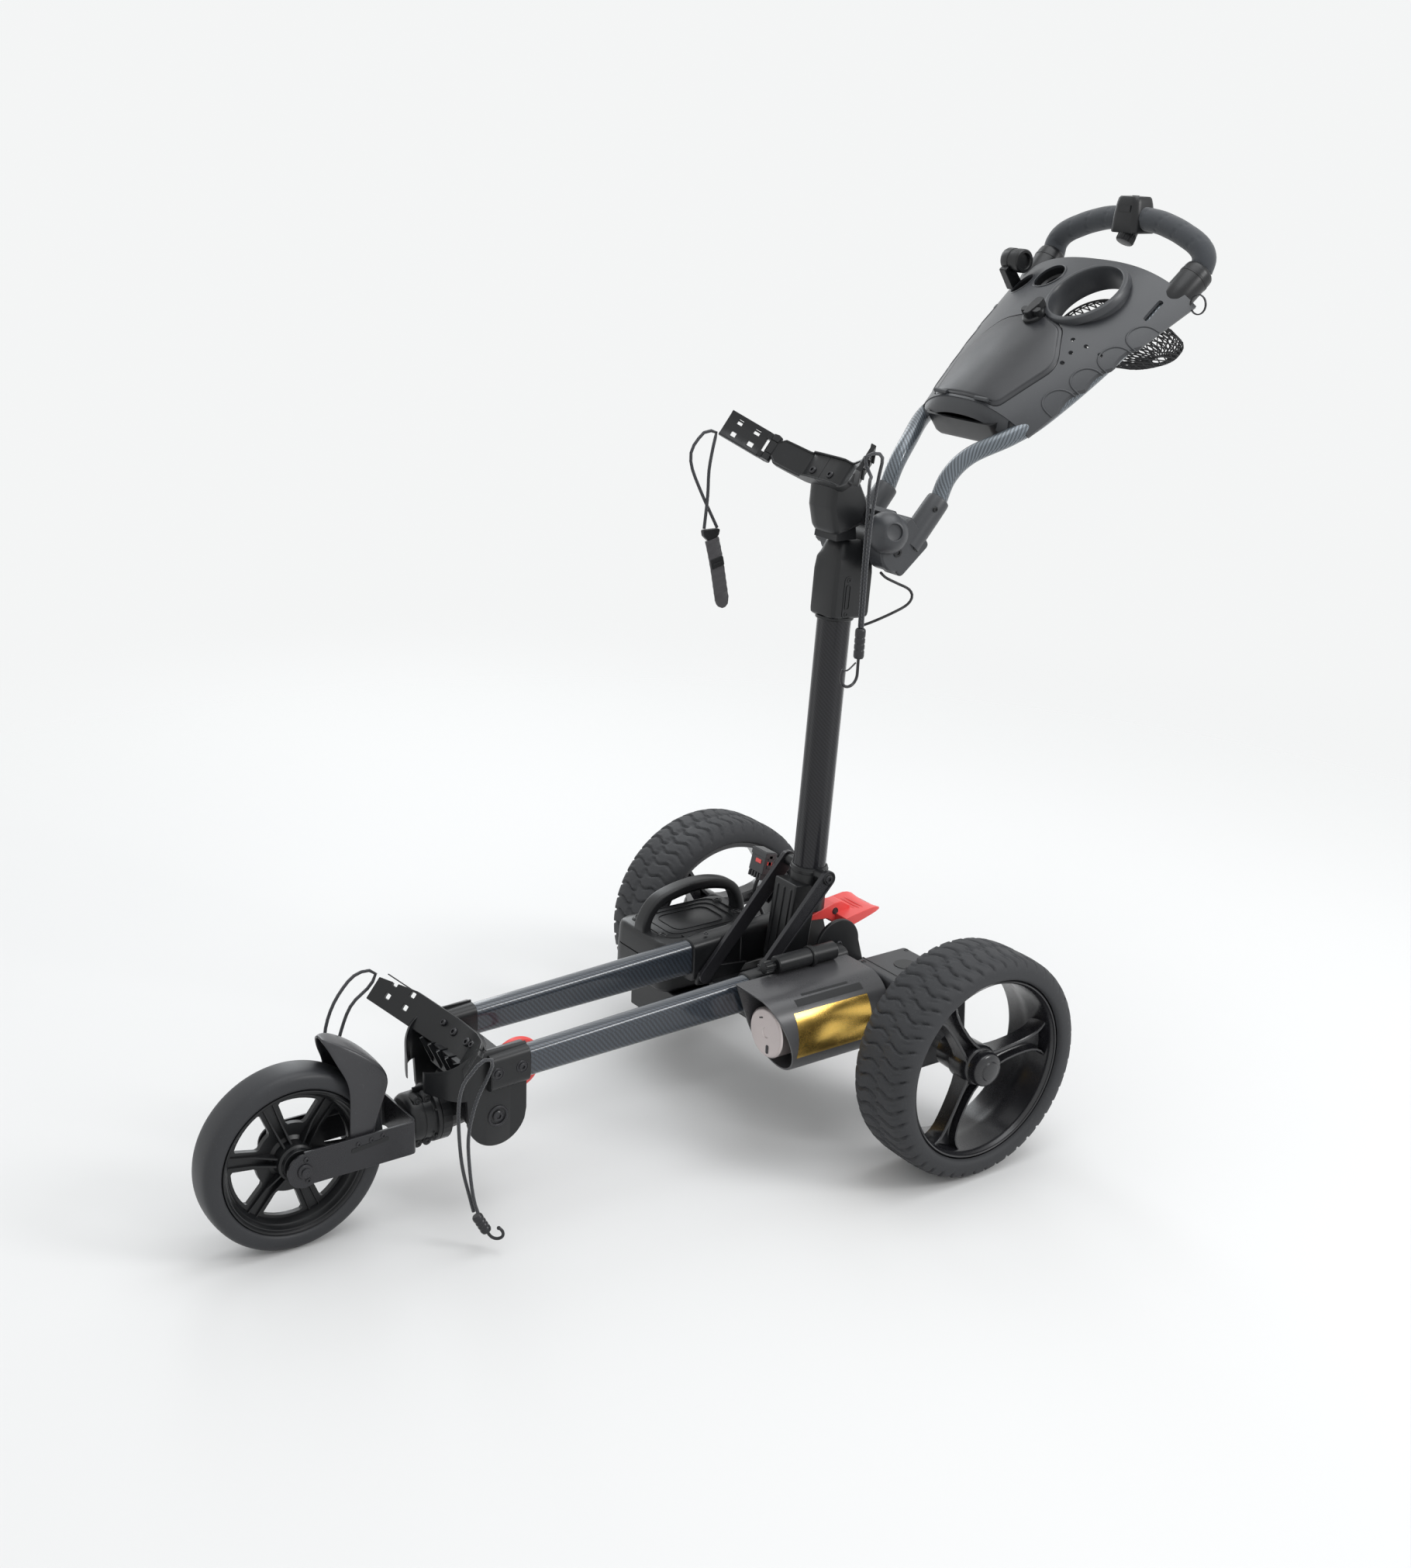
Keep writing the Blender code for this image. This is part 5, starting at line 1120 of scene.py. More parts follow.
def front_housing():
    for side, sign in (("left", 1), ("right", -1)):
        front_shell(side, sign)
        bm = bmesh.new()
        for y, z in ((-0.5290, 0.1796), (-0.4979, 0.1808)):
            lathe(bm, [(0, 0.0002), (0.0062, 0.0002), (0.0066, 0.0008), (0.0074, 0.0008),
                       (0.0078, 0.0), (0, 0.0)],
                  at(sign * (TUBE_X + 0.0155), y, z), (sign, 0, 0), 32)
            hex_screw(bm, at(sign * (TUBE_X + 0.0157), y, z), (sign, 0, 0), 0.0048, 0.0018)
        box(bm, (0.0012, 0.0560, 0.0016), at(sign * 0.0610, -0.5120, 0.1560),
            turn=Matrix.Rotation(math.radians(3), 4, "X"))
        show("front_screws_" + side, bm, "black_coated_steel",
             BODY_OF["front_plate_" + side], sharp=35)
        bm = bmesh.new()
        place = at(sign * 0.0656, *FRONT_PIN)
        lathe(bm, [(0.0096, -0.0010), (0.0128, -0.0010), (0.0128, 0.0012), (0.0120, 0.0020),
                   (0.0104, 0.0020), (0.0096, 0.0012)], place, (sign, 0, 0), 56, closed=True)
        hex_screw(bm, place + Vector((sign * 0.0006, 0, 0)), (sign, 0, 0), 0.0066, 0.0020)
        show("bolt_washer_" + side, bm, "black_coated_steel",
             BODY_OF["front_plate_" + side], sharp=35)


def release_ring():
    """The finger ring, round in section, on a short tongue."""
    bm = bmesh.new()
    centre = at(0, -0.4620, 0.1425)
    section = [(0.0292 + 0.0037 * math.cos(a), 0.0039 * math.sin(a))
               for a in (2 * math.pi * k / 14 for k in range(14))]
    lathe(bm, section, centre, (1, 0, 0), 84, closed=True)
    box(bm, (0.0074, 0.0110, 0.0090), at(0, -0.4925, 0.1440), taper=(0.9, 0.95))
    show("release_ring_grip", bm, "coral_red_plastic", BODY_OF["release_ring"],
         ("release_ring",), sharp=45)


def cradle_frame(along_bag):
    run = Vector((0, math.cos(BAG_TILT), math.sin(BAG_TILT)))
    rise = Vector((0, -math.sin(BAG_TILT), math.cos(BAG_TILT)))
    return frame_of(at(0, 0, 0) + run * along_bag, (1, 0, 0), rise)


def bag_point(x, height, along_bag):
    """A point from the bag's centre plane, off the line that the bag lies on."""
    return cradle_frame(along_bag) @ Vector((x, height, 0))


def lower_cradle():
    """Front cradle: its arms with stiffening ribs, two bolts and rims round the holes."""
    refined("lower_cradle", "black_moulding", 0.0009)
    body, u = BODY_OF["lower_cradle"], -0.1770
    bm = bmesh.new()
    for x in (-0.0300, -0.0100, 0.0100, 0.0300):
        prism(bm, [(-0.5545, 0.1560), (-0.5500, 0.1560), (-0.5440, 0.1790), (-0.5600, 0.1800),
                   (-0.5660, 0.1900), (-0.5700, 0.1890)], 0.0022, side_matrix(x))
    for sign in (-1, 1):
        for edge in (-0.0135, 0.0165):
            rings = []
            for x, h, tall in ((0.0480, 0.5480, 0.0018), (0.0640, 0.5578, 0.0030),
                               (0.0900, 0.5745, 0.0026), (0.1140, 0.5900, 0.0016)):
                ring = []
                for w, up in ((-0.0008, 0), (0.0008, 0), (0.0006, tall), (-0.0006, tall)):
                    ring.append(bag_point(sign * x, h + up, u + edge + w))
                rings.append(ring)
            loft(bm, rings)
    show("lower_cradle_ribs", bm, "black_moulding", body, sharp=35)
    bm = bmesh.new()
    normal = bag_point(0, 1, u) - bag_point(0, 0, u)
    for sign in (-1, 1):
        hex_screw(bm, bag_point(sign * 0.0150, 0.5412, u + 0.004), normal, 0.0050, 0.0026)
        hex_screw(bm, bag_point(sign * 0.0330, 0.5475, u + 0.006), normal, 0.0042, 0.0022)
    show("lower_cradle_bolts", bm, "black_coated_steel", body, sharp=35)


fork()
mudguard()
fork_collar()
front_housing()
release_ring()
lower_cradle()


# ---------------------------------------------------------------- side tubes and rear frame

def tube_top(y):
    """The height of a side tube's upper face."""
    return 0.1973 + (y + 0.4827) * 0.0423


def side_tubes():
    for side, sign in (("left", 1), ("right", -1)):
        bm = bmesh.new()
        rings, run = [], []
        for k in range(41):
            t = k / 40
            y = -0.5310 + t * 0.3960
            tall = 0.0350 + 0.0100 * t
            top = tube_top(y)
            rings.append([at(sign * TUBE_X + a, y, top - tall / 2 + b)
                          for a, b in round_box(0.0236, tall, 0.0110, 8)])
            run.append(t * 0.396)
        loft(bm, rings, run=run)
        show("side_tube_" + side, bm, "carbon_tube", BODY_OF["tube_" + side],
             ("tube_" + side,), sharp=60)


def sleeve(bm, x, wide, y0, y1, low, high, radius, slope=0.0, lip=0.0012):
    """A moulded sleeve round a side tube, with softened ends."""
    middle = (low + high) / 2
    rings = []
    for y, shrink in ((y0, lip), (y0 + lip, 0.0), (y1 - lip, 0.0), (y1, lip)):
        rise = (y - (y0 + y1) / 2) * slope
        rings.append([at(x + a, y, middle + rise + b) for a, b in
                      round_box(wide - 2 * shrink, high - low - 2 * shrink, radius)])
    loft(bm, rings)


def half_round_ear(bm, x):
    """One upright ear of the rear casting."""
    outline = [(-0.0750, 0.1700), (0.0250, 0.1700)] + arc((-0.0190, 0.2060), 0.0330, 0, 180, 28)
    prism(bm, outline, 0.0058, side_matrix(x))


def chassis():
    """Rear casting: the beam, two tube sockets, the latch ears and the axle tube."""
    bm = bmesh.new()
    box(bm, (0.1500, 0.0640, 0.0560), at(0, -0.0080, 0.1500))
    box(bm, (0.0900, 0.1100, 0.0220), at(0, -0.1020, 0.1480))
    for sign in (-1, 1):
        half_round_ear(bm, sign * 0.0350)
        for y in (-0.0640, -0.0360):
            box(bm, (0.0050, 0.0035, 0.0440), at(sign * 0.0415, y, 0.1900))
        prism(bm, [(-0.178, 0.156), (-0.120, 0.150), (-0.100, 0.172), (-0.150, 0.178),
                   (-0.176, 0.172)], 0.0060, side_matrix(sign * 0.0440))
    show("chassis_casting", bm, "black_moulding", BODY_OF["chassis_block"], ("chassis_block",),
         rounding=0.0016)
    bm = bmesh.new()
    for sign in (-1, 1):
        sleeve(bm, sign * TUBE_X, 0.0310, -0.1810, -0.0330, 0.1610, 0.2150, 0.0120, 0.0423)
        sleeve(bm, sign * TUBE_X, 0.0330, -0.1100, -0.1060, 0.1600, 0.2160, 0.0128, 0.0423)
    rod(bm, 0.0200, at(-0.2000, 0, REAR_R), at(0.2000, 0, REAR_R), 48, lip=0.0015)
    rod(bm, 0.0110, at(0.0780, -0.1500, 0.2238), at(0.0780, -0.0600, 0.2238), 36, lip=0.0014)
    box(bm, (0.0080, 0.0880, 0.0100), at(0.0770, -0.1050, 0.2120))
    rod(bm, 0.0132, at(0.0780, -0.1000, 0.2238), at(0.0780, -0.0940, 0.2238), 36, lip=0.0010)
    show("chassis_sockets", bm, "black_moulding", BODY_OF["chassis_block"], sharp=38)
    bm = bmesh.new()
    for sign in (-1, 1):
        for y, z in ((-0.1700, 0.1960), (-0.0450, 0.2000)):
            hex_screw(bm, at(sign * (TUBE_X + 0.0153), y, z), (sign, 0, 0), 0.0040, 0.0016)
        hex_screw(bm, at(sign * 0.0382, -0.0190, 0.2060), (sign, 0, 0), 0.0050, 0.0018)
        hex_screw(bm, at(sign * 0.0560, -0.1560, 0.2165), (0, 0, 1), 0.0028, 0.0010)
    show("chassis_screws", bm, "black_coated_steel", BODY_OF["chassis_block"], sharp=35)
    knurl = bmesh.new()
    start, count = at(0.0780, -0.1680, 0.2238), 18
    rings = []
    for y, deep in ((0.0, 0.0012), (0.0010, 0.0), (0.0110, 0.0), (0.0120, 0.0010),
                    (0.0135, 0.0028), (0.0177, 0.0028)):
        rings.append([start + Vector((r * math.cos(a), y, r * math.sin(a)))
                      for a, r in ((2 * math.pi * k / (4 * count),
                                    0.0080 - deep - (0.0009 if k % 4 in (0, 1) else 0.0))
                                   for k in range(4 * count))])
    loft(knurl, rings)
    show("clamp_screw_knurled", knurl, "black_moulding", BODY_OF["clamp_screw"],
         ("clamp_screw",), sharp=30)


def shroud_outline(rx, rz, steps=72):
    """The shroud in section: round, with its upper inner corner left square."""
    points = []
    for k in range(steps):
        a = 2 * math.pi * k / steps
        x, z = rx * math.cos(a), rz * math.sin(a)
        if math.pi * 0.42 < a < math.pi * 1.0:
            share = min(1.0, (a / math.pi - 0.42) / 0.10, (1.0 - a / math.pi) / 0.06)
            corner = max(abs(math.cos(a)), abs(math.sin(a)))
            square = (rx * math.cos(a) / corner, rz * math.sin(a) / corner)
            x, z = x + (square[0] - x) * share, z + (square[1] - z) * share
        points.append((x, z))
    return points


def drive():
    """Motor shroud with its slanted mouth and gold band, the motor's end and the gearbox."""
    x, z, rear = 0.1215, 0.1625, -0.0390
    body = BODY_OF["motor_shroud"]

    def mouth(height, back=0.0):
        return -0.2285 + (0.0400 - (height - 0.1525) * 0.342) / 0.9397 + back

    outer, inner = shroud_outline(0.0440, 0.0500), shroud_outline(0.0408, 0.0468)
    bm = bmesh.new()
    rings = []
    for outline, place in ((outer, "rear"), (outer, 0.0018), (shroud_outline(0.0436, 0.0496), 0.0),
                           (shroud_outline(0.0412, 0.0472), 0.0), (inner, 0.0010),
                           (inner, "deep")):
        ring = []
        for a, b in outline:
            y = {"rear": rear, "deep": rear - 0.004}.get(place)
            ring.append(at(x + a, mouth(z + b, place) if y is None else y, z + b))
        rings.append(ring)
    loft(bm, rings, caps=(True, True))
    for angle in (-0.45, 0.5):
        a, b = 0.0395 * math.cos(angle), 0.0450 * math.sin(angle)
        rod(bm, 0.0035, at(x + a, mouth(z + b, 0.010), z + b), at(x + a, rear, z + b), 12)
    show("motor_shroud_cover", bm, "shroud_moulding", body, ("motor_shroud",), sharp=40)
    bm = bmesh.new()
    band = [(1.0075 * 0.0440 * math.cos(t), 1.0075 * 0.0500 * math.sin(t))
            for t in (math.radians(44 - 3 * k) for k in range(23))]
    rings = [[at(x + a, y, z + b) for a, b in band]
             + [at(x + a * 0.985, y, z + b * 0.985) for a, b in band[::-1]]
             for y in (-0.1780, -0.1500, -0.1200, -0.0900, -0.0680)]
    loft(bm, rings)
    show("motor_band", bm, "gold_foil", body, sharp=50)
    bm = bmesh.new()
    for low, high, y0, y1 in ((52, 64, -0.1690, -0.0700), (68, 72, -0.1550, -0.0860)):
        strip = [(1.006 * 0.0440 * math.cos(t), 1.006 * 0.0500 * math.sin(t))
                 for t in (math.radians(low + (high - low) * k / 6) for k in range(7))]
        rings = [[at(x + a, y, z + b) for a, b in strip]
                 + [at(x + a * 0.985, y, z + b * 0.985) for a, b in strip[::-1]]
                 for y in (y0, (y0 + y1) / 2, y1)]
        loft(bm, rings)
    show("motor_band_strip", bm, "black_moulding", body, sharp=50)

    bm = bmesh.new()
    front, cx, cz = -0.1880, x - 0.0075, z - 0.0035
    profile = [(0, 0.0012), (0.0060, 0.0012), (0.0066, 0.0004), (0.0262, 0.0004),
               (0.0276, 0.0), (0.0296, 0.0006), (0.0310, 0.0024), (0.0310, 0.1440), (0, 0.1440)]
    lathe(bm, profile, at(cx, front, cz), (0, 1, 0), 96)
    show("motor_end", bm, "motor_end_metal", BODY_OF["motor_can"], ("motor_can",), sharp=35)
    # two dark flat patches on the end disc, painted shade standing in for its slots
    bm = bmesh.new()
    prism(bm, rounded([(-0.0022, -0.0055), (0.0022, -0.0055), (0.0022, 0.0055),
                       (-0.0022, 0.0055)], 0.0020, 4), 0.0006,
          frame_of(at(cx + 0.0040, front + 0.0001, cz - 0.0200), (1, 0, 0), (0, 0, 1)))
    prism(bm, [(-0.0030, -0.0008), (0.0030, -0.0008), (0.0030, 0.0008), (-0.0030, 0.0008)],
          0.0006, frame_of(at(cx - 0.0100, front + 0.0001, cz + 0.0160), (1, 0, 0.4), (-0.4, 0, 1)))
    show("motor_end_slot_shade", bm, "black_coated_steel", BODY_OF["motor_can"], sharp=35)

    bm = bmesh.new()
    box(bm, (0.1240, 0.0900, 0.1020), at(0.1430, 0.0080, 0.1560), taper=(0.94, 0.92))
    show("gearbox_case", bm, "gearbox_moulding", BODY_OF["gearbox"], ("gearbox",),
         rounding=0.0060, segments=4)
    bm = bmesh.new()
    lathe(bm, [(0, 0.0010), (0.0135, 0.0010), (0.0145, 0.0), (0, 0.0)],
          at(0.1290, 0.0120, 0.2068), (0, 0, 1), 48)
    for dx, dy in ((-0.050, -0.034), (0.050, -0.034), (0.050, 0.034), (-0.050, 0.034)):
        hex_screw(bm, at(0.1430 + dx * 0.94, 0.0080 + dy, 0.2066), (0, 0, 1), 0.0034, 0.0010)
    box(bm, (0.1150, 0.0014, 0.0010), at(0.1430, -0.0190, 0.2070))
    show("gearbox_trim", bm, "black_moulding", BODY_OF["gearbox"], sharp=35)


def battery():
    """The battery: a ribbed case, its arched strap of a handle, screws and a plug."""
    body = BODY_OF["battery_case"]
    cx, cy = -0.1420, -0.1160
    bm = bmesh.new()
    rings = []
    for z, grow, radius in (
            (0.1300, -0.0060, 0.018), (0.1320, -0.0030, 0.020), (0.1360, -0.0005, 0.021),
            (0.1660, -0.0010, 0.021), (0.1664, -0.0022, 0.020), (0.1676, -0.0022, 0.020),
            (0.1680, -0.0010, 0.021), (0.1880, -0.0020, 0.021), (0.1930, -0.0036, 0.020),
            (0.1958, -0.0070, 0.017)):
        rings.append([at(cx + a, cy + b, z) for a, b in
                      round_box(0.1180 + 2 * grow, 0.1700 + 2 * grow, radius, 8)])
    loft(bm, rings)
    show("battery_body", bm, "black_moulding", body, ("battery_case",), sharp=40)
    bm = bmesh.new()
    for k in range(3):
        inner = round_box(0.0900 - 0.020 * k, 0.1280 - 0.026 * k, 0.022 - 0.004 * k, 8)
        outer = round_box(0.0924 - 0.020 * k, 0.1304 - 0.026 * k, 0.023 - 0.004 * k, 8)
        rings = [[at(cx - 0.004 + a, cy + b, h) for a, b in o]
                 for o, h in ((outer, 0.1950), (outer, 0.1966), (inner, 0.1966), (inner, 0.1950))]
        loft(bm, rings, caps=(False, False))
    for x, y in ((-0.1185, -0.1780), (-0.1348, -0.0510), (-0.1780, -0.1780), (-0.1780, -0.0510)):
        lathe(bm, [(0, 0.0016), (0.0058, 0.0016), (0.0066, 0.0006), (0.0070, -0.002), (0, -0.002)],
              at(x, y, 0.1955), (0, 0, 1), 28)
        hex_screw(bm, at(x, y, 0.1970), (0, 0, 1), 0.0040, 0.0010)
    for y in (-0.1500, -0.0820):
        box(bm, (0.0160, 0.0240, 0.0100), at(-0.0960, y, 0.1930), taper=(0.8, 0.85))
    show("battery_top", bm, "black_moulding", body, sharp=35)
    route = [at(-0.1480, -0.1885, 0.1820), at(-0.1480, -0.1870, 0.2080),
             at(-0.1480, -0.1640, 0.2330), at(-0.1480, -0.1080, 0.2430),
             at(-0.1480, -0.0600, 0.2330), at(-0.1480, -0.0425, 0.2080),
             at(-0.1480, -0.0410, 0.1820)]
    bm = bmesh.new()

    def strap(way):
        share = min(way, 0.232 - way) / 0.03
        wide = 0.0210 + 0.0050 * max(0.0, 1.0 - share)
        return round_box(wide, 0.0130, 0.0045, 4)

    sweep(bm, smooth_path(route, 0.0040), strap)
    pad = ((-0.0085, -0.0070), (0.0085, -0.0070), (0.0085, -0.0078), (-0.0085, -0.0078))
    loft(bm, [[point + Vector((a, 0, b)) for a, b in pad]
              for point in smooth_path(route, 0.0040)[8:-8]])
    box(bm, (0.0060, 0.0060, 0.0040), at(-0.1440, -0.1083, 0.2390))
    show("battery_handle", bm, "black_moulding", body, sharp=40)

    bm = bmesh.new()
    tray = BODY_OF["battery_tray"]
    box(bm, (0.1000, 0.1500, 0.0500), at(-0.1280, -0.1100, 0.1040), taper=(1.0, 1.0))
    for y in (-0.1780, -0.1450, -0.1100, -0.0750, -0.0420):
        box(bm, (0.1030, 0.0030, 0.0440), at(-0.1280, y, 0.1040))
    show("battery_shelf", bm, "black_moulding", tray, ("battery_tray",), rounding=0.0024,
         segments=3)
    plug = BODY_OF["battery_plug"]
    turn = Matrix.Rotation(math.radians(-14), 4, "X")
    middle = at(-0.0920, -0.0450, 0.2760)

    def on_plug(x, y, z):
        return middle + turn @ Vector((x, y, z))

    bm = bmesh.new()
    box(bm, (0.0280, 0.0160, 0.0300), on_plug(0, 0, 0.0040), turn=turn)
    box(bm, (0.0300, 0.0180, 0.0080), on_plug(0, 0, 0.0140), turn=turn)
    for x in (-0.0110, -0.0055, 0.0, 0.0055, 0.0110):
        box(bm, (0.0030, 0.0170, 0.0080), on_plug(x, 0, -0.0150), turn=turn)
    for x in (-0.0135, 0.0135):
        box(bm, (0.0030, 0.0060, 0.0180), on_plug(x, 0, 0.0060), turn=turn)
    show("battery_plug_shell", bm, "gearbox_moulding", plug, ("battery_plug",), rounding=0.0007)
    bm = bmesh.new()
    box(bm, (0.0110, 0.0016, 0.0050), on_plug(0.0020, -0.0082, 0.0040), turn=turn)
    box(bm, (0.0016, 0.0070, 0.0050), on_plug(0.0142, 0.0, 0.0040), turn=turn)
    show("battery_plug_button", bm, "coral_red_plastic", plug, rounding=0.0005)


def latch_lever():
    """The red latch: a nose with its pin hole, and a wide scooped pedal with grooves."""
    body = BODY_OF["latch_lever"]
    bm = bmesh.new()
    nose = rounded([(-0.0475, 0.2335), (-0.0475, 0.2385), (-0.0060, 0.2494), (0.0060, 0.2494),
                    (0.0200, 0.2410), (0.0200, 0.2250), (0.0, 0.2200), (-0.0160, 0.2300)],
                   0.0035, 5)
    prism(bm, nose, 0.0196, side_matrix(0))
    show("latch_nose", bm, "coral_red_plastic", body, ("latch_lever",), rounding=0.0012,
         segments=3)
    bm = bmesh.new()
    stations = [(-0.0030, 0.2350, 0.2200), (0.0120, 0.2378, 0.2240), (0.0280, 0.2398, 0.2284),
                (0.0400, 0.2412, 0.2320), (0.0470, 0.2406, 0.2338), (0.0520, 0.2390, 0.2346),
                (0.0540, 0.2376, 0.2352)]
    rings = []
    for y, top, low in stations:
        half = 0.0305 if y < 0.045 else 0.0305 - (y - 0.045) * 0.35
        upper, lower = [], []
        for k in range(13):
            share = -1 + 2 * k / 12
            scoop = 0.0022 * (1 - share * share) * max(0.0, min(1.0, (y - 0.010) / 0.02))
            upper.append(at(share * half, y - scoop * 0.4, top - scoop))
            lower.append(at(-share * half, y, low))
        rings.append(upper + lower)
    loft(bm, rings)
    for y in (0.0230, 0.0285, 0.0340):
        box(bm, (0.0420, 0.0022, 0.0010), at(0, y, 0.2378 + (y - 0.0230) * 0.10))
    show("latch_pedal", bm, "coral_red_plastic", body, rounding=0.0009, segments=3)
    bm = bmesh.new()
    for sign in (-1, 1):
        lathe(bm, [(0, 0.0006), (0.0030, 0.0006), (0.0034, 0.0010), (0.0042, 0.0010),
                   (0.0046, 0.0), (0, 0.0)], at(sign * 0.0097, -0.0039, 0.2382), (sign, 0, 0), 28)
    show("latch_pin", bm, "black_coated_steel", body, sharp=35)


# ---------------------------------------------------------------- mast

MAST_LOW, MAST_HIGH = Vector((0, -0.0419, 0.3049)), Vector((0, -0.0245, 0.6175))
MAST_LEAN = math.atan2(MAST_HIGH.y - MAST_LOW.y, MAST_HIGH.z - MAST_LOW.z)


def mast_at(z):
    """A point on the mast's centre line."""
    t = (z - MAST_LOW.z) / (MAST_HIGH.z - MAST_LOW.z)
    return at(0, MAST_LOW.y + t * (MAST_HIGH.y - MAST_LOW.y), z)


def faceted(radius, power=3.0, steps=64):
    """A round outline flattened slightly on eight sides."""
    points = []
    for k in range(steps):
        a = 2 * math.pi * k / steps
        swell = 1 - 0.030 * (0.5 + 0.5 * math.cos(8 * a)) ** power
        points.append((radius * swell * math.cos(a), radius * swell * math.sin(a)))
    return points


def mast():
    bm = bmesh.new()
    low, high = mast_at(0.2700), mast_at(0.6900)
    sweep(bm, [low.lerp(high, k / 30) for k in range(31)], faceted(0.0208, 2.0))
    show("mast_tube_carbon", bm, "carbon_mast", BODY_OF["mast_tube"], ("mast_tube",), sharp=60)

    body = BODY_OF["mast_foot"]
    bm = bmesh.new()
    axis = mast_at(0.31) - mast_at(0.25)
    lathe(bm, [(0, 0), (0.0225, 0), (0.0235, 0.0010), (0.0235, 0.0545), (0.0228, 0.0565),
               (0.0212, 0.0571), (0.0208, 0.0560), (0.0208, 0.0200), (0, 0.0200)],
          mast_at(0.2500), axis, 72)
    lathe(bm, [(0.0236, 0.0490), (0.0241, 0.0496), (0.0241, 0.0530), (0.0236, 0.0536)],
          mast_at(0.2500), axis, 72, closed=True)
    rod(bm, 0.0078, at(-0.0436, *MAST_PIN), at(0.0436, *MAST_PIN), 32, lip=0.001)
    show("mast_foot_sleeve", bm, "black_moulding", body, ("mast_foot",), sharp=38)
    bm = bmesh.new()
    box(bm, (0.0420, 0.0360, 0.1080), at(0, -0.0680, 0.2350), tilt=math.radians(-8))
    for x in (-0.0130, 0.0, 0.0130):
        box(bm, (0.0026, 0.0380, 0.0940), at(x, -0.0685, 0.2350), tilt=math.radians(-8))
    show("mast_foot_block", bm, "black_moulding", body, rounding=0.0024, segments=3)

    for side, sign in (("left", 1), ("right", -1)):
        low, high = Vector(FOLD_PIN), Vector(MAST_PIN)
        run = (high - low).normalized()
        heading = math.degrees(math.atan2(run.y, run.x))
        outline = arc(low, 0.0085, heading + 90, heading + 270, 16)
        outline += arc(high, 0.0105, heading - 90, heading + 90, 16)
        bm = bmesh.new()
        prism(bm, outline, 0.0046, side_matrix(sign * 0.0395))
        slim = arc(low, 0.0062, heading + 90, heading + 270, 16)
        slim += arc(high, 0.0080, heading - 90, heading + 90, 16)
        loft(bm, [[at(sign * x, a, b) for a, b in shape] for shape, x in
                  ((outline, 0.0410), (outline, 0.0434), (slim, 0.0434), (slim, 0.0410))],
             caps=(False, False))
        show("strut_bar_" + side, bm, "black_coated_steel", BODY_OF["strut_" + side],
             ("strut_" + side,), rounding=0.0006)
        bm = bmesh.new()
        hex_screw(bm, at(sign * 0.0418, *low), (sign, 0, 0), 0.0046, 0.0020)
        hex_screw(bm, at(sign * 0.0430, *high), (sign, 0, 0), 0.0052, 0.0020)
        show("strut_pins_" + side, bm, "black_coated_steel", BODY_OF["strut_" + side], sharp=35)


def head_housing():
    """The head on the mast: chamfered block, cap, hinge barrel and a slotted side strip."""
    body = BODY_OF["head_housing"]
    turn = Matrix.Rotation(-MAST_LEAN, 4, "X")
    base = mast_at(0.6590) + Vector((0, 0.0045, 0))
    bm = bmesh.new()
    rings = []
    for z, grow, cut_off in ((-0.0370, -0.0030, 0.009), (-0.0345, -0.0006, 0.010),
                             (-0.0300, 0.0, 0.011), (0.0180, 0.0, 0.011), (0.0330, -0.0010, 0.012),
                             (0.0400, -0.0040, 0.012), (0.0520, -0.0080, 0.010),
                             (0.0560, -0.0110, 0.008)):
        w, d = 0.0490 + 2 * grow, 0.0560 + 2 * grow
        shape = rounded([(w / 2, d / 2, 0.004), (-w / 2, d / 2, 0.004),
                         (-w / 2, -d / 2, cut_off), (w / 2, -d / 2, cut_off)], 0.004, 3)
        rings.append([base + turn @ Vector((a, b, z)) for a, b in shape])
    loft(bm, rings)
    show("head_block", bm, "black_moulding", body, ("head_housing",), sharp=32, rounding=0.0008)
    bm = bmesh.new()
    rod(bm, 0.0200, at(-0.0230, *HUB_PIN), at(0.0230, *HUB_PIN), 56, lip=0.0012)
    for sign in (-1, 1):
        strip = frame_of(base + turn @ Vector((sign * 0.0244, -0.0085, -0.0100)), (0, 1, 0),
                         turn @ Vector((0, 0, 1)))
        outer = round_box(0.0120, 0.0500, 0.0055, 5)
        inner = round_box(0.0050, 0.0280, 0.0022, 5)
        prism(bm, outer, 0.0016, strip)
        slot_frame = strip @ Matrix.Translation((0, 0, sign * 0.0004))
        rings = [[slot_frame @ Vector((a, b, h)) for a, b in shape]
                 for shape, h in ((round_box(0.0066, 0.0296, 0.0026, 5), -0.0008),
                                  (round_box(0.0066, 0.0296, 0.0026, 5), 0.0012),
                                  (inner, 0.0012), (inner, -0.0008))]
        loft(bm, rings, caps=(False, False))
        for b in (-0.0205, 0.0205):
            hex_screw(bm, strip @ Vector((0, b, sign * 0.0006)),
                      Vector((sign, 0, 0)), 0.0030, 0.0010)
    lathe(bm, [(0.0209, 0), (0.0226, 0.0), (0.0232, 0.0008), (0.0232, 0.0040), (0.0209, 0.0040)],
          mast_at(0.6190), mast_at(0.65) - mast_at(0.62), 64, closed=True)
    show("head_trim", bm, "black_moulding", body, sharp=35)


def cradle_arm(bm, sign, stations, half_width):
    """An arm from (x, height) stations, with its two edges turned up as ribs."""
    rings = []
    for x, h, thick, wide in stations:
        ring = []
        for w, up in ((-1, 0), (-1, 1.25), (-0.88, 1.25), (-0.84, 1.0), (0.84, 1.0),
                      (0.88, 1.25), (1, 1.25), (1, 0)):
            ring.append(bag_point(sign * x, h + thick * (up - 1), UPPER_U + w * wide * half_width))
        rings.append(ring)
    loft(bm, rings)


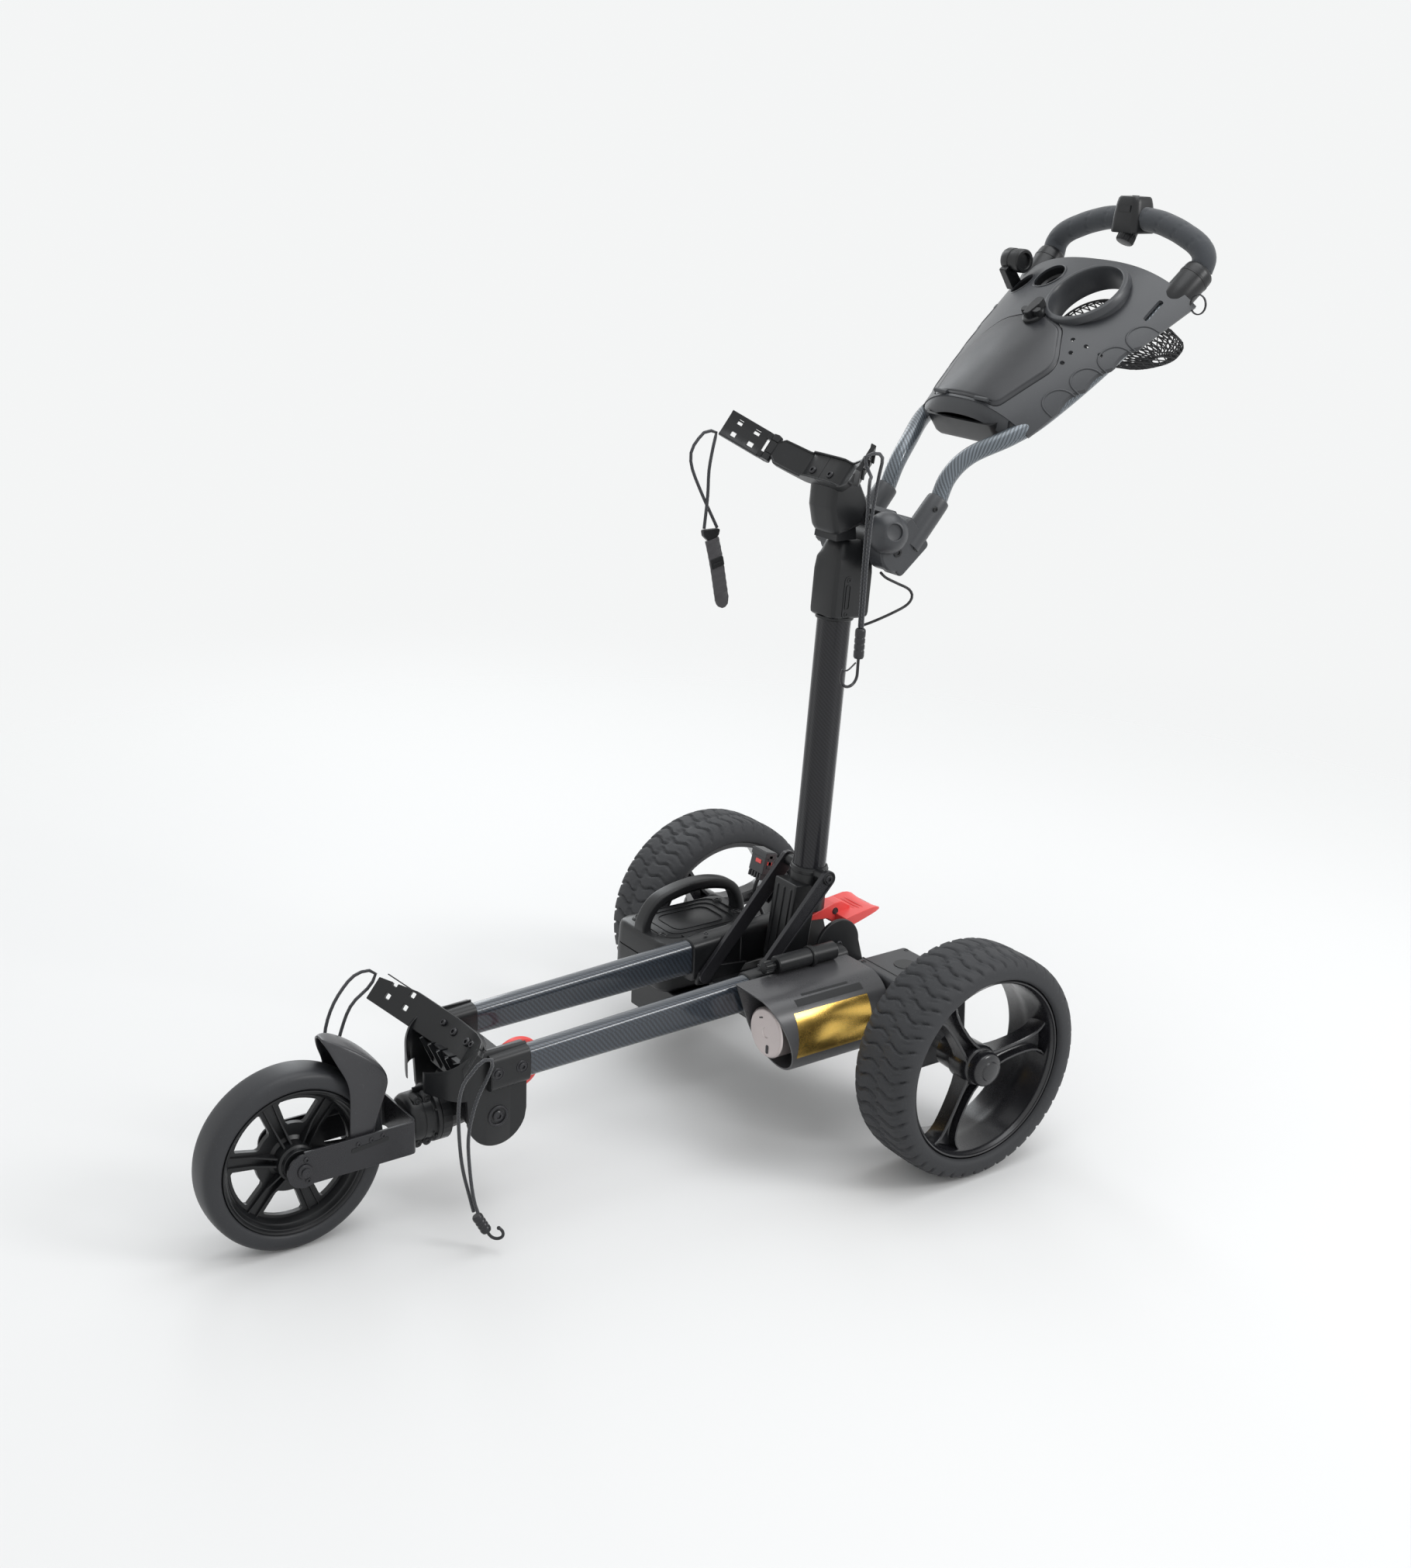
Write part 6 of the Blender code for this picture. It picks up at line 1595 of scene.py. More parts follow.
def upper_cradle():
    """Bowl-shaped bracket on the head with two arms that carry the hinged paddles."""
    body, u = BODY_OF["upper_cradle"], UPPER_U
    bm = bmesh.new()
    for sign in (-1, 1):
        cradle_arm(bm, sign, [(0.0, 0.5310, 0.016, 1.0), (0.0180, 0.5310, 0.016, 1.0),
                              (0.0285, 0.5306, 0.015, 1.0), (0.0345, 0.5268, 0.010, 1.0),
                              (0.0400, 0.5280, 0.008, 1.0), (0.0560, 0.5368, 0.0065, 1.0),
                              (0.0700, 0.5450, 0.0060, 0.98), (0.0760, 0.5488, 0.0060, 0.60),
                              (0.0810, 0.5508, 0.0060, 0.50)], 0.0170)
    show("upper_cradle_arms", bm, "black_moulding", body, ("upper_cradle",), rounding=0.0007)
    bm = bmesh.new()
    neck = rounded([(-0.0480, 0.7220), (-0.0100, 0.7320), (0.0, 0.7600), (-0.0250, 0.8060),
                    (-0.0540, 0.7900), (-0.0560, 0.7560)], 0.010, 6)
    middle = Vector((sum(a for a, b in neck) / len(neck), sum(b for a, b in neck) / len(neck)))
    rings = []
    for x, shrink in ((-0.0250, 0.80), (-0.0225, 0.92), (-0.0180, 0.98), (-0.0100, 1.0),
                      (0.0100, 1.0), (0.0180, 0.98), (0.0225, 0.92), (0.0250, 0.80)):
        rings.append([at(x, middle.x + (a - middle.x) * shrink, middle.y + (b - middle.y) * shrink)
                      for a, b in neck])
    loft(bm, rings)
    box(bm, (0.0420, 0.0300, 0.0250), at(0, -0.0300, 0.7302), taper=(0.9, 0.9))
    for x in (-0.0150, 0.0, 0.0150):
        prism(bm, [(-0.0500, 0.7400), (-0.0440, 0.7300), (-0.0300, 0.7290), (-0.0400, 0.7900),
                   (-0.0545, 0.7850)], 0.0024, side_matrix(x))
    for sign in (-1, 1):
        rod(bm, 0.0063, bag_point(sign * 0.0830, 0.5490, u - 0.0080),
            bag_point(sign * 0.0830, 0.5490, u + 0.0080), 32, lip=0.0006)
    show("upper_cradle_bowl", bm, "black_moulding", body, sharp=38)
    bm = bmesh.new()
    normal = bag_point(0, 1, u) - bag_point(0, 0, u)
    for sign in (-1, 1):
        hex_screw(bm, bag_point(sign * 0.0160, 0.5309, u - 0.0060), normal, 0.0048, 0.0022)
        hex_screw(bm, bag_point(sign * 0.0830, 0.5490, u + 0.0170),
                  bag_point(0, 0, 1) - bag_point(0, 0, 0), 0.0030, 0.0010)
    show("upper_cradle_screws", bm, "black_coated_steel", body, sharp=35)


def paddle(side):
    """A hinged paddle: a plate with raised edges, four square holes and its knuckles."""
    sign = 1 if side == "left" else -1
    node, u = "paddle_" + side, UPPER_U
    body = BODY_OF[node]
    start, end = Vector((0.0905, 0.5560)), Vector((0.1285, 0.5940))
    run = (end - start).normalized()
    rise = Vector((-run.y, run.x))
    length = (end - start).length
    cols = [0.0, 0.0045, 0.0110, 0.0185, 0.0250, 0.0350, 0.0415, 0.0490, length]
    rows = [-0.0170, -0.0152, -0.0122, -0.0050, 0.0050, 0.0122, 0.0152, 0.0170]
    open_cells = {(2, 2), (2, 4), (5, 2), (5, 4)}
    bm = bmesh.new()

    def spot(s, w, up):
        p = start + run * s + rise * up
        return bag_point(sign * p.x, p.y, u + w)

    def height(j):
        return 0.0 if j in (0, 1, len(rows) - 2, len(rows) - 1) else -0.0012

    top = [[bm.verts.new(spot(s, w, height(j))) for j, w in enumerate(rows)] for s in cols]
    low = [[bm.verts.new(spot(s, w, -0.0062)) for w in rows] for s in cols]
    for i in range(len(cols) - 1):
        for j in range(len(rows) - 1):
            if (i, j) in open_cells:
                for (a, b), (c, d) in (((i, j), (i + 1, j)), ((i + 1, j), (i + 1, j + 1)),
                                       ((i + 1, j + 1), (i, j + 1)), ((i, j + 1), (i, j))):
                    bm.faces.new((top[a][b], top[c][d], low[c][d], low[a][b]))
            else:
                bm.faces.new((top[i][j], top[i + 1][j], top[i + 1][j + 1], top[i][j + 1]))
                bm.faces.new((low[i][j], low[i][j + 1], low[i + 1][j + 1], low[i + 1][j]))
    last = len(rows) - 1
    for i in range(len(cols) - 1):
        for j in (0, last):
            bm.faces.new((top[i][j], top[i + 1][j], low[i + 1][j], low[i][j]))
    for j in range(last):
        for i in (0, len(cols) - 1):
            bm.faces.new((top[i][j], top[i][j + 1], low[i][j + 1], low[i][j]))
    show(node + "_plate", bm, "black_moulding", body, (node,), rounding=0.0006)
    bm = bmesh.new()
    for end_side in (-1, 1):
        middle = u + end_side * 0.0125
        rod(bm, 0.0064, bag_point(sign * 0.0830, 0.5490, middle - 0.0042),
            bag_point(sign * 0.0830, 0.5490, middle + 0.0042), 32, lip=0.0006)
        rings = []
        for s in (-0.0100, 0.0020):
            p = start + run * s
            rings.append([bag_point(sign * (p.x + rise.x * b), p.y + rise.y * b, middle + a)
                          for a, b in ((-0.0042, -0.0060), (0.0042, -0.0060), (0.0042, 0.0),
                                       (-0.0042, 0.0))])
        loft(bm, rings)
    for w in (-0.0110, 0.0, 0.0110):
        loft(bm, [[spot(s, w + b, h) for s, b in ((0.0070, -0.0008), (0.0480, -0.0008),
                                                  (0.0480, 0.0008), (0.0070, 0.0008))]
                  for h in (-0.0062, -0.0092)])
    show(node + "_hinge", bm, "black_moulding", body, sharp=35)


side_tubes()
chassis()
drive()
battery()
latch_lever()
mast()
head_housing()
upper_cradle()
paddle("left")
paddle("right")


# ---------------------------------------------------------------- handle

def hub():
    """Hinge hub: two cheeks and a bridge, sockets for the tubes, a dome and a side knob."""
    body = BODY_OF["hub_shell"]
    cheek = rounded([(0.0354, 0.7482), (0.0675, 0.7099), (0.0246, 0.6739), (-0.0075, 0.7122)],
                    0.0070, 6)
    bridge = [(0.0354, 0.7482), (0.0560, 0.7237), (0.0640, 0.7141), (0.0660, 0.7086),
              (0.0576, 0.7014)] + arc(HUB_PIN, 0.0406, -6, 70, 20)
    for sign in (-1, 1):
        bm = bmesh.new()
        prism(bm, cheek, 0.0285, side_matrix(sign * 0.0447))
        show("hub_cheek_left" if sign > 0 else "hub_cheek_right", bm, "satin_grey_moulding", body,
             ("hub_shell",) if sign > 0 else (), rounding=0.0028, segments=4)
    bm = bmesh.new()
    prism(bm, bridge, 0.0598, side_matrix(0))
    show("hub_bridge", bm, "satin_grey_moulding", body, sharp=35)
    bm = bmesh.new()
    for sign in (-1, 1):
        rod(bm, 0.0240, at(sign * 0.0304, *HUB_PIN), at(sign * 0.0590, *HUB_PIN), 64, lip=0.0024)
        low, high = at(sign * 0.0470, 0.0420, 0.7090), at(sign * 0.0472, 0.0870, 0.7610)
        lathe(bm, [(0, 0), (0.0150, 0), (0.0146, 0.0500), (0.0143, 0.0640), (0.0137, 0.0676),
                   (0.0122, 0.0688), (0.0108, 0.0684), (0.0108, 0.0500), (0, 0.0500)],
              low, high - low, 48)
    profile = [(0.0, -0.0200)]
    profile += [(0.0252 * math.cos(math.radians(a)), 0.0252 * math.sin(math.radians(a)))
                for a in range(-45, 64, 6)]
    profile += [(0.0106, 0.0226), (0.0098, 0.0222), (0.0092, 0.0196), (0.0, 0.0184)]
    lathe(bm, profile, at(0.0552, 0.0020, 0.7300), (0.93, -0.26, 0.24), 72)
    show("hub_rounds", bm, "satin_grey_moulding", body, sharp=36)
    bm = bmesh.new()
    grip_ring = []
    for x, r in ((-0.0570, 0.0105), (-0.0580, 0.0120), (-0.0700, 0.0112), (-0.0730, 0.0100),
                 (-0.0740, 0.0080)):
        grip_ring.append([at(x, HUB_PIN[0] - 0.009 + (r - 0.0006 * (k % 4 in (0, 1)))
                             * math.cos(2 * math.pi * k / 72),
                             HUB_PIN[1] + (r - 0.0006 * (k % 4 in (0, 1)))
                             * math.sin(2 * math.pi * k / 72)) for k in range(72)])
    loft(bm, grip_ring)
    for x, y, z in ((0.0605, 0.0704, 0.7528), (-0.0605, 0.0704, 0.7528)):
        hex_screw(bm, at(x, y, z), (1 if x > 0 else -1, 0, 0), 0.0034, 0.0012)
    hex_screw(bm, at(0.0590, 0.0458, 0.7102), (1, 0, 0), 0.0048, 0.0016)
    hex_screw(bm, at(0.0590, *HUB_PIN), (1, 0, 0), 0.0060, 0.0016)
    lathe(bm, [(0.0247, -0.0010), (0.0252, -0.0010), (0.0252, 0.0006), (0.0247, 0.0006)],
          at(0.0560, 0.0018, 0.7302), (0.93, -0.26, 0.24), 72, closed=True)
    show("hub_knob_and_screws", bm, "black_moulding", body, sharp=32)


def handle_tubes():
    spots = [(0.0470, 0.0560, 0.7180), (0.0472, 0.0817, 0.7512), (0.0475, 0.0985, 0.7860),
             (0.0560, 0.1240, 0.8120), (0.0800, 0.1660, 0.8355)]
    for side, sign in (("left", 1), ("right", -1)):
        points = [at(sign * x, y, z) for x, y, z in spots]
        points += [console_frame(s, h, sign * x) for s, h, x in
                   ((0.0400, -0.0450, 0.0895), (0.1500, -0.0440, 0.1060),
                    (0.2990, -0.0335, 0.1245))]
        bm = bmesh.new()
        sweep(bm, smooth_path(points, 0.0060), circle(0.0105, 40))
        show("handle_tube_" + side + "_carbon", bm, "carbon_handle",
             BODY_OF["handle_tube_" + side], ("handle_tube_" + side,), sharp=60)


def grip():
    """Foam grip wound as a strip, with its seam running round it."""
    half = [at(x, 0.4144 + (z - 1.0233) * 0.155, z) for x, z in
            ((0.1248, 1.0233), (0.1240, 1.0400), (0.1120, 1.0530), (0.0800, 1.0665),
             (0.0420, 1.0760), (0.0, 1.0785))]
    right = [console_frame(0.3016, -0.0330, 0.1245)] + half[1:]
    left = [Vector((-p.x, p.y, p.z)) for p in right[:-1]][::-1]
    path = smooth_path(right + left, 0.0026)

    def wound(way):
        points = []
        for k in range(56):
            turn = k / 56
            seam = abs(((turn + way / 0.0300) % 1.0) - 0.5) / 0.5
            radius = 0.0145 - 0.0011 * max(0.0, (seam - 0.93) / 0.07) - 0.0002 * seam
            points.append((radius * math.cos(2 * math.pi * turn),
                           radius * math.sin(2 * math.pi * turn)))
        return points

    bm = bmesh.new()
    sweep(bm, path, wound)
    show("loop_grip_foam", bm, "grip_foam", BODY_OF["loop_grip"], ("loop_grip",), sharp=50)


def dial():
    """The switch housing clamped on the grip, and the speed dial under it."""
    body = BODY_OF["loop_cap"]
    bm = bmesh.new()
    rings = []
    for z, w, d, r in ((-0.0220, 0.0420, 0.0360, 0.007), (-0.0205, 0.0440, 0.0380, 0.008),
                       (0.0, 0.0420, 0.0366, 0.009), (0.0140, 0.0372, 0.0336, 0.009),
                       (0.0195, 0.0346, 0.0316, 0.009), (0.0218, 0.0310, 0.0280, 0.008)):
        rings.append([at(a, 0.4215 + b, 1.0825 + z) for a, b in round_box(w, d, r, 6)])
    loft(bm, rings)
    box(bm, (0.0200, 0.0016, 0.0080), at(0, 0.4215 - 0.0180, 1.0900))
    show("loop_housing", bm, "black_moulding", body, ("loop_cap",), sharp=36)
    bm = bmesh.new()
    for sign in (-1, 1):
        hex_screw(bm, at(sign * 0.0130, 0.4045, 1.0730), (0, -1, 0.1), 0.0026, 0.0008)
    lathe(bm, [(0, 0.0010), (0.0044, 0.0010), (0.0050, 0.0), (0, 0.0)],
          at(0, 0.4215, 1.1043), (0, 0, 1), 28)
    show("loop_housing_screws", bm, "black_coated_steel", body, sharp=35)
    centre, down = at(0, 0.4170, 1.0635), Vector((0, -0.5, -0.866))
    side, other = Vector((1, 0, 0)), down.cross(Vector((1, 0, 0))).normalized()
    bm = bmesh.new()
    rings = []
    for h, r, ridge in ((0.0004, 0.0112, 0.0), (0.0050, 0.0112, 0.0), (0.0056, 0.0108, 0.0),
                        (0.0064, 0.0116, 0.0010), (0.0150, 0.0116, 0.0010),
                        (0.0168, 0.0104, 0.0006), (0.0172, 0.0092, 0.0)):
        rings.append([centre + down * h
                      + side * ((r - ridge * (k % 4 in (0, 1))) * math.cos(2 * math.pi * k / 80))
                      + other * ((r - ridge * (k % 4 in (0, 1))) * math.sin(2 * math.pi * k / 80))
                      for k in range(80)])
    loft(bm, rings)
    show("speed_dial", bm, "black_moulding", BODY_OF["speed_knob"], ("speed_knob",), sharp=30)


def side_holder():
    """Round socket on the console's side for an umbrella or a gadget holder."""
    body = BODY_OF["accessory_mount"]
    bm = bmesh.new()
    lathe(bm, [(0.0, 0.0040), (0.0090, 0.0040), (0.0096, 0.0010), (0.0104, 0.0), (0.0136, 0.0),
               (0.0148, 0.0014), (0.0150, 0.0030), (0.0150, 0.0120), (0.0142, 0.0126),
               (0.0142, 0.0180), (0.0150, 0.0186), (0.0150, 0.0280), (0.0138, 0.0310),
               (0.0, 0.0310)], at(-0.1010, 0.3400, 1.0190), (-1, 0, 0), 64)
    show("side_holder_socket", bm, "black_moulding", body, ("accessory_mount",), sharp=34)
    bm = bmesh.new()
    box(bm, (0.0140, 0.0170, 0.0320), at(-0.1230, 0.3370, 0.9990), tilt=CONSOLE_TILT,
        taper=(0.9, 0.9))
    show("side_holder_arm", bm, "black_moulding", body, rounding=0.0020, segments=3)


# ---------------------------------------------------------------- console

CONSOLE_TOP = 0.2660
CUP, CUP_R = (0.0400, 0.2000), 0.0465
BALL_HOLES = ((-0.0480, 0.2260, 0.0210), (-0.0950, 0.2180, 0.0165))    # x, s, radius
TEE_HOLES = ((0.074, 0.130), (0.092, 0.130), (0.110, 0.130), (0.083, 0.113), (0.083, 0.096))
SCALLOPS = ((0.0323, 0.0738), (0.0738, 0.1148), (0.1148, 0.1576), (0.1576, 0.1990))
SCALLOP_R = 0.0555


def console_frame(s, h=0.0, x=0.0):
    """A point on the console: x across, s up along it, h out of its top."""
    return at(x, CONSOLE_ORIGIN[0] + s * math.cos(CONSOLE_TILT) - h * math.sin(CONSOLE_TILT),
              CONSOLE_ORIGIN[1] + s * math.sin(CONSOLE_TILT) + h * math.cos(CONSOLE_TILT))


CONSOLE_OUT = Vector((0, -math.sin(CONSOLE_TILT), math.cos(CONSOLE_TILT)))


def console_matrix():
    return frame_of(console_frame(0), (1, 0, 0), (0, math.cos(CONSOLE_TILT),
                                                 math.sin(CONSOLE_TILT)))


def half_width(s):
    """Half the console's width at s along it."""
    t = min(max(s / 0.240, 0.0), 1.1)
    return 0.0970 + 0.0550 * t ** 0.9


def deck_height(x, s):
    """How far the deck stands out of the console's plane."""
    share = min(abs(x) / half_width(s), 1.0)
    crown = 0.004 * math.sin(math.pi * min(max(s / CONSOLE_TOP, 0.0), 1.0))
    return crown - 0.0430 * share ** 2.6


def lid_outline(grow=0.0, count=120):
    """The lid's shield shape as evenly spaced points."""
    half = [(0.0560, 0.0040, 0.012), (0.0830, 0.0880, 0.040), (0.0520, 0.1400, 0.030),
            (0.0, 0.1580, 0.0)]
    right = [(x + grow * (1 if x else 0), s + (grow if s > 0.1 else -grow), r)
             for x, s, r in half]
    left = [(-x, s, r) for x, s, r in right[:-1]][::-1]
    corners = [Vector(p) for p in rounded(right + left, 0.0, 8)]
    lengths = [(b - a).length for a, b in zip(corners, corners[1:] + corners[:1])]
    total, points = sum(lengths), []
    for k in range(count):
        way, i = total * k / count, 0
        while way > lengths[i]:
            way -= lengths[i]
            i += 1
        a, b = corners[i], corners[(i + 1) % len(corners)]
        points.append(a.lerp(b, way / max(lengths[i], 1e-9)))
    return points


def deck():
    """The console's domed top with its holes, its scalloped edges and a thin wall."""
    body, matrix = BODY_OF["console_deck"], console_matrix()
    rows, columns = 44, 56
    bm = bmesh.new()
    layers = []
    for drop in (0.0, 0.0034):
        grid = []
        for i in range(rows + 1):
            line = []
            for j in range(columns + 1):
                side = 2 * j / columns - 1
                share = i / rows
                s = share * CONSOLE_TOP
                if share > 0.8:
                    s *= 1 - 0.055 * abs(side) ** 3 * (share - 0.8) / 0.2
                x = side * half_width(s)
                line.append(bm.verts.new(matrix @ Vector(
                    (x * (1 - 5.4 * drop * side ** 6), s, deck_height(x, s) - drop))))
            grid.append(line)
        layers.append(grid)
    top, low = layers
    for i in range(rows):
        for j in range(columns):
            bm.faces.new((top[i][j], top[i][j + 1], top[i + 1][j + 1], top[i + 1][j]))
            bm.faces.new((low[i][j], low[i + 1][j], low[i + 1][j + 1], low[i][j + 1]))
    for i in range(rows):
        for j in (0, columns):
            bm.faces.new((top[i][j], top[i + 1][j], low[i + 1][j], low[i][j]))
    for j in range(columns):
        for i in (0, rows):
            bm.faces.new((top[i][j], top[i][j + 1], low[i][j + 1], low[i][j]))
    bmesh.ops.recalc_face_normals(bm, faces=bm.faces)
    piece = show("console_top", bm, "satin_grey_moulding", body, ("console_deck",), sharp=30)

    def upright(outline, low=-0.06, high=0.05):
        tool = bmesh.new()
        loft(tool, [[matrix @ Vector((a, b, h)) for a, b in outline] for h in (low, high)])
        return cutter(tool)

    def hole(x, s, radius, sides=64):
        return upright([(x + a, s + b) for a, b in circle(radius, sides)])

    tools = [upright([(p.x, p.y) for p in lid_outline(0.0007)]), hole(*CUP, CUP_R + 0.0008)]
    tools += [hole(*ball) for ball in BALL_HOLES]
    tools += [hole(x, s, 0.0028, 20) for x, s in TEE_HOLES]
    tools.append(upright([(0.1230 + a, 0.2160 + b) for a, b in round_box(0.006, 0.034, 0.0028)]))
    for sign in (-1, 1):
        for low_end, high_end in SCALLOPS[:3]:
            middle = (low_end + high_end) / 2
            reach = half_width(middle) + SCALLOP_R - 0.0042
            tools.append(hole(sign * reach, middle, SCALLOP_R, 96))
    cut(piece, *tools)


def deck_trim():
    """Raised rims, tube collars and the cup's wall."""
    body, matrix = BODY_OF["console_deck"], console_matrix()

    def rim(x, s, radius, wide, tall):
        rings = []
        for share, h in ((0.0, -0.0030), (0.0, tall * 0.7), (0.3, tall), (0.8, tall * 0.8),
                         (1.0, 0.0), (1.0, -0.003)):
            r = radius + wide * share
            rings.append([matrix @ Vector((x + a, s + b, deck_height(x + a, s + b) + h))
                          for a, b in circle(r, 72)])
        loft(bm, rings, caps=(False, False))

    bm = bmesh.new()
    rim(*BALL_HOLES[0], 0.0026, 0.0014)
    rim(*BALL_HOLES[1], 0.0024, 0.0012)
    show("console_hole_rims", bm, "satin_grey_moulding", body, sharp=50)
    bm = bmesh.new()
    for x, s, radius in BALL_HOLES:
        rings = []
        for grow, h in ((0.0004, -0.0020), (0.0002, -0.0120), (-0.0030, -0.0150),
                        (-0.0046, -0.0134), (-0.0014, -0.0110), (-0.0012, -0.0020)):
            rings.append([matrix @ Vector((x + a, s + b, deck_height(x + a * 0.9, s + b) + h))
                          for a, b in circle(radius + grow, 56)])
        loft(bm, rings, caps=(False, False))
        for h in (-0.0146, -0.0136):
            spots = [(x + a, s + b) for a, b in circle(radius - 0.0035, 40)]
            bm.faces.new([bm.verts.new(matrix @ Vector((a, b, deck_height(a, b) + h)))
                          for a, b in spots])
    show("ball_cups", bm, "black_moulding", body, sharp=50)
    bm = bmesh.new()
    for sign in (-1, 1):
        for low_end, high_end in SCALLOPS:
            path = []
            for k in range(21):
                angle = math.pi * k / 20
                s = (low_end + high_end) / 2 - (high_end - low_end) * 0.44 * math.cos(angle)
                x = half_width(s) - 0.0010 - 0.0190 * math.sin(angle) ** 0.7
                path.append(matrix @ Vector((sign * x, s, deck_height(x, s) - 0.0002)))
            tube_on(bm, path, 0.0013, 8)
    show("grip_ridges", bm, "satin_grey_moulding", body, sharp=50)
    bm = bmesh.new()
    split = matrix @ Vector((0.1600, 0.2500, -0.0380))
    for shift in (-0.0007, 0.0007):
        tube_on(bm, [split + Vector((0.0115 * math.cos(a), shift, 0.0115 * math.sin(a)))
                     for a in (2 * math.pi * k / 48 for k in range(49))], 0.0008, 8)
    show("split_ring", bm, "black_coated_steel", body, sharp=60)
    bm = bmesh.new()
    wall = [(CUP_R, -0.0210), (CUP_R, 0.0100), (CUP_R + 0.0012, 0.0128), (CUP_R + 0.0040, 0.0136),
            (CUP_R + 0.0072, 0.0124), (CUP_R + 0.0086, 0.0096), (CUP_R + 0.0090, 0.0040),
            (CUP_R + 0.0052, 0.0026), (CUP_R + 0.0046, -0.0210)]
    lathe(bm, wall, matrix @ Vector((CUP[0], CUP[1], -0.0060)), CONSOLE_OUT, 96, closed=True)
    show("cup_ring", bm, "satin_grey_moulding", body, sharp=40)
    bm = bmesh.new()
    for sign in (-1, 1):
        low = console_frame(0.2440, -0.0400, sign * 0.1190)
        high = console_frame(0.3010, -0.0330, sign * 0.1245)
        long = (high - low).length
        lathe(bm, [(0.0110, 0.0010), (0.0165, 0.0), (0.0182, 0.0060), (0.0190, 0.0200),
                   (0.0190, long - 0.0060), (0.0184, long - 0.0018), (0.0170, long),
                   (0.0110, long)], low, high - low, 56, closed=True)
        lathe(bm, [(0.0188, long - 0.0150), (0.0195, long - 0.0145), (0.0195, long - 0.0115),
                   (0.0188, long - 0.0110)], low, high - low, 56, closed=True)
    show("console_collars", bm, "black_moulding", body, sharp=36)


def lid():
    """The compartment's lid: a raised shield over the deck, with a hinge barrel."""
    body, matrix = BODY_OF["console_lid"], console_matrix()
    outline = lid_outline(-0.0004)
    middle = Vector((0.0, 0.0760))
    bm = bmesh.new()
    rings = []
    for share, lift in ((0.985, -0.0034), (1.0, -0.0030), (1.0, -0.0004), (0.988, 0.0004),
                        (0.955, 0.0005), (0.948, 0.0012), (0.938, 0.0017), (0.920, 0.0019),
                        (0.70, 0.0020), (0.52, 0.0020), (0.34, 0.0020), (0.17, 0.0020),
                        (0.04, 0.0020)):
        ring = []
        for p in outline:
            spot = middle + (p - middle) * share
            ring.append(matrix @ Vector((spot.x, spot.y, deck_height(spot.x, spot.y) + lift)))
        rings.append(ring)
    loft(bm, rings)
    show("console_lid_shield", bm, "lid_moulding", body, ("console_lid",), sharp=40)
    bm = bmesh.new()
    for x in (-0.036, 0.036):
        rod(bm, 0.0026, matrix @ Vector((x - 0.011, 0.0040, 0.0004)),
            matrix @ Vector((x + 0.011, 0.0040, 0.0004)), 20, lip=0.0004)
    show("console_lid_barrels", bm, "satin_grey_moulding", body, sharp=40)
    bm = bmesh.new()
    base = matrix @ Vector((0, 0.1460, 0.0050))
    lathe(bm, [(0, 0.0060), (0.0128, 0.0060), (0.0142, 0.0046), (0.0146, -0.002), (0, -0.002)],
          base, CONSOLE_OUT, 56)
    wing = frame_of(matrix @ Vector((0, 0.1485, 0.0140)), (1, 0, 0),
                    (0, math.cos(CONSOLE_TILT), math.sin(CONSOLE_TILT)))
    prism(bm, rounded([(0.0040, -0.0125, 0.004), (0.0070, 0.0060, 0.006), (0.0056, 0.0190, 0.005),
                       (-0.0056, 0.0190, 0.005), (-0.0070, 0.0060, 0.006),
                       (-0.0040, -0.0125, 0.004)], 0.003, 5), 0.0110, wing)
    prism(bm, round_box(0.0310, 0.0086, 0.0038, 5), 0.0090,
          wing @ Matrix.Translation((0, -0.0025, -0.0005)))
    show("lid_turn_button", bm, "black_moulding", BODY_OF["lid_latch"], ("lid_latch",),
         rounding=0.0008, segments=3)


def tray():
    """The bin under the lid, open above, with an arched skirt in front."""
    body, matrix = BODY_OF["console_tray"], console_matrix()
    bm = bmesh.new()
    rings = []
    for w, d, r, h in ((0.1140, 0.1400, 0.008, -0.0580), (0.1200, 0.1460, 0.010, -0.0560),
                       (0.1240, 0.1500, 0.011, -0.0500), (0.1240, 0.1500, 0.011, -0.0220),
                       (0.1180, 0.1440, 0.009, -0.0220), (0.1180, 0.1440, 0.009, -0.0550)):
        rings.append([matrix @ Vector((a, 0.0600 + b, h)) for a, b in round_box(w, d, r, 6)])
    loft(bm, rings)
    show("console_bin", bm, "black_moulding", body, ("console_tray",), sharp=36)
    bm = bmesh.new()
    rings = []
    for k in range(41):
        x = -0.0740 + 0.1480 * k / 40
        share = x / 0.0740
        top = deck_height(x, 0.0) - 0.0006
        drop = 0.0150 + 0.0040 * share ** 2
        rings.append([matrix @ Vector((x, s, h)) for s, h in (
            (0.0015, top), (-0.0030, top - 0.0030), (-0.0090, top - drop * 0.6),
            (-0.0125, top - drop), (-0.0100, top - drop - 0.0008), (-0.0062, top - drop * 0.6),
            (0.0, top - 0.0045), (0.0045, top - 0.0030))])
    loft(bm, rings)
    show("console_skirt", bm, "satin_grey_moulding", body, sharp=50)


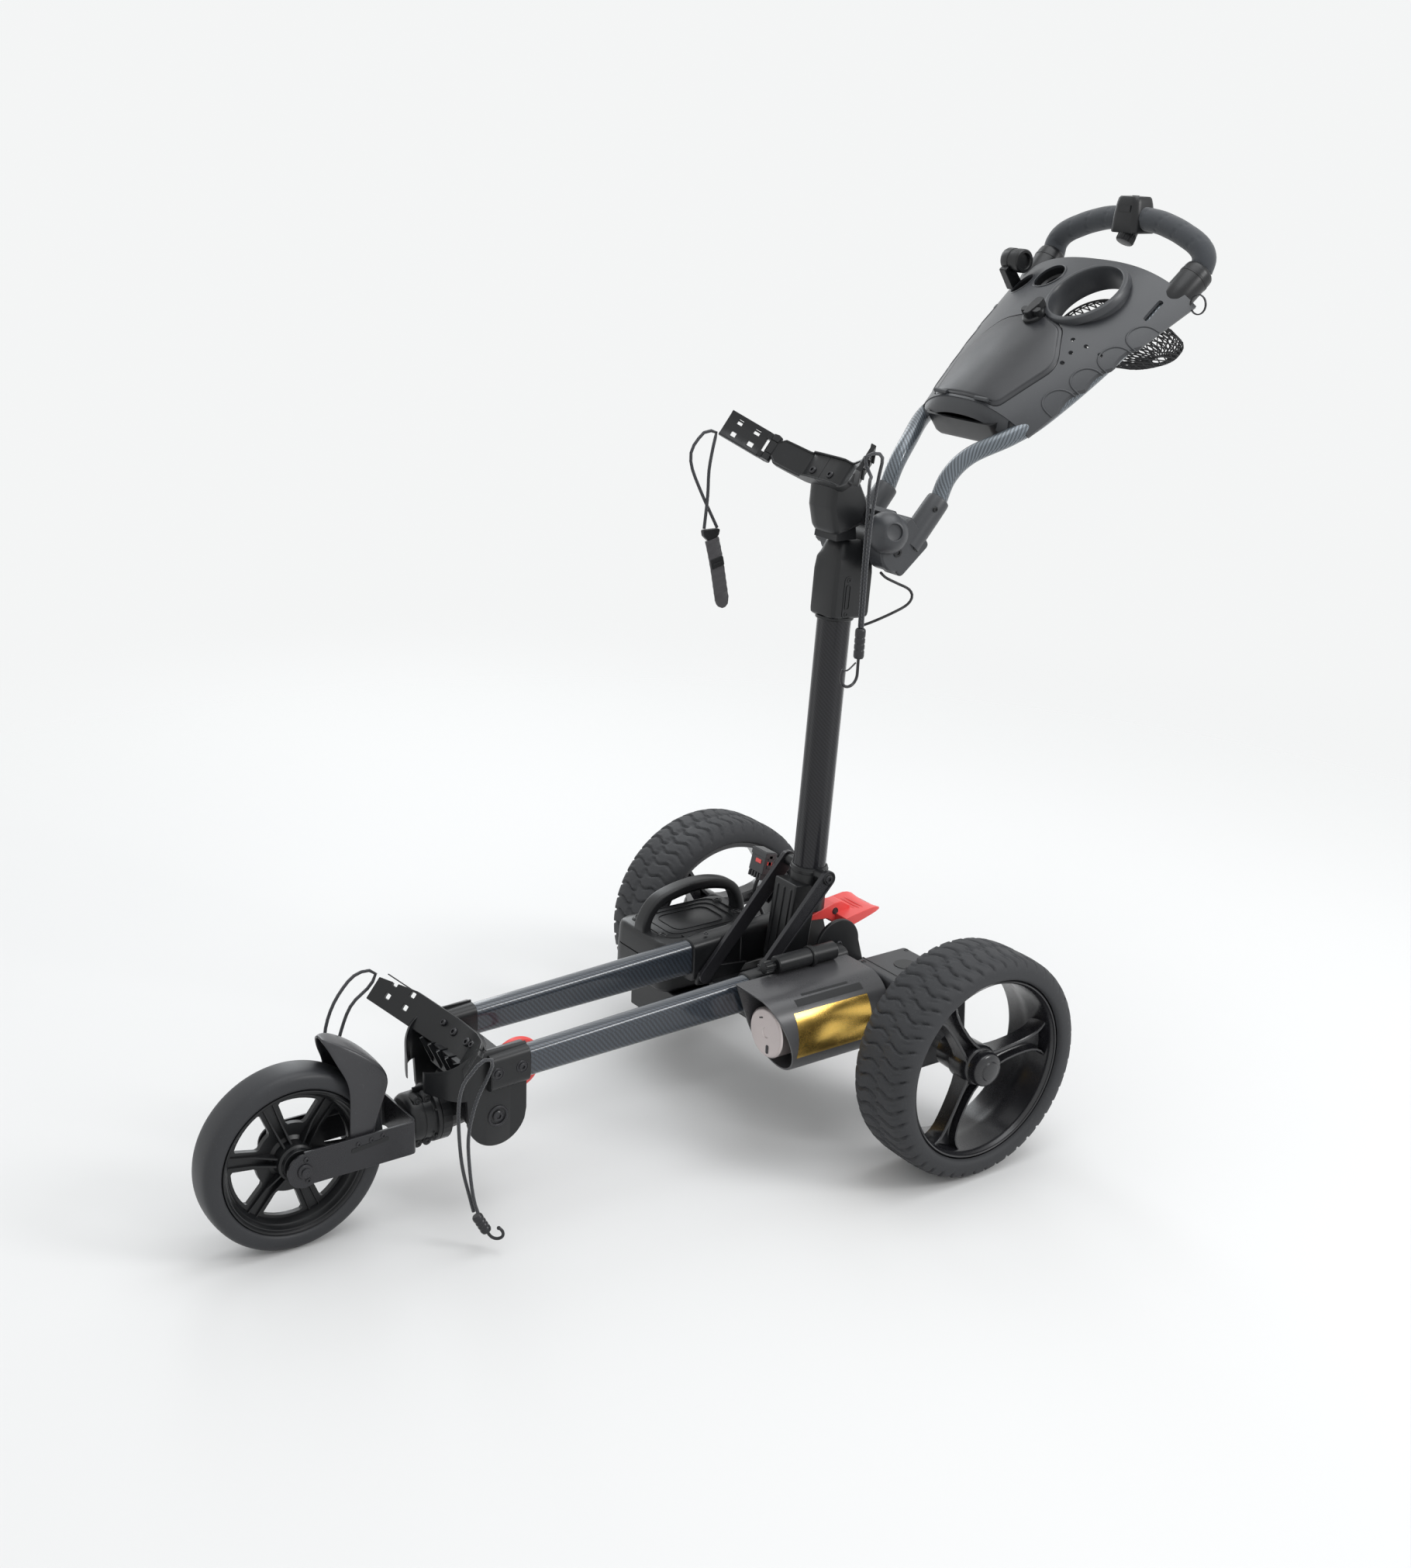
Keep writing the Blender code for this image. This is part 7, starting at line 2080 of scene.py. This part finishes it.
def net():
    """Knotted net under the cup ring: two sets of crossing threads, a rim cord and hoops."""
    levels = [((0.0400, 0.3170, 0.9580), 0.0440, 36), ((0.0520, 0.3400, 0.9440), 0.0460, 34),
              ((0.0700, 0.3700, 0.9320), 0.0470, 30), ((0.0820, 0.3880, 0.9230), 0.0400, 26),
              ((0.0870, 0.3960, 0.9170), 0.0240, 22), ((0.0880, 0.3980, 0.9150), 0.0090, 20)]

    def spot(level, turn):
        low = min(int(level), len(levels) - 2)
        t = level - low
        points = []
        for centre, radius, tilt in (levels[low], levels[low + 1]):
            place = Matrix.Translation(at(*centre)) @ Matrix.Rotation(math.radians(tilt), 4, "X")
            angle = 2 * math.pi * turn
            points.append(place @ Vector((radius * math.cos(angle), radius * math.sin(angle), 0)))
        return points[0].lerp(points[1], t)

    bm = bmesh.new()
    last = len(levels) - 1
    for way in (-1, 1):
        for k in range(32):
            path = [spot(last * i / 24, k / 32 + way * 0.19 * (i / 24)) for i in range(25)]
            tube_on(bm, path, 0.00085, 5)
    for level in (0.0, 0.12, 4.9):
        ring = [spot(level, k / 60) for k in range(61)]
        tube_on(bm, ring, 0.0013 if level < 0.1 else 0.0008, 6)
    show("net_threads", bm, "net_thread", BODY_OF["net_bag"], ("net_bag",), sharp=60)


hub()
handle_tubes()
grip()
dial()
side_holder()
deck()
deck_trim()
lid()
tray()
net()


# ---------------------------------------------------------------- the rest of the frame

PLAIN_NODES = {
    "front_block": "black_moulding", "fold_bolt": "black_coated_steel",
    "front_axle": "black_coated_steel", "rear_axle": "bright_steel", "hub_pin": "bright_steel",
    "front_arm": "black_moulding",
}


def keep_frame_nodes():
    """The nodes whose CAD shape is already right keep it, with a real finish."""
    for node, finish in PLAIN_NODES.items():
        piece = frame["nodes"][node]
        piece.data.materials.clear()
        piece.data.materials.append(FINISHES[finish])
    hidden = {n for o in bpy.context.scene.objects for n in o.get("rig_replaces", [])}
    for node in frame["nodes"]:
        if node not in PLAIN_NODES and node not in hidden:
            slot = frame["nodes"][node].data.materials[0].name.split(".")[0]
            finish = next((f for f, s in SLOT_OF.items() if s == slot), "black_moulding")
            refined(node, finish)


keep_frame_nodes()
bpy.context.view_layer.update()
